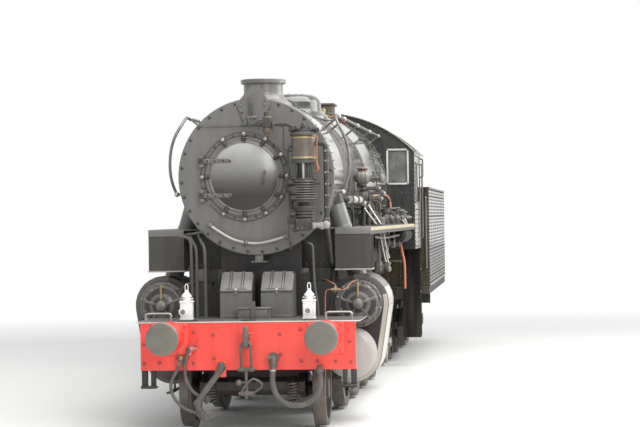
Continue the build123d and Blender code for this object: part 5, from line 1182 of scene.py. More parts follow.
@dataclass
class SmokeboxFront:
    """The smokebox's flat front and shell: bolts, dogs, curved rail and bracket.

    Args:
        face: Where the flat front lies.
        centre: The smokebox's centre, as (y, z).
        door: The door's centre, as (y, z).
        bolt_ring: The radius of the ring of bolts.
        dog_ring: The radius of the ring of dogs.
        shell: The shell's radius.
        rail_ring: The radius of the curved rail.
    """

    face: float = 1.5
    centre: Span = (0.0, BARREL)
    door: Span = (-0.13, BARREL)
    bolt_ring: float = 0.862
    dog_ring: float = 0.487
    shell: float = 0.9
    rail_ring: float = 0.765

    def build(self) -> None:
        """Make the pieces of the smokebox."""
        self._bolts()
        self._dogs()
        self._rail()
        self._bracket()
        self._conduits()

    def _bolts(self) -> None:
        """Stud the front's edge and the shell's two ends."""
        form = Form("smokebox_ring_bolts")
        form.rivets(circle_places(self.face, self.centre, self.bolt_ring, 32, 4.0), FORE, 0.021, Look.LUG)
        for s in (1.58, 1.66, 3.27):
            form.studs(rim(s, self.centre, self.shell, spread(-36, 216, 44)), 0.011, Look.SMOKEBOX)
        form.place()

    def _dogs(self) -> None:
        """Make the dogs round the door: a stepped lug, a stud and its nut."""
        form = Form("smokebox_door_dogs")
        form.ring((self.face - 0.008, *self.door), FORE, 0.506, 0.0075, Look.LUG, 96)
        for index in range(12):
            if index in (5, 7):
                continue
            place, out = rim(self.face, self.door, self.dog_ring, [30 * index])[0]
            form.turned(place, FORE, mm(0, 26, 20, 26, 24, 24, 50, 24), Look.LUG, 12)
            # The nut's light grey is partly worn steel and partly a painted highlight.
            form.turned(place, FORE, mm(50, 22, 62, 22, 70, 15, 80, 12, 83, 0), Look.BRIGHTRAIL, 12)
            middle = rim(self.face, self.door, self.dog_ring - 0.005, [30 * index + 15])[0][0]
            form.bolts([middle], FORE, 0.0155, Look.LUG)
            lug = (self.face - 0.03, place[1] + 0.022 * out.y, place[2] + 0.022 * out.z)
            form.turned(lug, -out, mm(0, 12, 4, 20, 46, 20), Look.LUG, 8)
        form.place()

    def _rail(self) -> None:
        """Make the bright curved rail under the door, with its balls and posts."""
        piping = Piping("smokebox_front_rail")
        turns = spread(226, 296, 5)
        places = [pair[0] for turn, far in zip(turns, (1.0, 1.012, 1.012, 1.012, 1.0))
                  for pair in rim(self.face - 0.06, self.centre, self.rail_ring * far, [turn])]
        piping.run(places, 0.0182, Look.BRIGHTRAIL)
        piping.place()
        form = Form("smokebox_front_rail_balls")
        for turn in (226, 261, 296):
            place = rim(self.face - 0.06, self.centre, self.rail_ring, [turn])[0][0]
            form.ball(place, 0.031, Look.SOFTSTEEL, 20)
            form.turned((self.face, place[1], place[2]), FORE, mm(0, 26, 8, 26, 14, 14.5, 50, 14.5), Look.SMOKEBOX,
                        16)
        form.place()

    def _bracket(self) -> None:
        """Make the channel on the bare plate under the chimney, with its foot and bolts."""
        form = Form("smokebox_plate_bracket")
        form.bolts([(1.488, -0.173, 3.638), (1.488, 0.11, 3.643), (1.488, -0.09, 3.45), (1.488, 0.05, 3.46)], FORE,
                   0.016, Look.SMOKEBOX)
        for first, last in (((-0.219, 3.659), (-0.123, 3.421)), ((0.188, 3.641), (0.096, 3.436))):
            form.band([(1.4865, *first), (1.4865, *last)], (0.01, 0.01), Vector((0, 1, 0.4)), 0.004, Look.LUG)
        form.bolts([(1.488, -0.151, 3.56), (1.488, 0.12, 3.55)], FORE, 0.013, Look.LUG)
        for y in (-0.066, -0.022):
            form.slab((1.452, 1.474), (y, y + 0.008), (3.512, 3.75), Look.SMOKEBOX)
        form.slab((1.4505, 1.456), (-0.052, -0.028), (3.53, 3.735), Look.RAIL)
        form.slab((1.446, 1.49), (-0.106, 0.026), (3.488, 3.516), Look.SMOKEBOX, 0.006)
        form.bolts([(1.46, y, 3.515) for y in (-0.09, 0.01)], UP, 0.009, Look.SMOKEBOX)
        form.place()

    def _conduits(self) -> None:
        """Make the thin pipes that cross the front."""
        piping = Piping("smokebox_front_conduits")
        piping.run([(1.78, -0.7, 3.47), (1.49, -0.69, 3.43), (1.485, -0.62, 3.405), (1.485, -0.38, 3.402),
                    (1.485, -0.15, 3.402), (1.47, -0.05, 3.42), (1.44, 0.05, 3.452), (1.36, 0.1, 3.46)], 0.007,
                   Look.RAIL)
        piping.run([(1.36, 0.14, 3.3), (1.44, 0.138, 3.237), (1.46, 0.246, 3.157), (1.46, 0.328, 3.057),
                    (1.46, 0.372, 2.955), (1.46, 0.385, 2.82), (1.46, 0.372, 2.7), (1.4, 0.4, 2.6)], 0.008,
                   Look.LAGGING)
        piping.place()
        form = Form("smokebox_underside_bracket")
        form.slab((1.53, 1.66), (-0.03, 0.06), (1.852, 1.93), Look.SMOKEBOX, 0.008)
        form.slab((1.51, 1.7), (-0.075, 0.105), (1.84, 1.856), Look.SMOKEBOX, 0.004)
        form.place()


@dataclass
class SmokeboxDoor:
    """The dished door with its straps, hinge barrels, handle and lugs.

    Args:
        face: Where the smokebox's flat front lies.
        centre: The door's centre, as (y, z).
        rim: The door's outer radius.
        dish: The dish's radius.
        crown: How far the dish stands proud at its middle.
        edge: How far the dish's edge stands proud.
        hinge: The hinge line, as (s, y).
    """

    face: float = 1.5
    centre: Span = (-0.13, BARREL)
    rim: float = 0.45
    dish: float = 0.386
    crown: float = 0.118
    edge: float = 0.048
    hinge: Span = (1.452, -0.619)

    def proud(self, y: float, z: float) -> float:
        """Return how far the dish stands proud at a place across and a height."""
        radius = math.hypot(y - self.centre[0], z - self.centre[1])
        deep = self.crown - self.edge
        ball = (self.dish ** 2 + deep ** 2) / (2 * deep)
        if radius >= self.dish:
            return self.edge
        return self.crown - (ball - math.sqrt(ball ** 2 - radius ** 2))

    def build(self) -> None:
        """Make the door."""
        form = Form("smokebox_door_dished")
        middle = (self.face, *self.centre)
        radii = [self.dish * share for share in (1.0, 0.95, 0.88, 0.8, 0.7, 0.6, 0.5, 0.4, 0.3, 0.2, 0.1)]
        profile = [(0.03, self.dish)]
        profile += [(self.proud(self.centre[0] + radius, self.centre[1]), radius) for radius in radii]
        form.turned(middle, FORE, profile + [(self.crown, 0)], Look.DISH, 128)
        form.turned(middle, FORE, [(0.0005, self.rim), (0.034, self.rim), (0.038, self.rim - 0.004), (0.038, 0.39)],
                    Look.SMOKEBOX, 96)
        form.turned(middle, FORE, mm(36, 408, 47, 408, 54, 402, 56, 396, 53, 389, 46, 384, 36, 384), Look.SOFTSTEEL,
                    128)
        for index in range(12):
            if index not in (5, 7):
                place, out = rim(self.face - 0.05, self.centre, 0.402, [30 * index])[0]
                form.turned(place, out, mm(-12, 12, -6, 22, 20, 25, 47, 28, 49, 15), Look.LUG, 12)
        for height in (2.61, 3.007):
            self._strap(form, height)
        for z in (2.735, 2.875):
            form.bar((1.335, 0.12, z), (self.face - self.proud(0.12, z) + 0.01, 0.12, z), 0.008, Look.SMOKEBOX)
        form.bar((1.333, 0.12, 2.718), (1.333, 0.12, 2.892), 0.0095, Look.RAIL)
        form.place(Body.DOOR, ["smokebox_door"])

    def _strap(self, form: Form, height: float) -> None:
        """Add one hinge strap that follows the dish, its bolts and its barrel."""
        ys = (-0.6, -0.55, -0.505, -0.46, -0.41, -0.36, -0.32, -0.285, -0.27)
        halves = (0.027, 0.027, 0.025, 0.024, 0.023, 0.022, 0.021, 0.019, 0.01)
        places = [(min(self.hinge[0] - 0.004, self.face - self.proud(y, height) - 0.004), y, height) for y in ys]
        places[0] = (self.hinge[0], ys[0], height)
        form.band(places, [2 * half for half in halves], UP, 0.018, Look.STRAP)
        for y, place in zip(ys, places):
            if y in (-0.55, -0.46, -0.36, -0.285):
                form.bolts([(place[0] - 0.009, y, height)], FORE, 0.0145, Look.LUG)
        form.turned((*self.hinge, height - 0.034), UP, mm(0, 14, 0, 24, 4, 27, 64, 27, 68, 24, 68, 14), Look.LUG, 20)


@dataclass
class AirPump:
    """The dressing of the air pump, its governor and their pipes.

    Args:
        s: Where the pump's line lies along.
        y: Where it lies across.
    """

    s: float = 1.15
    y: float = 0.587

    def build(self) -> None:
        """Make the pieces on the pump."""
        self._cylinders()
        self._caps()
        self._governor()
        self._pipes()

    def _cylinders(self) -> None:
        """Band the steam cylinder and dress the frame between the cylinders."""
        form = Form("air_pump_bands")
        line = (self.s, self.y, 0.0)
        for z in (3.006, 3.232):
            form.turned(line, UP, [(z, 0.1335), (z + 0.002, 0.1375), (z + 0.022, 0.1375), (z + 0.024, 0.1335)],
                        Look.BRASS, 48)
        form.turned(line, UP, [(3.03, 0.1332), (3.031, 0.1352), (3.229, 0.1352), (3.23, 0.1332)], Look.JACKETED, 48)
        for low, high, fin, count in ((2.543, 2.765, 0.147, 8), (2.204, 2.445, 0.117, 7)):
            pitch = (high - low) / count
            for index in range(count):
                form.ring((self.s, self.y, low + (index + 0.575) * pitch), UP, fin, 0.0026, Look.SOFTSTEEL, 48)
        for z, way in ((3.2905, UP), (2.9595, -UP), (2.786, UP)):
            places = [(self.s + 0.138 * math.cos(turn), self.y + 0.138 * math.sin(turn), z)
                      for turn in (math.radians(36 * index + 10) for index in range(10))]
            form.bolts(places, way, 0.011, Look.PUMP)
        for turn in (40, 140, 220, 320):
            out = compass(turn)
            form.bar((self.s + 0.075 * out[0], self.y + 0.105 * out[1], 2.962),
                     (self.s + 0.1 * out[0], self.y + 0.132 * out[1], 2.782), 0.013, Look.PUMP)
        form.bar((self.s - 0.068, self.y, 2.78), (self.s - 0.068, self.y, 2.965), 0.013, Look.STEEL)
        form.place()

    def _caps(self) -> None:
        """Make the hexagon valve caps, the head's valve block and the lower casting."""
        form = Form("air_pump_valve_caps")
        for y, z, size in ((0.43, 2.741, 0.032), (0.43, 2.666, 0.029), (0.465, 2.567, 0.036), (0.755, 2.738, 0.026),
                           (0.453, 2.387, 0.03), (0.479, 2.213, 0.028)):
            way = RIGHT if y < self.y else -RIGHT
            start = (1.075, y + (0.05 if y < self.y else -0.05), z)
            form.turned(start, way, [(0, size * 0.7), (0.026, size * 0.7), (0.03, size * 1.15), (0.044, size * 1.15)],
                        Look.PUMP, 20)
            form.turned(start, way, [(0.044, size), (0.064, size), (0.07, size * 0.7), (0.082, size * 0.4),
                                     (0.084, 0)], Look.PUMP, 6)
            form.turned((1.09, y + (0.03 if y < self.y else -0.03), z), FORE, [(0, size * 0.8), (0.03, size * 0.8),
                    (0.046, size * 0.5), (0.046, 0)], Look.PUMP, 6)
        form.slab((1.03, 1.15), (0.45, 0.62), (2.62, 2.7), Look.PUMP, 0.012)
        form.slab((1.0, 1.15), (0.5, 0.66), (2.2, 2.335), Look.PUMP, 0.02)
        form.slab((0.985, 1.04), (0.6, 0.69), (2.235, 2.31), Look.PUMP, 0.015)
        form.bolts([(0.999, y, z) for y in (0.52, 0.57) for z in (2.222, 2.312)], FORE, 0.01, Look.PUMP)
        form.turned((self.s, self.y - 0.13, 3.335), -RIGHT, mm(-35, 18, 0, 34, 30, 34, 30, 22, 250, 22, 250, 36,
                285, 36, 285, 20, 310, 20), Look.PUMP, 8)
        for y, tall in ((0.5, 0.045), (0.587, 0.075), (0.66, 0.04)):
            form.turned((self.s, y, 3.33), UP, [(0, 0.032), (tall * 0.6, 0.032), (tall * 0.6, 0.02), (tall, 0.02),
                                                (tall + 0.012, 0.01), (tall + 0.012, 0)], Look.PUMP, 8)
        form.place()

    def _governor(self) -> None:
        """Dress the governor with its caps, unions and cocks."""
        form = Form("air_pump_governor")
        form.turned((self.s, 0.175, 3.26), UP, mm(0, 16, 20, 30, 50, 30, 55, 50, 100, 52, 105, 40, 200, 40, 205, 56,
                                                  225, 56, 235, 34, 262, 30, 285, 14, 292, 0), Look.GOVERNOR, 24)
        form.bolts(level_circle((self.s, 0.175, 3.484), 0.045, range(0, 360, 60)), UP, 0.008, Look.BRASS)
        form.turned((self.s, 0.135, 3.4), RIGHT,
                    mm(0, 26, 30, 26, 34, 19, 200, 19, 200, 27, 226, 27, 226, 18, 262, 18), Look.PUMP, 8)
        form.turned((self.s, 0.21, 3.4), -RIGHT, mm(0, 27, 40, 27, 45, 16, 120, 16, 125, 30, 155, 30, 165, 14),
                    Look.PUMP, 8)
        for y, low in ((0.085, 3.34), (0.245, 3.33), (-0.03, 3.36)):
            form.turned((self.s - 0.02, y, low), UP, mm(0, 8, 30, 16, 90, 16, 100, 9, 120, 9), Look.PUMP, 8)
        form.place()

    def _pipes(self) -> None:
        """Make the copper, iron and lagged pipes round the pump."""
        piping = Piping("air_pump_pipes")
        piping.run([(1.03, 0.7, 3.262), (1.02, 0.765, 3.25), (1.02, 0.748, 3.19), (1.02, 0.745, 3.05),
                    (1.02, 0.746, 2.93), (1.02, 0.772, 2.895), (1.03, 0.735, 2.855), (1.06, 0.7, 2.86)], 0.0105,
                   Look.COPPER)
        piping.run([(1.13, 0.363, 3.38), (1.13, 0.368, 3.33), (1.13, 0.36, 3.14), (1.15, 0.37, 3.1),
                    (1.15, 0.47, 3.09)], 0.009, Look.PUMP)
        piping.run([(1.08, 0.47, 2.43), (1.06, 0.425, 2.43), (1.06, 0.424, 2.36), (1.08, 0.42, 2.15),
                    (1.2, 0.42, 1.99)], 0.009, Look.RUSTY)
        piping.run([(1.15, 0.45, 3.15), (1.13, 0.41, 3.16), (1.13, 0.41, 2.95), (1.12, 0.42, 2.78)], 0.011, Look.PUMP)
        piping.run([(1.09, 0.67, 2.252), (1.07, 0.74, 2.262), (1.07, 0.79, 2.246), (1.11, 0.845, 2.256)], 0.03,
                   Look.TORN)
        piping.place()
        form = Form("air_pump_exhaust_clips")
        for z in (2.32, 2.45, 2.58, 2.71, 2.84, 2.97, 3.08):
            form.turned((self.s, 0.84, z), UP, mm(0, 28.5, 1, 34, 20, 34, 21, 28.5), Look.RAIL, 16)
            form.slab((self.s - 0.05, self.s - 0.03), (0.828, 0.836), (z + 0.002, z + 0.018), Look.STEEL)
        for y, z, size in ((0.7, 2.252, 0.036), (0.79, 2.25, 0.042), (0.835, 2.262, 0.047)):
            form.ball((1.08, y, z), size, Look.TORN, 12)
        form.coil((1.15, 0.84, 2.26), (1.15, 0.84, 3.12), 0.029, 0.0045, 34, Look.LAGGING)
        form.place()


@dataclass
class Handrails:
    """The long rails beside the boiler, which bow out and down at the front.

    Args:
        slant: The angle of the posts, in degrees.
        reach: The rails' distance from the boiler's middle.
        middle: The boiler's middle height.
        thick: The rails' radius.
    """

    slant: float = 38.8
    reach: float = 1.135
    middle: float = BARREL
    thick: float = 0.0172

    def build(self) -> None:
        """Make both rails with their posts and balls."""
        piping = Piping("boiler_handrails")
        form = Form("boiler_handrail_posts")
        for side in SIDES:
            across, above = compass(self.slant)
            out = (across * side, above)
            y, z = self.reach * out[0], self.middle + self.reach * out[1]
            run = [(9.3, y, z), (7.0, y, z), (4.5, y, z), (2.6, y, z), (2.2, y, z)]
            run += [(s, bow * side, height) for s, bow, height in (
                (1.98, 0.872, 3.54), (1.84, 0.915, 3.43), (1.8, 0.985, 3.31), (1.8, 1.034, 3.15),
                (1.8, 1.048, 2.98), (1.8, 1.038, 2.84), (1.8, 1.008, 2.72), (1.8, 0.97, 2.64))]
            piping.run(run, self.thick, Look.HANDRAIL)
            piping.run([(1.8, 0.97 * side, 2.636), (1.8, 0.873 * side, 2.636)], 0.014, Look.HANDRAIL)
            form.ball((1.8, 0.968 * side, 2.636), 0.031, Look.STEEL, 20)
            form.turned((1.8, 0.882 * side, 2.636), outward(side), mm(0, 30, 8, 30, 14, 15), Look.SMOKEBOX, 16)
            for s, skin in ((2.35, 0.9), (3.1, 0.9), (5.1, 0.905), (7.2, 0.975), (8.9, 0.975)):
                start = (s, skin * out[0], self.middle + skin * out[1])
                form.turned(start, Vector((0, out[0], out[1])), [(0, 0.03), (0.01, 0.03), (0.016, 0.014),
                        (self.reach - skin, 0.012)], Look.RAIL, 14)
                form.ball((s, y, z), 0.027, Look.STEEL, 18)
        piping.place(Body.ENGINE, ["handrails"])
        form.place()


# Front end


@dataclass
class BufferBeam:
    """The red beam's bolts, plates and lower tab.

    Args:
        face: Where the beam's face lies.
        half: Half of its width.
        bolts: The places of its big bolts, as (y, z).
    """

    face: float = BEAM
    half: float = 1.193
    bolts: Sequence[Span] = (
        (-0.596, 1.103), (-0.38, 1.071), (0.358, 1.072), (0.588, 1.12), (1.048, 1.115), (-0.375, 0.813),
        (-0.602, 0.762), (-0.982, 0.765), (-1.155, 0.757), (-1.155, 0.972), (0.366, 0.848), (0.59, 0.775),
        (0.772, 0.773), (0.971, 0.767), (1.141, 0.757), (1.132, 0.982))

    def build(self) -> None:
        """Make the pieces on the beam."""
        form = Form("buffer_beam_bolts")
        places = [(self.face, y, z) for y, z in self.bolts]
        form.bolts(places, FORE, 0.019, Look.REDBOLT, 0.9)
        places = [(self.face, side * y, z) for side in SIDES for y in (0.49, 0.58) for z in (0.72, 0.94, 1.16)]
        form.rivets(places, FORE, 0.01, Look.RED)
        form.place()
        form = Form("buffer_beam_tab")
        form.front([(-0.366, 0.62), (-0.35, 0.604), (-0.256, 0.604), (-0.24, 0.62), (-0.24, 0.782), (-0.366, 0.782)],
                   (0.5245, 0.541), Look.RED, 0.003)
        form.bolts([(0.5245, -0.345, 0.765), (0.5245, -0.262, 0.765)], FORE, 0.01, Look.RED)
        form.place()
        form = Form("buffer_beam_back_flange")
        for side in SIDES:
            ys = span(side * 0.56, side * (self.half + 0.001))
            form.slab((0.5795, 0.691), ys, (1.182, 1.2035), Look.RED)
            form.bolts([(0.64, side * y, 1.182) for y in (0.66, 0.82, 0.98, 1.14)], DOWN, 0.012, Look.RED)
            form.slab((0.58, 0.592), (side * 0.75, side * 0.77), (0.7, 1.182), Look.RED)
            form.slab((0.58, 0.592), (side * 0.96, side * 0.98), (0.7, 1.182), Look.RED)
        form.place()


@dataclass
class Buffers:
    """A pair of buffers with square flanges, tapered casings, rams and worn heads.

    Args:
        name: The piece's name.
        node: The node that it stands for.
        body: The body that it rides on.
        facing: 1 at the engine's front, -1 at the tender's rear.
        origin: Where the heads' faces lie.
        beam: How far behind them the beam's face lies.
        across: How far each buffer is from the middle.
        height: The buffers' height.
    """

    name: str
    node: str
    body: Body
    facing: int
    origin: float
    beam: float
    across: float = BUFFERS[0]
    height: float = BUFFERS[1]

    def build(self) -> None:
        """Make both buffers."""
        form = Form(self.name)
        way = AFT * self.facing
        for side in SIDES:
            start = (self.origin, side * self.across, self.height)
            form.turned(start, way, mm(4, 0, 2.5, 50, 0.5, 110, 1.5, 150, 7, 173, 18, 182.5, 30, 183.5, 38, 181,
                                       44, 165, 60, 94, 78, 77), Look.WORN, 64)
            form.turned(start, way, mm(70, 77, 285, 77), Look.STEEL, 40)
            form.turned(start, way, mm(272, 78, 272, 118, 278, 122.5, 306, 123.5, 312, 126, 330, 131, 490, 165,
                                       498, 168, 518, 168), Look.RED, 48)
            s = span(self.origin + self.facing * 0.5135, self.origin + self.facing * (self.beam - 0.0005))
            ys = span(side * (self.across - 0.205), side * (self.across + 0.205))
            form.slab(s, ys, (self.height - 0.2, self.height + 0.145), Look.RED, 0.004)
            for y in (-0.178, 0.178):
                for z in (-0.172, 0.116):
                    base = (self.origin + self.facing * 0.514, side * self.across + y, self.height + z)
                    form.bolts([base], -way, 0.02, Look.RED, 1.1)
            for turn in (45, 135, 225, 315):
                across, above = compass(turn)
                edge = (self.origin + self.facing * 0.5, side * self.across + 0.15 * across, self.height + 0.15 * above)
                form.bolts([edge], -way, 0.012, Look.RED)
        form.place(self.body, [self.node])


@dataclass
class ScrewCoupling:
    """The front draw hook with its hanging shackle, screw, bow and weighted lever.

    Args:
        line: Where the shackle hangs along.
        pin: The height of the upper trunnion.
        foot: The height of the lower one.
    """

    line: float = 0.395
    pin: float = 0.693
    foot: float = 0.432

    def build(self) -> None:
        """Make the hook and what hangs on it."""
        form = Form("front_draw_hook")
        hook = [(0.5397, 0.945), (0.5, 0.935), (0.47, 0.945), (0.41, 0.921), (0.378, 0.928), (0.354, 0.958),
                (0.336, 1.0), (0.333, 1.05), (0.338, 1.11), (0.35, 1.152), (0.366, 1.171), (0.378, 1.168),
                (0.385, 1.15), (0.39, 1.105), (0.398, 1.065), (0.412, 1.043), (0.43, 1.042), (0.446, 1.052),
                (0.462, 1.08), (0.5, 1.085), (0.5397, 1.085)]
        form.side(hook, (-0.027, 0.027), Look.HOOK, 0.009)
        form.front([(-0.058, 0.907), (0.058, 0.907), (0.058, 1.093), (-0.058, 1.093)], (0.5225, 0.5397), Look.RED,
                   0.004)
        form.bolts([(0.5225, y, z) for y in (-0.043, 0.043) for z in (0.925, 1.075)], FORE, 0.011, Look.RED)
        form.turned((self.line, -0.096, self.pin), LEFT, mm(0, 10, 3, 17, 16, 19, 18, 26, 44, 28, 50, 24, 142, 24,
                                                            148, 28, 174, 26, 176, 19, 189, 17, 192, 10), Look.HOOK,
                    20)
        form.bar((self.line, 0, 0.375), (self.line, 0, self.pin), 0.0165, Look.HOOK)
        form.coil((self.line, 0, 0.38), (self.line, 0, 0.52), 0.0165, 0.0035, 18, Look.HOOK)
        form.coil((self.line, 0, 0.585), (self.line, 0, 0.672), 0.0165, 0.0035, 11, Look.HOOK)
        form.turned((self.line, -0.09, self.foot), LEFT, mm(0, 8, 2, 14, 12, 16, 14, 25, 50, 29, 60, 31, 120, 31,
                                                            130, 29, 166, 25, 168, 16, 178, 14, 180, 8), Look.HOOK,
                    20)
        form.ball((self.line, -0.082, 0.55), 0.037, Look.HOOK, 24)
        form.place()
        piping = Piping("front_coupling_links")
        top = 0.987
        piping.run([(self.line, -0.055, self.pin), (self.line, -0.055, 0.8), (self.line, -0.055, 0.92),
                    (self.line, -0.052, 0.975), (self.line, 0.0, top + 0.012), (self.line, 0.052, 0.975),
                    (self.line, 0.055, 0.92), (self.line, 0.055, 0.8), (self.line, 0.055, self.pin)], 0.016,
                   Look.HOOK)
        piping.run([(self.line, -0.062, self.foot), (0.385, -0.03, 0.49), (0.366, 0.03, 0.565), (0.36, 0.075, 0.6),
                    (0.358, 0.125, 0.58), (0.36, 0.178, 0.545), (0.362, 0.172, 0.505), (0.38, 0.115, 0.465),
                    (self.line, 0.062, self.foot)], 0.014, Look.HOOK)
        piping.run([(self.line, 0.0, 0.562), (self.line, -0.03, 0.555), (self.line, -0.065, 0.551)], 0.011, Look.HOOK)
        piping.place(Body.ENGINE, ["coupling_front"])


@dataclass
class FrontUnderside:
    """The steps that hang from the beam's ends and the springs of the leading truck."""

    def build(self) -> None:
        """Make the steps and the springs."""
        form = Form("front_hanging_steps")
        for side in SIDES:
            for y, half in ((1.066, 0.026), (1.163, 0.032)):
                form.slab((0.6, 0.66), (side * y - half, side * y + half), (0.49, 0.685), Look.SADDLE, 0.004)
                form.bolts([(0.6, side * y, 0.665)], FORE, 0.012, Look.FRAME)
            ys = span(side * 1.035, side * 1.2)
            form.slab((0.57, 0.76), ys, (0.478, 0.492), Look.FRAME, 0.003)
            form.slab((0.57, 0.575), ys, (0.478, 0.512), Look.FRAME, 0.001)
            form.rivets([(s, side * y, 0.492) for s in (0.61, 0.66, 0.71) for y in (1.08, 1.12, 1.16)], UP, 0.007,
                        Look.FRAME, 6)
        form.place()
        form = Form("leading_truck_springs")
        for side in SIDES:
            form.coil((0.845, 0.46 * side, 0.318), (0.845, 0.46 * side, 0.508), 0.05, 0.011, 6, Look.HOOK)
            for z in (0.306, 0.508):
                form.turned((0.845, 0.46 * side, z), UP, mm(0, 55, 2, 62, 10, 62, 12, 55), Look.FRAME, 24)
            form.bar((0.845, 0.46 * side, 0.29), (0.845, 0.46 * side, 0.54), 0.014, Look.FRAME)
            form.slab((0.845, 0.9), (0.46 * side - 0.03, 0.46 * side + 0.03), (0.495, 0.519), Look.FRAME)
            for s in (0.96, 1.25, 1.54):
                form.bolts([(s, 0.59 * side, 0.47)], outward(side), 0.016, Look.FRAME)
        form.bolts([(0.88, y, 0.48) for y in (-0.3, -0.1, 0.1, 0.3)], FORE, 0.016, Look.FRAME)
        form.place(Body.PONY)


@dataclass
class OilLamps:
    """The two white oil lamps on their irons.

    Args:
        s: Where they stand along.
        across: Where they stand across.
        foot: The height that they stand at.
        lens: How far each lens lies from its lamp's middle.
    """

    s: float = 0.665
    across: Sequence[float] = (0.675, -0.69)
    foot: float = 1.2313
    lens: Sequence[float] = (-0.012, -0.034)

    def build(self) -> None:
        """Make both lamps."""
        form = Form("oil_lamps_white")
        handles = Piping("oil_lamp_handles")
        for y, off in zip(self.across, self.lens):
            front, back = self.s - 0.056, self.s + 0.07
            form.slab((front, back), (y - 0.067, y + 0.067), (self.foot + 0.012, 1.428), Look.WHITE, 0.007)
            form.slab((front - 0.004, back + 0.004), (y - 0.071, y + 0.071), (self.foot, self.foot + 0.018),
                      Look.WHITE, 0.004)
            form.slab((front - 0.005, back + 0.004), (y - 0.074, y + 0.074), (1.42, 1.446), Look.WHITE, 0.006)
            form.turned((self.s + 0.007, y, 0.0), UP, mm(1444, 50, 1452, 43, 1478, 40, 1482, 43, 1486, 58, 1491, 60,
                                                         1497, 55, 1512, 48, 1530, 30, 1545, 21, 1560, 19, 1564, 10,
                                                         1564, 0), Look.WHITE, 32)
            for side in SIDES:
                form.bar((self.s + 0.007, y + side * 0.038, 1.468), (self.s + 0.007, y + side * 0.072, 1.468), 0.008,
                         Look.WHITE)
                form.slab((self.s - 0.012, self.s + 0.026), (y + side * 0.0665 - 0.003, y + side * 0.0665 + 0.003),
                          (1.27, 1.4), Look.WHITE)
            centre = (front, y + off, 1.322)
            form.turned(centre, FORE, mm(0, 47, 6, 47, 9, 42, 12, 42, 12.5, 36), Look.WHITE, 32)
            form.turned(centre, FORE, mm(9, 38, 11.5, 33, 14.5, 20, 15.5, 0), Look.LENS, 32)
            form.slab((front - 0.0015, front + 0.002), (y - 0.06, y + 0.06), (1.25, 1.263), Look.WHITE)
            form.slab((back - 0.001, back + 0.004), (y - 0.02, y + 0.02), (1.26, 1.4), Look.WHITE)
            form.bolts([(front, y + side * 0.056, z) for side in SIDES for z in (1.276, 1.405)], FORE, 0.0045,
                       Look.WHITE)
            loop = [(-0.015, 1.54), (-0.016, 1.575), (-0.018, 1.605), (-0.009, 1.628), (0.009, 1.628), (0.018, 1.605),
                    (0.016, 1.575), (0.015, 1.54)]
            handles.run([(self.s + 0.007, y + across, height) for across, height in loop], 0.0052, Look.WHITE)
        form.place(Body.ENGINE, ["oil_lamps"])
        handles.place()


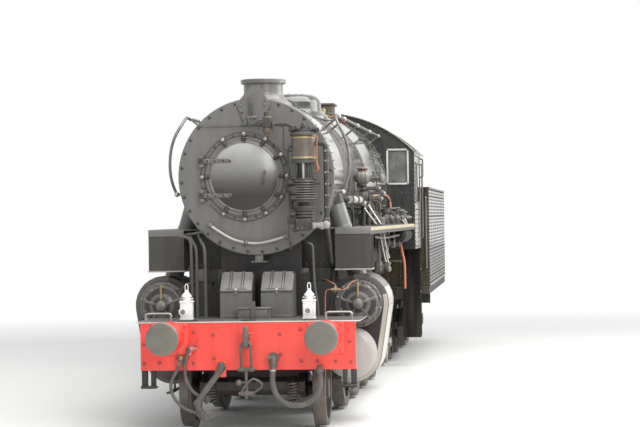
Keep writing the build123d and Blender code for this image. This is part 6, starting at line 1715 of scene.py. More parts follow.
@dataclass
class HoseFittings:
    """The elbows, cocks, bands and coupling heads on the four hoses.

    Args:
        face: Where the beam's face lies.
    """

    face: float = BEAM

    def build(self) -> None:
        """Make the details of the fittings."""
        form = Form("hose_metal_fittings")
        form.turned((self.face, 0.285, 0.81), FORE, mm(0, 62, 14, 62, 17, 57, 18, 40, 50, 38), Look.FITTING, 24)
        form.bolts(circle_places(self.face - 0.015, (0.285, 0.81), 0.05, 4, 45.0), FORE, 0.008, Look.FITTING)
        form.turned((0.4757, 0.29, 0.835), DOWN,
                    mm(0, 0, 0, 22, 10, 36, 50, 39, 56, 34, 90, 34, 100, 43, 115, 43, 120, 37), Look.FITTING, 24)
        form.turned((0.466, 0.292, 0.8), Vector((-0.006, 0.006, -1)), mm(0, 33, 35, 33), Look.FITTING, 20)
        form.bar((0.52, 0.287, 0.81), (0.476, 0.289, 0.8), 0.034, Look.FITTING, 20)
        form.turned((0.47, 0.232, 0.815), LEFT, mm(0, 12, 4, 20, 20, 20, 24, 31, 36, 31, 38, 26, 55, 26),
                    Look.FITTING, 8)
        form.bar((0.47, 0.232, 0.833), (0.47, 0.262, 0.858), 0.007, Look.FITTING)
        form.turned((0.463, 0.29, 0.79), DOWN, mm(0, 36, 22, 36, 28, 40, 48, 40), Look.FITTING, 24)
        form.turned((0.463, 0.284, 0.688), DOWN, mm(0, 32.5, 1, 37, 17, 37, 18, 32.5), Look.STEEL, 24)
        form.turned((0.46, 0.8, 0.68), UP, mm(-22, 33, -20, 41, 0, 44, 14, 42, 18, 28, 50, 25), Look.FITTING, 24)
        form.bar((0.462, 0.797, 0.715), (0.5395, 0.797, 0.715), 0.016, Look.FITTING)
        form.turned((0.478, -0.296, 0.69), Vector((-0.14, 0.07, 0.98)), mm(-12, 34, -10, 40, 30, 41, 34, 34, 60, 33),
                    Look.FITTING, 24)
        form.bar((0.485, -0.292, 0.742), (0.5255, -0.292, 0.744), 0.033, Look.FITTING, 20)
        form.ball((0.485, -0.292, 0.742), 0.034, Look.FITTING, 20)
        self._heads(form)
        form.place()
        form = Form("hose_cocks_brass_and_red")
        form.turned((self.face, -0.735, 0.818), FORE, mm(0, 34, 12, 34, 14, 24, 60, 24), Look.BRASS, 6)
        form.ball((0.4815, -0.735, 0.815), 0.029, Look.BRASS, 20)
        form.turned((0.48, -0.738, 0.8), Vector((0.0, -0.15, -1)), mm(0, 20, 20, 20, 22, 26, 50, 26, 52, 20),
                    Look.BRASS, 6)
        form.band([(0.49, -0.735, 0.845), (0.492, -0.76, 0.86), (0.494, -0.8, 0.872)], (0.018, 0.016, 0.02), FORE,
                  0.006, Look.BRASS)
        form.turned((self.face, -0.612, 0.917), FORE, mm(0, 40, 12, 40, 14, 26, 50, 26), Look.ROSE, 6)
        form.ball((0.489, -0.617, 0.917), 0.03, Look.ROSE, 20)
        form.turned((0.489, -0.6, 0.925), LEFT, mm(0, 22, 30, 22, 36, 14, 50, 14), Look.ROSE, 8)
        form.turned((0.489, -0.628, 0.925), -LEFT, mm(0, 24, 30, 24, 34, 12, 50, 10), Look.FITTING, 8)
        form.band([(0.482, -0.6, 0.94), (0.478, -0.565, 0.975), (0.474, -0.545, 1.01), (0.474, -0.54, 1.045)],
                  (0.012, 0.01, 0.01, 0.012), FORE, 0.005, Look.RUSTY)
        form.turned((0.487, -0.625, 0.9), Vector((0.0, -0.35, -1)), mm(0, 20, 30, 20, 32, 23, 50, 23), Look.ROSE, 12)
        form.place()

    @staticmethod
    def _heads(form: Form) -> None:
        """Add the coupling heads on the hoses' lower ends."""
        form.turned((0.444, -0.54, 0.345), DOWN, mm(-12, 34, -10, 42, 40, 42, 44, 36, 110, 35), Look.FITTING, 20)
        form.band([(0.444, -0.53, 0.262), (0.444, -0.518, 0.225), (0.444, -0.49, 0.185), (0.444, -0.452, 0.165),
                   (0.444, -0.41, 0.166), (0.444, -0.38, 0.19), (0.444, -0.355, 0.235)],
                  (0.06, 0.07, 0.072, 0.07, 0.064, 0.056, 0.046), FORE, 0.062, Look.FITTING)
        form.bolts([(0.409, -0.455, 0.165), (0.409, -0.5, 0.205)], FORE, 0.014, Look.FITTING)
        for y, z, s in ((-0.52, 0.205, 0.45), (-0.462, 0.362, 0.535)):
            form.turned((s + 0.021, y, z), FORE, mm(0, 30, 4, 40, 30, 42, 34, 36, 40, 36, 42, 22, 42.5, 0),
                        Look.FITTING, 24)
            form.bar((s, y, z), (s, y - 0.045, z + 0.015), 0.024, Look.FITTING)
            form.slab((s - 0.026, s - 0.012), (y - 0.012, y + 0.012), (z - 0.05, z + 0.046), Look.FITTING, 0.004)


@dataclass
class Toolboxes:
    """The two toolboxes with their lifting lids.

    Args:
        inner: The inner side of the left box.
        outer: Its outer side.
        low: The slope's foot, as (s, z).
        high: The slope's top, as (s, z).
        foot: The boxes' foot.
    """

    inner: float = 0.052
    outer: float = 0.416
    low: Span = (1.352, 1.521)
    high: Span = (1.55, 1.71)
    foot: float = 1.2153

    def slope(self, share: float, off: float) -> Span:
        """Return the (s, z) of a place on the slope, lifted off it."""
        along = (self.high[0] - self.low[0], self.high[1] - self.low[1])
        length = math.hypot(*along)
        return (self.low[0] + share * along[0] - off * along[1] / length,
                self.low[1] + share * along[1] + off * along[0] / length)

    def build(self) -> None:
        """Make both boxes' trim and both lids."""
        form = Form("toolbox_trim")
        for side, body, node in ((1, Body.LID_LEFT, "toolbox_lid_left"), (-1, Body.LID_RIGHT, "toolbox_lid_right")):
            self._lid(side, body, node)
            ends = span(side * (self.inner - 0.003), side * (self.outer + 0.003))
            form.slab((1.345, 1.76), ends, (self.foot - 0.0005, self.foot + 0.03), Look.TOOLBOX, 0.005)
            # This dark strip under the lid's lip is a painted shadow.
            form.slab((1.3495, 1.354), ends, (1.498, 1.512), Look.LUG, 0.002)
            middle = (ends[0] + ends[1]) / 2
            form.slab((1.344, 1.352), (middle - 0.02, middle + 0.02), (1.47, 1.515), Look.TOOLBOX, 0.003)
            for y in (ends[0] + 0.02, ends[1] - 0.02):
                form.rivets([(1.352, y, z) for z in spread(1.27, 1.48, 5)], FORE, 0.006, Look.TOOLBOX)
            for y in (ends[0] + 0.003, ends[1] - 0.003):
                way = RIGHT if y == ends[0] + 0.003 else LEFT
                form.rivets([(s, y, 1.27) for s in spread(1.4, 1.7, 6)], way, 0.006, Look.TOOLBOX)
        form.place()

    def _lid(self, side: int, body: Body, node: str) -> None:
        """Make one lid with its raised panel, straps and knob.

        Args:
            side: 1 for the left lid, -1 for the right.
            body: The lid's body.
            node: The node that it stands for.
        """
        form = Form(f"{node}_plate")
        ends = span(side * (self.inner + 0.002), side * (self.outer - 0.002))
        middle = (ends[0] + ends[1]) / 2

        def sheet(first: float, last: float, low: float, high: float, across: Span, look: Look) -> None:
            """Add a flat layer on the slope."""
            form.side([self.slope(first, low), self.slope(last, low), self.slope(last, high),
                       self.slope(first, high)], across, look, 0.0015)

        sheet(-0.02, 0.965, 0.0006, 0.008, ends, Look.LID)
        sheet(0.09, 0.9, 0.007, 0.0112, (ends[0] + 0.026, ends[1] - 0.026), Look.LID)
        sheet(-0.02, 0.035, 0.007, 0.0125, ends, Look.LID)
        # This dark band across the lid is painted shade in its slot.
        sheet(0.045, 0.085, 0.007, 0.0118, (middle - 0.105, middle + 0.105), Look.LUG)
        for off in (-0.1, 0.1):
            sheet(0.02, 0.16, 0.01, 0.0135, (middle + off - 0.004, middle + off + 0.004), Look.LUG)
        sheet(-0.018, 0.06, 0.01, 0.022, (middle - 0.012, middle + 0.012), Look.WHITE)
        hinge = (self.high[0] + 0.004, self.high[1] + 0.014)
        form.turned((hinge[0], ends[0] + 0.017, hinge[1]), LEFT, [(0, 0.0055), (0, 0.008), (ends[1] - ends[0] - 0.034,
                0.008), (ends[1] - ends[0] - 0.034, 0.0055)], Look.LID, 16)
        form.side([self.slope(0.9, 0.0015), (hinge[0], hinge[1] - 0.005), (hinge[0], hinge[1] + 0.005),
                   self.slope(0.9, 0.008)], (ends[0] + 0.02, ends[1] - 0.02), Look.LID, 0.001)
        for off in (-0.068, 0.068):
            rise = [self.slope(0.06, 0.012), self.slope(0.45, 0.0125), self.slope(0.8, 0.0135),
                    self.slope(1.0, 0.021), self.slope(1.07, 0.0205)]
            for edge in (-0.013, 0.013):
                form.band([(s, middle + off + edge, z) for s, z in rise], [0.007] * 5, LEFT, 0.006, Look.LUG)
            form.slab((rise[-1][0] - 0.004, rise[-1][0] + 0.004), (middle + off - 0.016, middle + off + 0.016),
                      (rise[-1][1] - 0.003, rise[-1][1] + 0.004), Look.LID)
        form.place(body, [node])


@dataclass
class FrontDeck:
    """What stands on the front deck: rails, plates, pipes, the slotted iron and the middle box.

    Args:
        top: The deck's height.
    """

    top: float = 1.215

    def build(self) -> None:
        """Make the pieces on the deck."""
        form = Form("deck_edge_strip")
        form.slab((0.5345, 0.5395), (-1.2455, 1.2455), (1.2032, 1.2165), Look.DECKEDGE, 0.001)
        for side in SIDES:
            form.slab((0.54, 1.54), (side * 1.2445 - 0.001, side * 1.2445 + 0.001), (1.2032, 1.2156), Look.EDGE, 0.0005)
            form.rivets([(s, side * 1.225, self.top) for s in spread(0.6, 1.5, 9)], UP, 0.007, Look.DECK)
        form.rivets([(0.575, y, self.top) for y in spread(-1.2, 1.2, 17) if 0.1 < abs(y) < 0.6 or abs(y) > 0.8], UP,
                    0.007, Look.DECK)
        form.place()
        form = Form("deck_black_plates_and_box")
        for y in (0.675, -0.69):
            form.slab((0.5445, 0.7705), (y - 0.0555, y + 0.0955), (self.top - 0.0005, self.top + 0.0161), Look.FRAME,
                      0.003)
            form.bolts([(0.56, y + off, self.top + 0.016) for off in (-0.04, 0.08)], UP, 0.009, Look.FRAME)
        form.slab((0.5445, 0.6655), (-0.0655, 0.0855), (self.top - 0.0005, self.top + 0.0165), Look.FRAME, 0.003)
        form.slab((1.0575, 1.061), (-0.16, 0.16), (1.235, 1.32), Look.TOOLBOX, 0.001)
        form.slab((1.047, 1.313), (-0.188, 0.188), (1.323, 1.3425), Look.TOOLBOX, 0.004)
        form.rivets([(1.06, y, 1.25) for y in spread(-0.16, 0.16, 6)], FORE, 0.006, Look.TOOLBOX)
        form.place()
        form = Form("deck_slotted_iron")
        for y in (-0.0245, 0.0085):
            form.slab((1.0345, 1.0535), (y, y + 0.016), (self.top, 1.39), Look.RAIL, 0.002)
        form.slab((1.0345, 1.0535), (-0.0245, 0.0245), (1.385, 1.4135), Look.RAIL, 0.004)
        form.slab((1.0355, 1.0525), (-0.0245, 0.0245), (self.top, 1.27), Look.RAIL, 0.003)
        form.place()
        piping = Piping("deck_grab_rails")
        for y in (0.86, -1.147):
            piping.run([(0.64, y, 1.213), (0.64, y, 1.27), (0.64, y + 0.006, 1.298), (0.64, y + 0.05, 1.302),
                        (0.64, y + 0.237, 1.302), (0.64, y + 0.281, 1.298), (0.64, y + 0.287, 1.27),
                        (0.64, y + 0.287, 1.213)], 0.0136, Look.BRIGHTRAIL)
        piping.place()
        self._pipes()

    def _pipes(self) -> None:
        """Make the pipes that rise from the deck."""
        piping = Piping("deck_pipes")
        for y, s in ((-0.676, 1.34), (-0.573, 1.3)):
            piping.run([(s, y, 1.214), (s, y, 1.55), (s, y, 1.92), (s + 0.02, y - 0.012, 2.03),
                        (s + 0.12, y - 0.07, 2.1), (s + 0.3, y - 0.12, 2.16)], 0.0185, Look.PIPE)
        piping.run([(1.34, -0.87, 2.14), (1.34, -0.8, 2.15), (1.34, -0.74, 2.11), (1.34, -0.735, 1.9),
                    (1.36, -0.735, 1.5), (1.36, -0.735, 1.214)], 0.0185, Look.PIPE)
        piping.run([(1.68, -0.86, 2.165), (1.6, -0.8, 2.17), (1.5, -0.7, 2.18), (1.45, -0.62, 2.2)], 0.016, Look.PIPE)
        piping.run([(1.32, 0.6, 2.06), (1.31, 0.655, 2.05), (1.3, 0.662, 1.96), (1.3, 0.668, 1.75),
                    (1.3, 0.675, 1.55), (1.3, 0.7, 1.42), (1.3, 0.712, 1.3), (1.3, 0.712, 1.214)], 0.012, Look.RAIL)
        piping.run([(0.9, 0.827, 1.214), (0.9, 0.828, 1.35), (0.9, 0.832, 1.48), (0.9, 0.84, 1.53),
                    (0.9, 0.875, 1.546), (0.9, 0.91, 1.542)], 0.0065, Look.COPPER)
        piping.run([(0.9, 0.99, 1.538), (0.92, 1.036, 1.536), (0.96, 1.07, 1.556), (1.02, 1.09, 1.59),
                    (1.3, 1.11, 1.62), (1.59, 1.137, 1.625)], 0.0065, Look.COPPER)
        piping.place()
        form = Form("deck_oil_valve")
        form.turned((0.9, 0.895, 1.54), LEFT, mm(0, 8, 4, 15, 18, 15, 20, 11, 26, 21, 56, 23, 72, 21, 76, 11, 80, 16,
                                                 100, 16, 104, 8), Look.BRASS, 16)
        form.turned((0.9, 0.942, 1.555), UP, mm(0, 12, 20, 12, 24, 6, 45, 6, 46, 14, 50, 14), Look.BRASS, 12)
        form.slab((0.9, 0.93), (0.935, 0.95), (1.5, 1.53), Look.RAIL)
        form.place()


@dataclass
class Cylinders:
    """The covers, studs, jackets and cocks of both cylinders and valve chests.

    Args:
        front: Where the cylinders' front ends lie.
        back: Where their back ends lie.
        bore: The cylinder's line, as (y, z).
        valve: The valve chest's line, as (y, z).
    """

    front: float = 1.8
    back: float = 2.74
    bore: Span = (1.04, 0.783)
    valve: Span = (1.138, 1.351)

    def build(self) -> None:
        """Make the pieces of both sides."""
        form = Form("cylinder_covers")
        for side in SIDES:
            self._covers(form, side)
            self._jacket(form, side)
        form.place()
        piping = Piping("cylinder_cocks_and_pipes")
        for side in SIDES:
            y = side * self.bore[0]
            for s in (1.88, 2.27, 2.66):
                piping.run([(s, y, 0.45), (s, y, 0.39), (s - 0.01, y, 0.365), (s - 0.08, y, 0.36),
                            (1.5, y + (s - 2.27) * 0.06, 0.355)], 0.014, Look.PIPE)
            piping.run([(1.62, side * 1.137, 1.36), (1.6, side * 1.137, 1.42), (1.6, side * 1.137, 1.6)], 0.0125,
                       Look.BRASS)
            piping.run([(1.66, side * 0.905, 1.5), (1.6, side * 0.9, 1.56), (1.62, side * 0.8, 1.62),
                        (1.75, side * 0.72, 1.64)], 0.009, Look.COPPER)
        piping.place()

    def _covers(self, form: Form, side: int) -> None:
        """Add the front covers with their studs, on one side."""
        y, z = side * self.bore[0], self.bore[1]
        cover = Look.COVER if side > 0 else Look.CYLINDER
        form.turned((self.front, y, z), FORE, mm(0, 299, 58, 299, 64, 293, 82, 262, 90, 248, 101, 190, 105, 150,
                                                 112.5, 120, 114.5, 50, 114.5, 0), cover, 64)
        if side < 0:
            form.bolts(circle_places(self.front - 0.066, (y, z), 0.276, 14, 12.0), FORE, 0.017, Look.CYLINDER)
        y, z = side * self.valve[0], self.valve[1]
        form.turned((self.front, y, z), FORE, mm(0, 272, 95.5, 272, 97.5, 268, 97.5, 236, 104, 231, 151.5, 229,
                                                 154, 222, 158, 190, 165.5, 160, 176, 131, 184, 120, 200, 75, 206, 62,
                                                 216.5, 58, 217, 0), Look.CHEST, 56)
        form.bolts(circle_places(self.front - 0.0965, (y, z), 0.252, 12, 15.0), FORE, 0.017, Look.CHEST)
        form.bolts(circle_places(self.front - 0.153, (y, z), 0.207, 10, 18.0), FORE, 0.018, Look.CHEST)
        for turn in (20, 92, 164, 236, 308):
            out = Vector((0.0, *compass(turn)))
            start = (self.front - 0.188, y + out.y * 0.06, z + out.z * 0.06)
            end = (self.front - 0.15, y + out.y * 0.2, z + out.z * 0.2)
            form.band([start, end], (0.022, 0.034), FORE.cross(out), 0.05, Look.CHEST)
        form.turned((self.front - 0.19, y, z), FORE, mm(0, 66, 20, 58, 42, 50, 46, 34, 52, 20, 52, 0), Look.SOFTSTEEL,
                    24)
        form.turned((self.front - 0.215, y, z + 0.005), UP, mm(0, 16, 30, 20, 50, 20, 55, 14), Look.BRASS, 8)

    def _jacket(self, form: Form, side: int) -> None:
        """Add the jacket, pale paint as a painted reflection of its polished steel, over the steam chest's flank and
        the casting's bands, on one side.
        """
        out = LEFT * side
        for first, last, look, off in ((self.front + 0.02, self.front + 0.075, Look.CHEST, 0.004),
                                       (self.front + 0.09, self.back - 0.09, Look.JACKET, 0.002),
                                       (self.back - 0.075, self.back - 0.02, Look.CHEST, 0.004)):
            line = arc(self.valve, 0.33 + off, spread(100, -8.8, 9), side)
            line += arc(self.bore, 0.34 + off, spread(-8.8, -112, 11), side)
            if look is Look.JACKET:
                form.skin(line[:6], (first, last), 0.006 * side, Look.CHEST)
                form.skin(line[5:], (first, last), 0.006 * side, look)
            else:
                form.skin(line, (first, last), 0.006 * side, look)
                if first < self.front + 0.05:
                    # On the left side only, a pale rim on the casting's front face is a painted highlight.
                    if side > 0:
                        form.skin(line[6:], (self.front - 0.004, self.front + 0.022), -0.05 * side, Look.JACKET)
                    form.skin(line, (self.front - 0.0025, self.front + 0.018), -0.055 * side, Look.CHEST)
        form.rivets([(s, side * (self.valve[0] + 0.3345), self.valve[1] - 0.03)
                     for s in spread(self.front + 0.12, self.back - 0.12, 8)], out, 0.007, Look.CHEST)


# Flank, cab and tender


@dataclass
class BoilerTrim:
    """What dresses the boiler, the chimney, the dome and the firebox.

    Args:
        middle: The boiler's middle height.
        box: The firebox's radius.
    """

    middle: float = BARREL
    box: float = 0.975

    def build(self) -> None:
        """Make the pieces on the boiler."""
        centre = (0.0, self.middle)
        form = Form("boiler_rivets_and_plugs")
        for s, radius in ((3.46, 0.9), (3.52, 0.906), (4.28, 0.906), (4.36, 0.906), (5.87, 0.906), (5.95, 0.906),
                          (7.29, 0.975), (8.95, 0.975)):
            form.studs(rim(s, centre, radius, spread(-24, 204, 58)), 0.009, Look.BOILER)
        for angle in (10, 17, 24):
            for s in spread(7.42, 9.18, 12):
                form.studs(rim(s, centre, self.box, (angle, 180 - angle)), 0.01, Look.BOILER)
        for s in (7.6, 8.1, 8.6, 9.05):
            for place, out in rim(s, centre, self.box, (26, 154)):
                form.turned(place, out, mm(-6, 50, 6, 50, 8, 34, 12, 34, 12, 20, 32, 20, 34, 0), Look.FITTING, 12)
        form.place()
        form = Form("barrel_front_cleading")
        for ends, radius in (((2.74, 3.365), 0.9025), ((3.545, 4.255), 0.9085)):
            line = arc((0.0, self.middle), radius, spread(-30, 210, 65))
            form.skin(line, ends, 0.004, Look.DULL)
        form.place()
        form = Form("boiler_band_clips")
        for s, radius in ((3.48, 0.914), (4.3, 0.914), (5.9, 0.914)):
            for place, out in rim(s, centre, radius, (-12, 192)):
                form.bolts([(place[0] + off, place[1], place[2]) for off in (-0.02, 0.02)], out, 0.01, Look.FITTING)
        form.place()
        self._mounts()

    def _mounts(self) -> None:
        """Dress the chimney, the dome, the safety valves and the turret."""
        form = Form("chimney_and_dome_trim")
        form.turned((2.3, 0.0, 0.0), UP, mm(3925, 233, 3928, 246, 3945, 247.5, 3962, 246, 3966, 233), Look.SMOKEBOX,
                    64, closed=True)
        form.turned((5.15, 0.0, 0.0), UP, mm(3752, 402, 3756, 409, 3776, 409, 3780, 402), Look.BOILER, 64,
                    closed=True)
        for turn in range(0, 360, 15):
            way = compass(turn)
            if abs(way[1]) < 0.8:
                form.studs([((5.15 - 0.43 * way[0], 0.43 * way[1], 3.718), Vector((way[0], way[1], 1.1)))], 0.012,
                           Look.BOILER)
        form.bolts(level_circle((5.15, 0.0, 3.9535), 0.2, range(0, 360, 30)), UP, 0.014, Look.BOILER)
        form.place()
        form = Form("safety_valve_tops_and_whistle")
        for y in (-0.11, 0.11):
            form.turned((7.7, y, 0.0), UP, mm(3800, 74, 3812, 83, 3828, 83, 3832, 64, 3860, 58, 3862, 64, 3870, 64,
                                              3872, 54, 3905, 54, 3912, 45, 3916, 20, 3926, 18, 3926, 0), Look.BRASS,
                        24)
            form.bolts(level_circle((7.7, y, 3.832), 0.068, range(0, 360, 60)), UP, 0.008, Look.BRASS)
        form.turned((8.82, 0.09, 0.0), UP, mm(3860, 32, 3870, 32, 3872, 15, 3895, 15, 3896, 27, 3944, 27, 3948, 18,
                                              3960, 6, 3970, 0), Look.BRASS, 20)
        for y in (-0.12, -0.04, 0.03):
            form.turned((8.82, y, 0.0), UP, mm(3868, 26, 3878, 26, 3880, 16, 3910, 16, 3912, 24, 3918, 24, 3918, 0),
                        Look.BRASS, 12)
        form.place()
        piping = Piping("turret_pipes")
        for y, reach in ((0.165, 0.55), (0.165, 0.42), (-0.165, -0.5)):
            side = 1 if y > 0 else -1
            piping.run([(8.8, y, 3.83), (8.84, y + 0.06 * side, 3.84), (9.0, reach * 0.9, 3.76), (9.3, reach, 3.7)],
                       0.014, Look.COPPER)
        piping.run([(8.75, 0.1, 3.87), (8.3, 0.2, 3.86), (7.6, 0.36, 3.79), (6.6, 0.44, 3.68), (5.4, 0.5, 3.62),
                    (4.0, 0.52, 3.575), (2.9, 0.53, 3.56)], 0.012, Look.LAGGING)
        piping.place()


@dataclass
class FlankFittings:
    """The feed vessel, valves, pipes and rods on and under the running boards.

    Args:
        board: The running boards' height.
    """

    board: float = 2.2265

    def build(self) -> None:
        """Make the fittings of the flank."""
        self._vessel()
        self._valves()
        self._pipes()
        self._below()
        self._casing()

    def _vessel(self) -> None:
        """Make the round vessel, its drum and its valve."""
        form = Form("feed_vessel_and_drum")
        form.turned((4.1, 1.02, 2.84), LEFT, mm(-108, 0, -104, 30, -86, 62, -55, 84, -20, 92, 20, 92, 55, 84, 86, 62,
                                                104, 30, 108, 0), Look.VESSEL, 32)
        for y in (0.975, 1.062):
            form.turned((4.1, y, 2.84), LEFT, mm(-4, 88, -4, 94.5, 6, 94.5, 6, 88), Look.FITTING, 32)
        form.turned((4.1, 1.02, 2.905), UP, mm(0, 64, 14, 66, 18, 50, 34, 50, 40, 70, 50, 72, 56, 60, 60, 0),
                    Look.RUSTROSE, 24)
        form.bolts(level_circle((4.1, 1.02, 2.955), 0.056, range(0, 360, 60)), UP, 0.011, Look.FITTING)
        for z, size in ((2.735, 0.052), (2.684, 0.058)):
            form.turned((4.1, 1.02, z), UP, [(0, size * 0.7), (0.002, size), (0.018, size), (0.02, size * 0.7)],
                        Look.FITTING, 20)
        form.turned((4.1, 0.918, 2.607), LEFT, mm(0, 20, 0, 50, 12, 66, 50, 69, 54, 61, 100, 61, 104, 69, 160, 69,
                                                  180, 60, 190, 36, 190, 0), Look.FITTING, 28)
        for turn in range(0, 360, 45):
            way = compass(turn)
            form.bolts([(4.1 - 0.05 * way[0], 0.925, 2.607 + 0.05 * way[1])], -LEFT, 0.01, Look.SOFTSTEEL)
        form.turned((4.1, 1.112, 2.828), LEFT, mm(-30, 30, 20, 30, 22, 44, 38, 44, 40, 28, 66, 28, 68, 40, 98, 42,
                                                  100, 24, 128, 24, 130, 34, 158, 34, 164, 20, 166, 0), Look.FITTING,
                    8)
        form.turned((4.1, 1.255, 2.785), UP, mm(0, 14, 0, 30, 20, 34, 60, 34, 80, 26, 100, 14, 100, 0),
                    Look.SOFTSTEEL, 12)
        for y, z, size, length in ((1.03, 2.7, 0.042, 0.2), (1.05, 2.64, 0.034, 0.24), (0.94, 2.735, 0.03, 0.12),
                                   (1.12, 2.57, 0.036, 0.14)):
            form.turned((4.12, y, z), LEFT, [(0, size * 0.5), (0.004, size), (0.03, size), (0.032, size * 0.6),
                                             (length - 0.05, size * 0.6), (length - 0.048, size * 1.15),
                                             (length - 0.01, size * 1.15), (length, size * 0.6), (length, 0)],
                        Look.FITTING, 12)
            form.turned((4.12, y + length, z), LEFT, [(-0.002, size * 0.5), (0.012, size * 0.5), (0.016, size * 0.2),
                                                      (0.017, 0)], Look.STEEL, 8)
        form.turned((4.1, 1.16, 2.77), UP, mm(0, 20, 40, 20, 50, 12, 120, 12, 125, 30, 140, 30, 145, 10, 150, 0),
                    Look.FITTING, 12)
        form.place()

    def _valves(self) -> None:
        """Make the row of valves on the running board and what stands beside them."""
        form = Form("board_valve_cluster")
        row_of = ((5.35, 1.215, 2.42, 0.05), (5.8, 1.265, 2.46, 0.046), (6.3, 1.1, 2.5, 0.044),
                  (6.75, 1.16, 2.44, 0.05), (7.05, 1.255, 2.47, 0.046), (7.6, 1.29, 2.43, 0.044),
                  (8.0, 1.16, 2.46, 0.05), (8.4, 1.28, 2.41, 0.042), (8.85, 1.2, 2.45, 0.044))
        for index, (s, y, top, size) in enumerate(row_of):
            low = self.board - 0.002
            form.turned((s, y, low), UP, [(0, size * 1.3), (0.014, size * 1.3), (0.016, size * 0.55),
                                          (0.05, size * 0.55), (0.06, size), (0.1, size * 1.12), (0.14, size),
                                          (0.15, size * 0.6), (0.165, size * 0.6), (0.167, size * 0.9),
                                          (0.185, size * 0.9), (0.187, size * 0.3), (top - low, size * 0.22),
                                          (top - low + 0.001, 0)], Look.FITTING, 16)
            form.ring((s, y, top - 0.01), UP, 0.048, 0.0075, Look.SOFTSTEEL if index % 2 else Look.FITTING, 24)
            for turn in (20, 140, 260):
                way = compass(turn)
                form.bar((s, y, top - 0.01), (s - 0.048 * way[0], y + 0.048 * way[1], top - 0.01), 0.005,
                         Look.FITTING, 6)
            form.turned((s, y - 0.11, low + 0.1), LEFT, [(0, size * 0.5), (0.02, size * 0.5), (0.022, size * 0.8),
                                                        (0.045, size * 0.8), (0.047, size * 0.5),
                                                        (0.17, size * 0.5), (0.172, size * 0.8),
                                                        (0.195, size * 0.8), (0.197, size * 0.45)], Look.FITTING, 8)
            form.bar((s, y + 0.08, low + 0.1), (s, y + 0.115, low + 0.1), 0.014, Look.SOFTSTEEL, 8)
            form.bar((s - 0.03, y - 0.105, low + 0.1), (s - 0.03, y - 0.105, low), 0.012, Look.COPPER, 10)
        for start, end in (((0.954, 2.452), (1.075, 2.238)), ((1.0, 2.458), (1.122, 2.238))):
            form.bar((5.5, *start), (5.5, *end), 0.0095, Look.STEEL, 10)
        form.turned((5.5, 0.93, 2.455), LEFT, mm(0, 20, 0, 34, 100, 34, 100, 20), Look.FITTING, 12)
        form.turned((5.2, 1.02, self.board), UP, mm(0, 50, 10, 50, 12, 30, 200, 26, 210, 40, 240, 40, 250, 20,
                                                    250, 0), Look.SOFTSTEEL, 16)
        form.slab((5.0, 5.25), (1.08, 1.22), (self.board - 0.001, self.board + 0.11), Look.FITTING, 0.01)
        form.bolts([(5.0, y, self.board + z) for y in (1.1, 1.2) for z in (0.025, 0.085)], FORE, 0.01, Look.SOFTSTEEL)
        form.place()

    def _pipes(self) -> None:
        """Make the pale and the copper pipes."""
        piping = Piping("flank_pipes")
        piping.run([(2.47, 0.985, 2.551), (3.3, 0.985, 2.552), (4.04, 0.985, 2.553)], 0.0455, Look.PALEPIPE)
        piping.run([(4.05, 0.84, 2.572), (4.05, 0.93, 2.545), (4.05, 1.03, 2.512), (4.05, 1.06, 2.5)], 0.04,
                   Look.PALEPIPE)
        piping.run([(4.1, 1.06, 2.615), (4.6, 1.1, 2.618), (5.4, 1.12, 2.63), (6.2, 1.14, 2.642)], 0.0215, Look.OCHRE)
        piping.run([(6.2, 1.14, 2.642), (6.4, 1.17, 2.62), (6.42, 1.2, 2.56), (6.42, 1.213, 2.48),
                    (6.42, 1.216, 2.32), (6.42, 1.216, 2.228)], 0.0215, Look.COPPER)
        for index, (y, z) in enumerate(((1.05, 2.5), (1.1, 2.53), (1.16, 2.36), (1.0, 2.4), (1.24, 2.34))):
            s = 5.2 + 0.45 * index
            piping.run([(s, 0.92, z + 0.02), (s, y - 0.05, z + 0.03), (s, y + 0.02, z), (s, y + 0.03, z - 0.08),
                        (s, y + 0.03, self.board - 0.01)], 0.012, Look.FITTING)
        for index, rise in enumerate((0.07, 0.1)):
            s, first, last = 7.2 + 0.25 * index, 1.13 + 0.02 * index, 1.37 + 0.01 * index
            middle = (first + last) / 2
            piping.run([(s, first, self.board), (s, first + 0.015, self.board + rise * 0.8),
                        (s, middle, self.board + rise * 1.15), (s, last - 0.015, self.board + rise * 0.8),
                        (s, last, self.board)], 0.008, Look.STEEL)
        for s in (3.0, 4.6, 6.2):
            piping.run([(s, 0.86, 2.45), (s, 0.94, 2.46), (s, 0.98, 2.42), (s, 0.985, 2.32), (s, 0.985, 2.22)], 0.014,
                       Look.LAGGING)
        piping.place()
        form = Form("flank_pipe_flanges")
        for s in (2.49, 3.3, 4.02):
            form.turned((s, 0.985, 2.552), AFT, mm(-12, 46, -12, 62, 12, 62, 12, 46), Look.FITTING, 20)
        form.place()

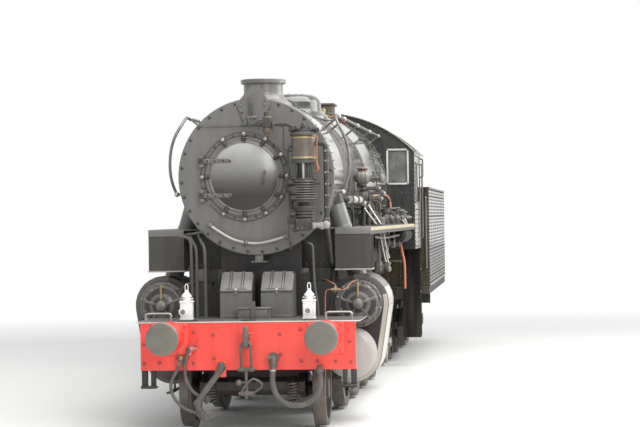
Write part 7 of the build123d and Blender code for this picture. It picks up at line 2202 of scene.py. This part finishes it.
    def _below(self) -> None:
        """Make the pipes, rods and valves under the board, on the driver's side and the other."""
        form = Form("board_rods")
        for head, foot in (((1.051, 2.44), (1.206, 2.226)), ((1.102, 2.477), (1.262, 2.226))):
            form.bar((4.0, *head), (4.0, *foot), 0.011, Look.STEEL)
            form.ball((4.0, *head), 0.02, Look.STEEL)
            form.turned((4.0, foot[0], 2.224), UP, mm(0, 30, 12, 30, 14, 18, 30, 16, 30, 0), Look.FITTING, 12)
        form.bar((4.0, 1.03, 2.425), (4.0, 1.125, 2.494), 0.012, Look.FITTING)
        form.bar((4.0, 1.1, 2.475), (4.12, 1.12, 2.57), 0.011, Look.FITTING)
        form.place()
        piping = Piping("under_board_pipes_and_rods")
        for side in SIDES:
            piping.run([(8.62, 0.94 * side, 1.69), (8.62, 1.15 * side, 1.69), (8.62, 1.268 * side, 1.675)], 0.011,
                       Look.FITTING)
            piping.run([(8.62, 1.19 * side, 2.15), (8.62, 1.19 * side, 2.08), (8.62, 1.205 * side, 1.972),
                        (8.62, 1.24 * side, 1.78), (8.62, 1.266 * side, 1.66), (8.62, 1.268 * side, 1.45),
                        (8.62, 1.268 * side, 1.278)], 0.019, Look.ORANGE)
            for s, y, top, foot in ((4.8, 1.18, 2.14, 1.754), (4.86, 1.22, 2.14, 1.8), (5.6, 1.16, 2.14, 1.72)):
                piping.run([(s, y * side, top), (s, (y + 0.02) * side, (top + foot) / 2),
                            (s, (y + 0.07) * side, foot)], 0.0115, Look.BRIGHTRAIL)
            piping.run([(3.5, 1.2 * side, 2.1), (4.6, 1.21 * side, 2.06), (6.5, 1.24 * side, 2.07),
                        (8.6, 1.27 * side, 2.08)], 0.016, Look.FITTING)
            piping.run([(3.4, 1.12 * side, 2.09), (5.0, 1.12 * side, 2.1), (9.0, 1.12 * side, 2.1)], 0.013,
                       Look.FITTING)
        piping.place()
        form = Form("under_board_valves")
        for side in SIDES:
            form.turned((4.8, 1.1 * side, 1.704), outward(side), mm(0, 20, 10, 55, 30, 70, 80, 70, 100, 55, 110, 30,
                    140, 30, 142, 45, 165, 45, 167, 20, 200, 18, 200, 0), Look.FITTING, 20)
            form.turned((4.8, 1.285 * side, 1.63), UP,
                        mm(0, 20, 20, 34, 50, 34, 60, 22, 100, 22, 102, 30, 120, 30, 122, 0), Look.SOFTSTEEL, 12)
            form.bar((4.8, 1.16 * side, 1.74), (4.8, 1.16 * side, 2.14), 0.018, Look.FITTING)
            for s, y, z in ((5.3, 1.17, 1.92), (6.1, 1.2, 1.98), (7.0, 1.22, 1.95)):
                form.turned((s, (y - 0.05) * side, z), outward(side), mm(0, 30, 20, 48, 60, 48, 70, 26, 110, 26,
                        115, 38, 130, 38, 135, 0), Look.FITTING, 12)
                form.bar((s, y * side, z), (s, y * side, 2.14), 0.014, Look.FITTING)
        form.place()

    @staticmethod
    def _casing() -> None:
        """Make the steam pipes' grey casings with their flanges, and the plates beside the saddle."""
        form = Form("steam_pipe_casings")
        for side in SIDES:
            start, end = (2.23, 0.8 * side, 2.64), (2.23, 1.12 * side, 1.56)
            way = (spot(end) - spot(start)).normalized()
            form.turned(start, way, mm(160, 106.5, 1115, 106.5), Look.STEAM, 40)
            form.turned(start, way, mm(420, 106.5, 420, 112, 450, 112, 450, 106.5), Look.STEAM, 40)
        form.place()
        form = Form("saddle_wing_plates")
        for side in SIDES:
            lines = [[(-0.37, 1.755), (-0.88, 1.755), (-0.89, 2.14), (-0.82, 2.2), (-0.74, 2.3), (-0.62, 2.165),
                      (-0.5, 2.07), (-0.37, 2.0)], [(-0.545, 1.4), (-0.7, 1.4), (-0.7, 1.765), (-0.545, 1.765)],
                     [(-0.772, 1.4), (-0.88, 1.4), (-0.88, 1.765), (-0.772, 1.765)], [(-0.36, 1.4), (-0.46, 1.4),
                    (-0.46, 1.765), (-0.36, 1.765)]]
            for line in lines:
                form.front([(y * -side, z) for y, z in line], (2.06, 2.075), Look.SADDLE, 0.002)
            form.bolts([(2.06, y * -side, 1.8) for y in (-0.42, -0.5, -0.58, -0.66, -0.74, -0.82)], FORE, 0.012,
                       Look.SADDLE)
        form.place()


@dataclass
class RunningBoards:
    """The worn edges of the running boards and the lips of their front boxes.

    Args:
        top: The height of the edge's upper side.
        drop: The height of its lower side.
    """

    top: float = 2.2268
    drop: float = 2.1435

    def build(self) -> None:
        """Make the edge strips, rivets and lips."""
        form = Form("running_board_edges")
        edges = ((1.69, 1.2905), (2.6, 1.3105), (9.305, 1.3855))
        for side in SIDES:
            for (s0, y0), (s1, y1) in zip(edges, edges[1:]):
                for low, high, look in ((self.drop, 2.186, Look.SADDLE), (2.186, self.top, Look.WORNEDGE)):
                    corners = [spot((s0, y0 * side, low)), spot((s1, y1 * side, low)), spot((s1, y1 * side, high)),
                               spot((s0, y0 * side, high))]
                    form.plate(corners, Vector((0, 0.0022 * side, 0)), look)
            ys = span(0.878 * side, 1.2925 * side)
            form.slab((1.6835, 1.6905), ys, (2.15, self.top), Look.BOARDEND, 0.001)
            form.slab((1.679, 2.051), span(0.867 * side, 1.301 * side), (1.7365, 1.7525), Look.EDGE, 0.002)
            form.slab((1.6885, 1.7), (1.284 * side - 0.0065, 1.284 * side + 0.0065), (1.7525, 2.145), Look.BOX, 0.001)
            # The near-black sheet on each box's outer side is painted shade under the board's edge.
            ys = span(1.291 * side, 1.2945 * side)
            form.slab((1.702, 2.04), ys, (1.7535, 2.143), Look.UNDER, 0.001)
            form.rivets([(1.69, y * side, z) for z in (1.775, 2.12) for y in spread(0.91, 1.255, 6)], FORE, 0.007,
                        Look.BOX)
            form.rivets([(s, (1.2905 + (s - 1.69) * 0.0135) * side, 2.185) for s in spread(1.8, 9.2, 30)],
                        outward(side), 0.008, Look.WORNEDGE)
            form.rivets([(s, (1.25 + (s - 1.69) * 0.0125) * side, self.top) for s in spread(1.8, 9.2, 38)], UP, 0.008,
                        Look.DECK)
        form.place()


@dataclass
class CabTrim:
    """The window frames, rivets, rails, steps and vent of the cab.

    Args:
        front: Where the front sheet lies.
        half: Half of the cab's width.
        crown: The roof's height in the middle.
        eave: Its height at the sides.
    """

    front: float = 9.31
    half: float = 1.394
    crown: float = 3.905
    eave: float = 3.309

    def roof(self, y: float, off: float = 0.0) -> float:
        """Return the roof's height at a place across, lowered by some metres."""
        deep = self.crown - self.eave
        bend = (self.half ** 2 + deep ** 2) / (2 * deep)
        return self.crown - bend + math.sqrt(bend ** 2 - y ** 2) - off

    def build(self) -> None:
        """Make the cab's pieces."""
        self._front()
        self._sides()
        self._roof()
        self._inside()

    def _front(self) -> None:
        """Frame the front windows and rivet the front sheet."""
        form = Form("cab_front_frames")
        for side in SIDES:
            for low, high, foot, top in ((0.976, 1.003, 2.815, 3.354), (1.283, 1.31, 2.815, 3.354),
                                         (0.976, 1.31, 2.815, 2.842), (0.976, 1.31, 3.327, 3.354)):
                ys = span(low * side, high * side)
                form.slab((9.293, 9.298), ys, (foot, top), Look.PALE, 0.0015)
            form.bolts([(9.293, y * side, z) for y in (0.99, 1.296) for z in (2.829, 3.084, 3.34)], FORE, 0.006,
                       Look.PALE)
            form.bar((9.29, 1.143 * side, 3.3), (9.284, 1.143 * side, 3.08), 0.005, Look.RAIL, 8)
        form.place()
        form = Form("cab_front_rivets")
        for side in SIDES:
            places = [(self.front, 1.372 * side, z) for z in spread(1.88, 3.26, 20)]
            places += [(self.front, y * side, 2.694) for y in (1.129, 1.19, 1.25, 1.31)]
            places += [(self.front, y * side, self.roof(y, 0.04)) for y in spread(0.06, 1.33, 18)]
            places += [(self.front, y * side, 1.87) for y in spread(1.02, 1.33, 5)]
            places += [(self.front, y * side, z) for y in (1.03, 1.33) for z in spread(1.95, 2.13, 3)]
            places += [(self.front, 1.35 * side, z) for z in spread(2.35, 2.75, 6)]
            form.rivets(places, FORE, 0.0115, Look.CAB)
            arc = [pair[0] for pair in rim(self.front, (0.0, BARREL), 1.0, spread(8, 84, 18))]
            form.rivets([(s, y * side, z) for s, y, z in arc], FORE, 0.01, Look.CAB)
        form.place()

    def _sides(self) -> None:
        """Frame the side windows, rivet the sides and add rails and steps."""
        form = Form("cab_side_trim")
        for side in SIDES:
            out = outward(side)
            skin = span(self.half * side, (self.half + 0.006) * side)
            for first, last in ((9.56, 10.08), (10.15, 10.76)):
                for s, z in (((first - 0.03, first), (2.53, 3.16)), ((last, last + 0.03), (2.53, 3.16)),
                             ((first - 0.03, last + 0.03), (2.53, 2.56)), ((first - 0.03, last + 0.03), (3.13, 3.16))):
                    form.slab(s, skin, z, Look.CAB, 0.001)
            places = [(s, self.half * side, z) for s in (9.36, 10.82) for z in spread(1.9, 3.26, 22)]
            places += [(s, self.half * side, z) for s in spread(9.5, 10.8, 20) for z in (1.88, 2.44, 3.25)]
            places += [(s, self.half * side, z) for s in (9.75, 10.15, 10.5) for z in spread(1.95, 2.36, 7)]
            form.rivets(places, out, 0.0115, Look.CAB)
            for z in (0.44, 0.79, 1.14, 1.49):
                ys = span(1.088 * side, 1.382 * side)
                form.slab((10.928, 11.182), ys, (z + 0.001, z + 0.017), Look.RAIL, 0.002)
                form.rivets([(s, y * side, z + 0.017) for s in (10.98, 11.055, 11.13) for y in spread(1.12, 1.35, 5)],
                            UP, 0.008, Look.RAIL, 6)
        form.place()
        piping = Piping("cab_doorway_rails")
        for side in SIDES:
            y = (self.half + 0.035) * side
            for s, low, high in ((10.87, 2.0, 3.15), (11.1, 2.95, 3.24)):
                piping.run([(s, self.half * side, low), (s, y, low), (s, y, low + 0.04), (s, y, high - 0.04),
                            (s, y, high), (s, self.half * side, high)], 0.013, Look.RAIL)
        piping.place()

    def _roof(self) -> None:
        """Edge the roof, and dress the vent and the roof's seams."""
        form = Form("cab_roof_trim")
        line = [(y, self.roof(y) + 0.0015) for y in spread(-1.394, 1.394, 33)]
        for s, look in (((9.247, 9.285), Look.EDGE), ((10.07, 10.11), Look.ROOF), ((10.9, 10.94), Look.ROOF),
                        ((11.68, 11.722), Look.EDGE)):
            form.skin(line, s, 0.007, look)
        for s in (9.31, 10.09, 10.92, 11.66):
            for y in spread(-1.3, 1.3, 24):
                if s < 10.1 or abs(y) > 0.13:
                    form.rivets([(s, y, self.roof(y) + 0.002)], Vector((0, y * 0.72, 1.3)), 0.009, Look.ROOF)
        form.place()
        form = Form("cab_roof_vent")
        for s, y, z in (((10.146, 10.152), (-0.09, 0.09), (3.89, 4.076)), ((10.648, 10.654), (-0.09, 0.09),
                (3.89, 4.076)), ((10.146, 10.654), (-0.0915, -0.086), (3.89, 4.076)),
                        ((10.146, 10.654), (0.086, 0.0915), (3.89, 4.076)), ((10.117, 10.683), (-0.121, 0.121),
                (4.072, 4.103))):
            form.slab(s, y, z, Look.VENT, 0.002)
        for z in (3.95, 3.985, 4.02):
            form.slab((10.139, 10.15), (-0.07, 0.07), (z, z + 0.012), Look.VENT, 0.002)
        form.place()

    def _inside(self) -> None:
        """Add gauges with their pipes on the backhead."""
        form = Form("cab_gauges")
        for y, z, size in ((0.12, 3.32, 0.075), (-0.12, 3.34, 0.06), (0.34, 3.28, 0.05), (-0.36, 3.26, 0.05)):
            form.turned((10.02, y, z), AFT, [(0, size * 0.6), (0.02, size), (0.05, size), (0.055, size * 0.9),
                                             (0.048, size * 0.86)], Look.BRASS, 28)
            form.turned((10.066, y, z), AFT, [(0, size * 0.85), (0.001, size * 0.85)], Look.WHITE, 28)
            form.bar((9.84, y, z), (10.03, y, z), 0.014, Look.BRASS)
        form.place()


@dataclass
class TenderTrim:
    """The rivets, beading, rails and rear fittings of the tender.

    Args:
        ends: Where the tank starts and ends along.
        half: Half of its width.
        z: Its foot and its top.
    """

    ends: Span = (11.91, 17.95)
    half: float = 1.48
    z: Span = (1.2, 2.807)

    def build(self) -> None:
        """Make the tender's pieces."""
        self._rivets()
        self._beading()
        self._hatch()
        self._rear()

    def _rivets(self) -> None:
        """Rivet the sides, the front and the back."""
        form = Form("tender_side_rivets")
        for side in SIDES:
            y = self.half * side
            places = [(s + off, y, z) for s in spread(11.98, 17.8, 9) for off in (0.0, 0.07)
                      for z in spread(1.255, 2.765, 29)]
            places += [(s, y, z) for s in spread(12.3, 17.5, 15) for z in (1.255, 1.363, 1.795, 2.334, 2.657, 2.765)]
            form.rivets(places, outward(side), 0.0165, Look.RIVET, 6)
        form.place(Body.TENDER)
        form = Form("tender_end_rivets")
        for s, way, skip in ((self.ends[0], FORE, 0.5), (self.ends[1], AFT, 0.0)):
            places = [(s, y, z) for y in spread(-1.44, 1.44, 46) for z in (1.24, 2.76)]
            places += [(s, y * side, z) for side in SIDES for y in (0.52, 1.0, 1.44) for z in spread(1.3, 2.7, 22)]
            places += [(s, y, z) for y in spread(-1.38, 1.38, 24) for z in (1.75, 2.28)]
            places = [place for place in places if abs(place[1]) > skip or place[2] < 1.25]
            form.rivets(places, way, 0.0135, Look.TENDER, 6)
        form.place(Body.TENDER)

    def _beading(self) -> None:
        """Run a round bead along the tank's top and the bunker's edges."""
        piping = Piping("tender_beading")
        for side in SIDES:
            y = (self.half + 0.002) * side
            piping.run([(11.9, y, 2.797), (17.96, y, 2.797)], 0.0135, Look.TENDER)
            piping.run([(12.36, 1.245 * side, 2.812), (15.9, 1.245 * side, 2.812)], 0.013, Look.TENDER)
            piping.run([(11.9, y, 1.212), (17.96, y, 1.212)], 0.012, Look.TENDER)
            piping.run([(11.905, 0.466 * side, 1.22), (11.905, 0.466 * side, 2.54)], 0.012, Look.TENDER)
        piping.run([(15.905, -1.25, 2.812), (15.905, 1.25, 2.812)], 0.013, Look.TENDER)
        piping.run([(17.952, -1.48, 2.797), (17.952, 1.48, 2.797)], 0.0135, Look.TENDER)
        piping.place(Body.TENDER)
        form = Form("tender_angle_irons")
        for side in SIDES:
            for s in spread(12.7, 15.6, 7):
                ys = span(1.234 * side, 1.24 * side)
                form.slab((s, s + 0.05), ys, (2.3, 2.8), Look.TENDER, 0.001)
                form.rivets([(s + 0.025, 1.234 * side, z) for z in spread(2.36, 2.75, 6)], outward(-side), 0.01,
                            Look.TENDER, 6)
        form.place(Body.TENDER)
        piping = Piping("tender_corner_rails")
        for side in SIDES:
            y = 1.43 * side
            piping.run([(11.905, y, 1.5), (11.868, y, 1.502), (11.865, y, 1.53), (11.865, y, 2.62),
                        (11.868, y, 2.648), (11.905, y, 2.65)], 0.0145, Look.HANDRAIL)
        piping.place(Body.TENDER)

    def _hatch(self) -> None:
        """Dress the filler's lid."""
        form = Form("tender_hatch_handle")
        top = self.z[1] + 0.06 + 0.0155
        form.turned((17.05, 0.0, top), UP, mm(-1, 236, 3, 236, 5, 205, 5.5, 200), Look.TENDER, 48)
        turns = [turn for turn in range(20, 341, 20) if abs(compass(turn)[1]) > 0.2]
        form.rivets(level_circle((17.05, 0.0, top), 0.22, turns), UP, 0.008, Look.TENDER)
        form.bar((16.9, -0.07, top + 0.03), (16.9, 0.07, top + 0.03), 0.009, Look.RAIL)
        for y in (-0.07, 0.07):
            form.bar((16.9, y, top - 0.002), (16.9, y, top + 0.03), 0.009, Look.RAIL)
        form.place(Body.HATCH)

    def _rear(self) -> None:
        """Edge the ladder's rungs, and add a lamp iron and bolts to the rear beam."""
        form = Form("tender_rear_fittings")
        for z in (1.45, 1.7, 1.95, 2.2, 2.45):
            form.turned((18.01, 0.68, z), LEFT, mm(0, 11.5, 4, 13.5, 236, 13.5, 240, 11.5), Look.RAIL, 12)
        for y in (-0.675, 0.0, 0.675):
            form.slab((17.95, 17.962), (y - 0.03, y + 0.03), (2.45, 2.62), Look.RAIL, 0.002)
            form.slab((17.95, 17.99), (y - 0.03, y + 0.03), (2.44, 2.452), Look.RAIL, 0.002)
        face = LENGTH - BEAM
        form.slab((face - 0.004, face + 0.003), (-1.19, 1.19), (0.7, 1.17), Look.RED, 0.001)
        face += 0.003
        places = [(face, y * side, z) for side in SIDES for y in (0.36, 0.6, 1.05, 1.14) for z in (0.76, 1.11)]
        form.bolts(places, AFT, 0.019, Look.REDBOLT, 0.9)
        form.place(Body.TENDER)
        form = Form("rear_buffer_bolts")
        for side in SIDES:
            for y in (-0.178, 0.178):
                for z in (-0.172, 0.116):
                    form.bolts([(LENGTH - 0.514, side * BUFFERS[0] + y, BUFFERS[1] + z)], AFT, 0.02, Look.RED, 1.1)
            form.turned((LENGTH - 0.34, side * BUFFERS[0], BUFFERS[1]), FORE, mm(0, 134, 14, 131.5, 18, 128),
                        Look.RED, 40)
        form.place(Body.TENDER)


@dataclass
class Bogies:
    """The springs, axlebox lids and rivets of the tender's two bogies.

    Args:
        centres: Where the bogies' middles lie along.
        base: How far each axle is from its bogie's middle.
    """

    centres: Sequence[float] = (13.08, 16.17)
    base: float = 0.8765

    def build(self) -> None:
        """Make the pieces on both bogies."""
        for centre, body in zip(self.centres, (Body.BOGIE_FRONT, Body.BOGIE_REAR)):
            form = Form(f"{body.value}_springs_and_boxes")
            for side in SIDES:
                out = outward(side)
                for off in (-0.11, 0.0, 0.11):
                    form.coil((centre + off, 0.975 * side, 0.302), (centre + off, 0.975 * side, 0.538), 0.042, 0.011,
                              5, Look.FRAME)
                for off in (-self.base, self.base):
                    s = centre + off
                    ys = span(1.079 * side, 1.092 * side)
                    form.slab((s - 0.1, s + 0.1), ys, (0.33, 0.53), Look.WHEEL, 0.005)
                    form.bolts([(s + a, 1.092 * side, z) for a in (-0.08, 0.08) for z in (0.35, 0.51)], out, 0.012,
                               Look.WHEEL)
                    form.turned((s, 1.091 * side, 0.43), out, mm(0, 60, 6, 60, 12, 40, 13, 0), Look.WHEEL, 24)
                form.rivets([(centre + a, 1.02 * side, z) for a, z in ((-0.95, 0.48), (-0.75, 0.53), (-0.5, 0.66),
                        (-0.25, 0.76), (0.0, 0.77), (0.25, 0.76), (0.5, 0.66), (0.75, 0.53), (0.95, 0.48),
                        (-0.3, 0.25), (0.0, 0.24), (0.3, 0.25), (-0.25, 0.58), (0.25, 0.58))], out, 0.014, Look.FRAME)
            form.place(body)


@dataclass
class Treads:
    """The bright running surfaces of every wheel, and the drivers' hub caps and pin caps.

    Args:
        drivers: Where the driving axles lie along.
        carriers: The body and the place along of every other wheelset.
    """

    drivers: Sequence[float] = DRIVERS
    carriers: Sequence[tuple[str, float]] = (
        ("pony_wheels", 1.25), ("tender_wheels_1", 12.2035), ("tender_wheels_2", 13.9565),
        ("tender_wheels_3", 15.2935), ("tender_wheels_4", 17.0465))

    def build(self) -> None:
        """Make the bright parts of every wheelset."""
        for index, s in enumerate(self.drivers):
            form = Form(f"driver_{index + 1}_tread")
            for side, angle in CRANK_ANGLES.items():
                self._tread(form, s, DRIVER_RADIUS, side)
                behind, above = compass(angle)
                pin = (s + CRANK * behind, 0.9785 * side, DRIVER_RADIUS + CRANK * above)
                out = outward(side)
                form.turned((s, 0.831 * side, DRIVER_RADIUS), out, mm(0, 50, 4, 98, 12, 98, 16, 90), Look.ROD, 32)
                if index != 1:
                    form.turned(pin, out, mm(-4, 40, -3, 54, 6, 54, 10, 34, 14, 0), Look.STEEL, 6)
            form.place(f"driver_{index + 1}")
        for name, s in self.carriers:
            form = Form(f"{name}_tread")
            for side in SIDES:
                self._tread(form, s, CARRIER_RADIUS, side)
            form.place(name)

    @staticmethod
    def _tread(form: Form, s: float, radius: float, side: int) -> None:
        """Add the bright bands of one wheel's tyre."""
        out = outward(side)
        inner = 0.68
        form.turned((s, inner * side, radius), out,
                    [(0.033, radius - 0.03), (0.033, radius + 0.004), (0.036, radius + 0.0035),
                     (0.138, radius - 0.0025), (0.1395, radius - 0.006), (0.1395, radius - 0.03)], Look.TREAD, 96,
                    closed=True)
        form.turned((s, inner * side, radius), out,
                    [(0.136, radius - 0.072), (0.1402, radius - 0.07), (0.1408, radius - 0.066),
                     (0.1408, radius - 0.012), (0.136, radius - 0.01)], Look.WHEEL, 96, closed=True)


@dataclass
class MotionTrim:
    """The oil cups and nuts on the motion and the side rods, and the pipes and bolts on the frames."""

    def build(self) -> None:
        """Make the pieces on the fixed motion and the frames."""
        form = Form("motion_oil_cups")
        for side in SIDES:
            for s in (2.95, 3.3, 3.7, 4.1):
                form.turned((s, 1.043 * side, 0.933), UP, mm(-2, 12, 12, 12, 14, 20, 35, 20, 40, 8, 46, 8, 47, 0),
                            Look.BRASS, 12)
            out = outward(side)
            for s in (2.92, 4.12):
                form.bolts([(s, 1.09 * side, 0.783 + z) for z in (-0.13, 0.13)], out, 0.02, Look.ROD)
        form.place()
        for side, body in ((1, "side_rod_left"), (-1, "side_rod_right")):
            behind, above = compass(CRANK_ANGLES[side])
            form = Form(f"{body}_cups")
            for s in DRIVERS:
                form.turned((s + CRANK * behind, 0.932 * side, DRIVER_RADIUS + CRANK * above + 0.116), UP,
                            mm(-2, 13, 14, 13, 16, 22, 36, 22, 40, 8, 48, 7, 48, 0), Look.BRASS, 12)
            form.place(body)
        self._frames()

    @staticmethod
    def _frames() -> None:
        """Add bolts, sand pipes and brake pipes to the frames."""
        form = Form("frame_bolts_and_springs")
        for side in SIDES:
            out = outward(side)
            for s in DRIVERS:
                form.bolts([(s + a, 0.623 * side, z) for a in (-0.3, 0.3) for z in (0.8, 1.0)], out, 0.016,
                           Look.FRAME)
        form.place()
        piping = Piping("sand_and_brake_pipes")
        for side in SIDES:
            piping.run([(4.9, 0.86 * side, 2.2), (4.88, 0.88 * side, 1.9), (4.7, 0.8 * side, 1.6),
                        (4.62, 0.76 * side, 1.2), (4.6, 0.75 * side, 0.7), (4.58, 0.748 * side, 0.32),
                        (4.54, 0.748 * side, 0.2)], 0.013, Look.PIPE)
            piping.run([(1.95, 0.55 * side, 1.18), (2.0, 0.56 * side, 0.5), (2.6, 0.56 * side, 0.42),
                        (3.0, 0.56 * side, 0.45)], 0.016, Look.PIPE)
        piping.place()


NODE_LOOKS: dict[str, Look] = {
    "main_frame": Look.FRAME, "buffer_beam": Look.RED, "front_platform": Look.DECK, "buffers_front": Look.WORN,
    "coupling_front": Look.WORN, "cylinder_saddle": Look.SADDLE, "smokebox": Look.SHELL,
    "smokebox_front": Look.SMOKEBOX, "smokebox_door": Look.DISH, "chimney": Look.SMOKEBOX, "air_pump": Look.PUMP,
    "boiler": Look.BOILER, "dome": Look.BOILER, "safety_valves": Look.BRASS, "cab_front": Look.CAB,
    "cab_sides": Look.CABSIDE, "cab_roof": Look.ROOF, "cab_floor": Look.UNDER, "cab_glass": Look.PANE,
    "backhead_controls": Look.BRASS, "running_boards": Look.DECK, "running_board_boxes": Look.BOX,
    "air_tanks": Look.TANK, "slide_bars": Look.ROD, "crossheads": Look.ROD, "main_rods": Look.ROD,
    "eccentric_rods": Look.ROD, "valve_gear": Look.ROD, "handrails": Look.RAIL, "boiler_pipes": Look.LAGGING,
    "brake_gear": Look.FRAME, "ash_pan": Look.UNDER, "toolboxes": Look.TOOLBOX, "toolbox_lid_left": Look.LID,
    "toolbox_lid_right": Look.LID, "oil_lamps": Look.WHITE, "hose_fittings": Look.FITTING,
    "pony_truck": Look.FRAME, "pony_wheelset": Look.WHEEL, "side_rod_left": Look.ROD, "side_rod_right": Look.ROD,
    "tender_frame": Look.FRAME, "tender_tank": Look.TENDER, "tender_hatch": Look.TENDER,
    "tender_ladders": Look.RAIL, "tender_buffers": Look.WORN, "driver_1": Look.WHEEL, "driver_2": Look.WHEEL,
    "driver_3": Look.WHEEL, "driver_4": Look.WHEEL, "bogie_front": Look.FRAME, "bogie_rear": Look.FRAME,
    "tender_wheelset_1": Look.WHEEL, "tender_wheelset_2": Look.WHEEL, "tender_wheelset_3": Look.WHEEL,
    "tender_wheelset_4": Look.WHEEL,
}


def finish_nodes(nodes: dict[str, bpy.types.Object]) -> None:
    """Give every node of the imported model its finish.

    Args:
        nodes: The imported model's nodes, by name.
    """
    for name, look in NODE_LOOKS.items():
        data = nodes[name].data
        if not data.materials:
            data.materials.append(look.material)
        for index in range(len(data.materials)):
            data.materials[index] = look.material


def main() -> None:
    """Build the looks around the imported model, piece by piece."""
    logging.basicConfig(level=logging.INFO, format="%(message)s")
    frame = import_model()
    CameraRig().build()
    HoseSet().build([frame["nodes"]["hose_fittings"]])
    Studio().build()
    finish_nodes(frame["nodes"])
    front_buffers = Buffers("front_buffers", "buffers_front", Body.ENGINE, 1, 0.0, BEAM)
    for assembly in (SmokeboxFront(), SmokeboxDoor(), AirPump(), Handrails(), BufferBeam(), front_buffers,
                     ScrewCoupling(), HoseFittings(), FrontUnderside(), OilLamps(), Toolboxes(), FrontDeck(),
                     Cylinders(), BoilerTrim(), FlankFittings(), RunningBoards(), CabTrim(), TenderTrim(), Bogies(),
                     Treads(), MotionTrim()):
        assembly.build()


if __name__ == "__main__":
    main()
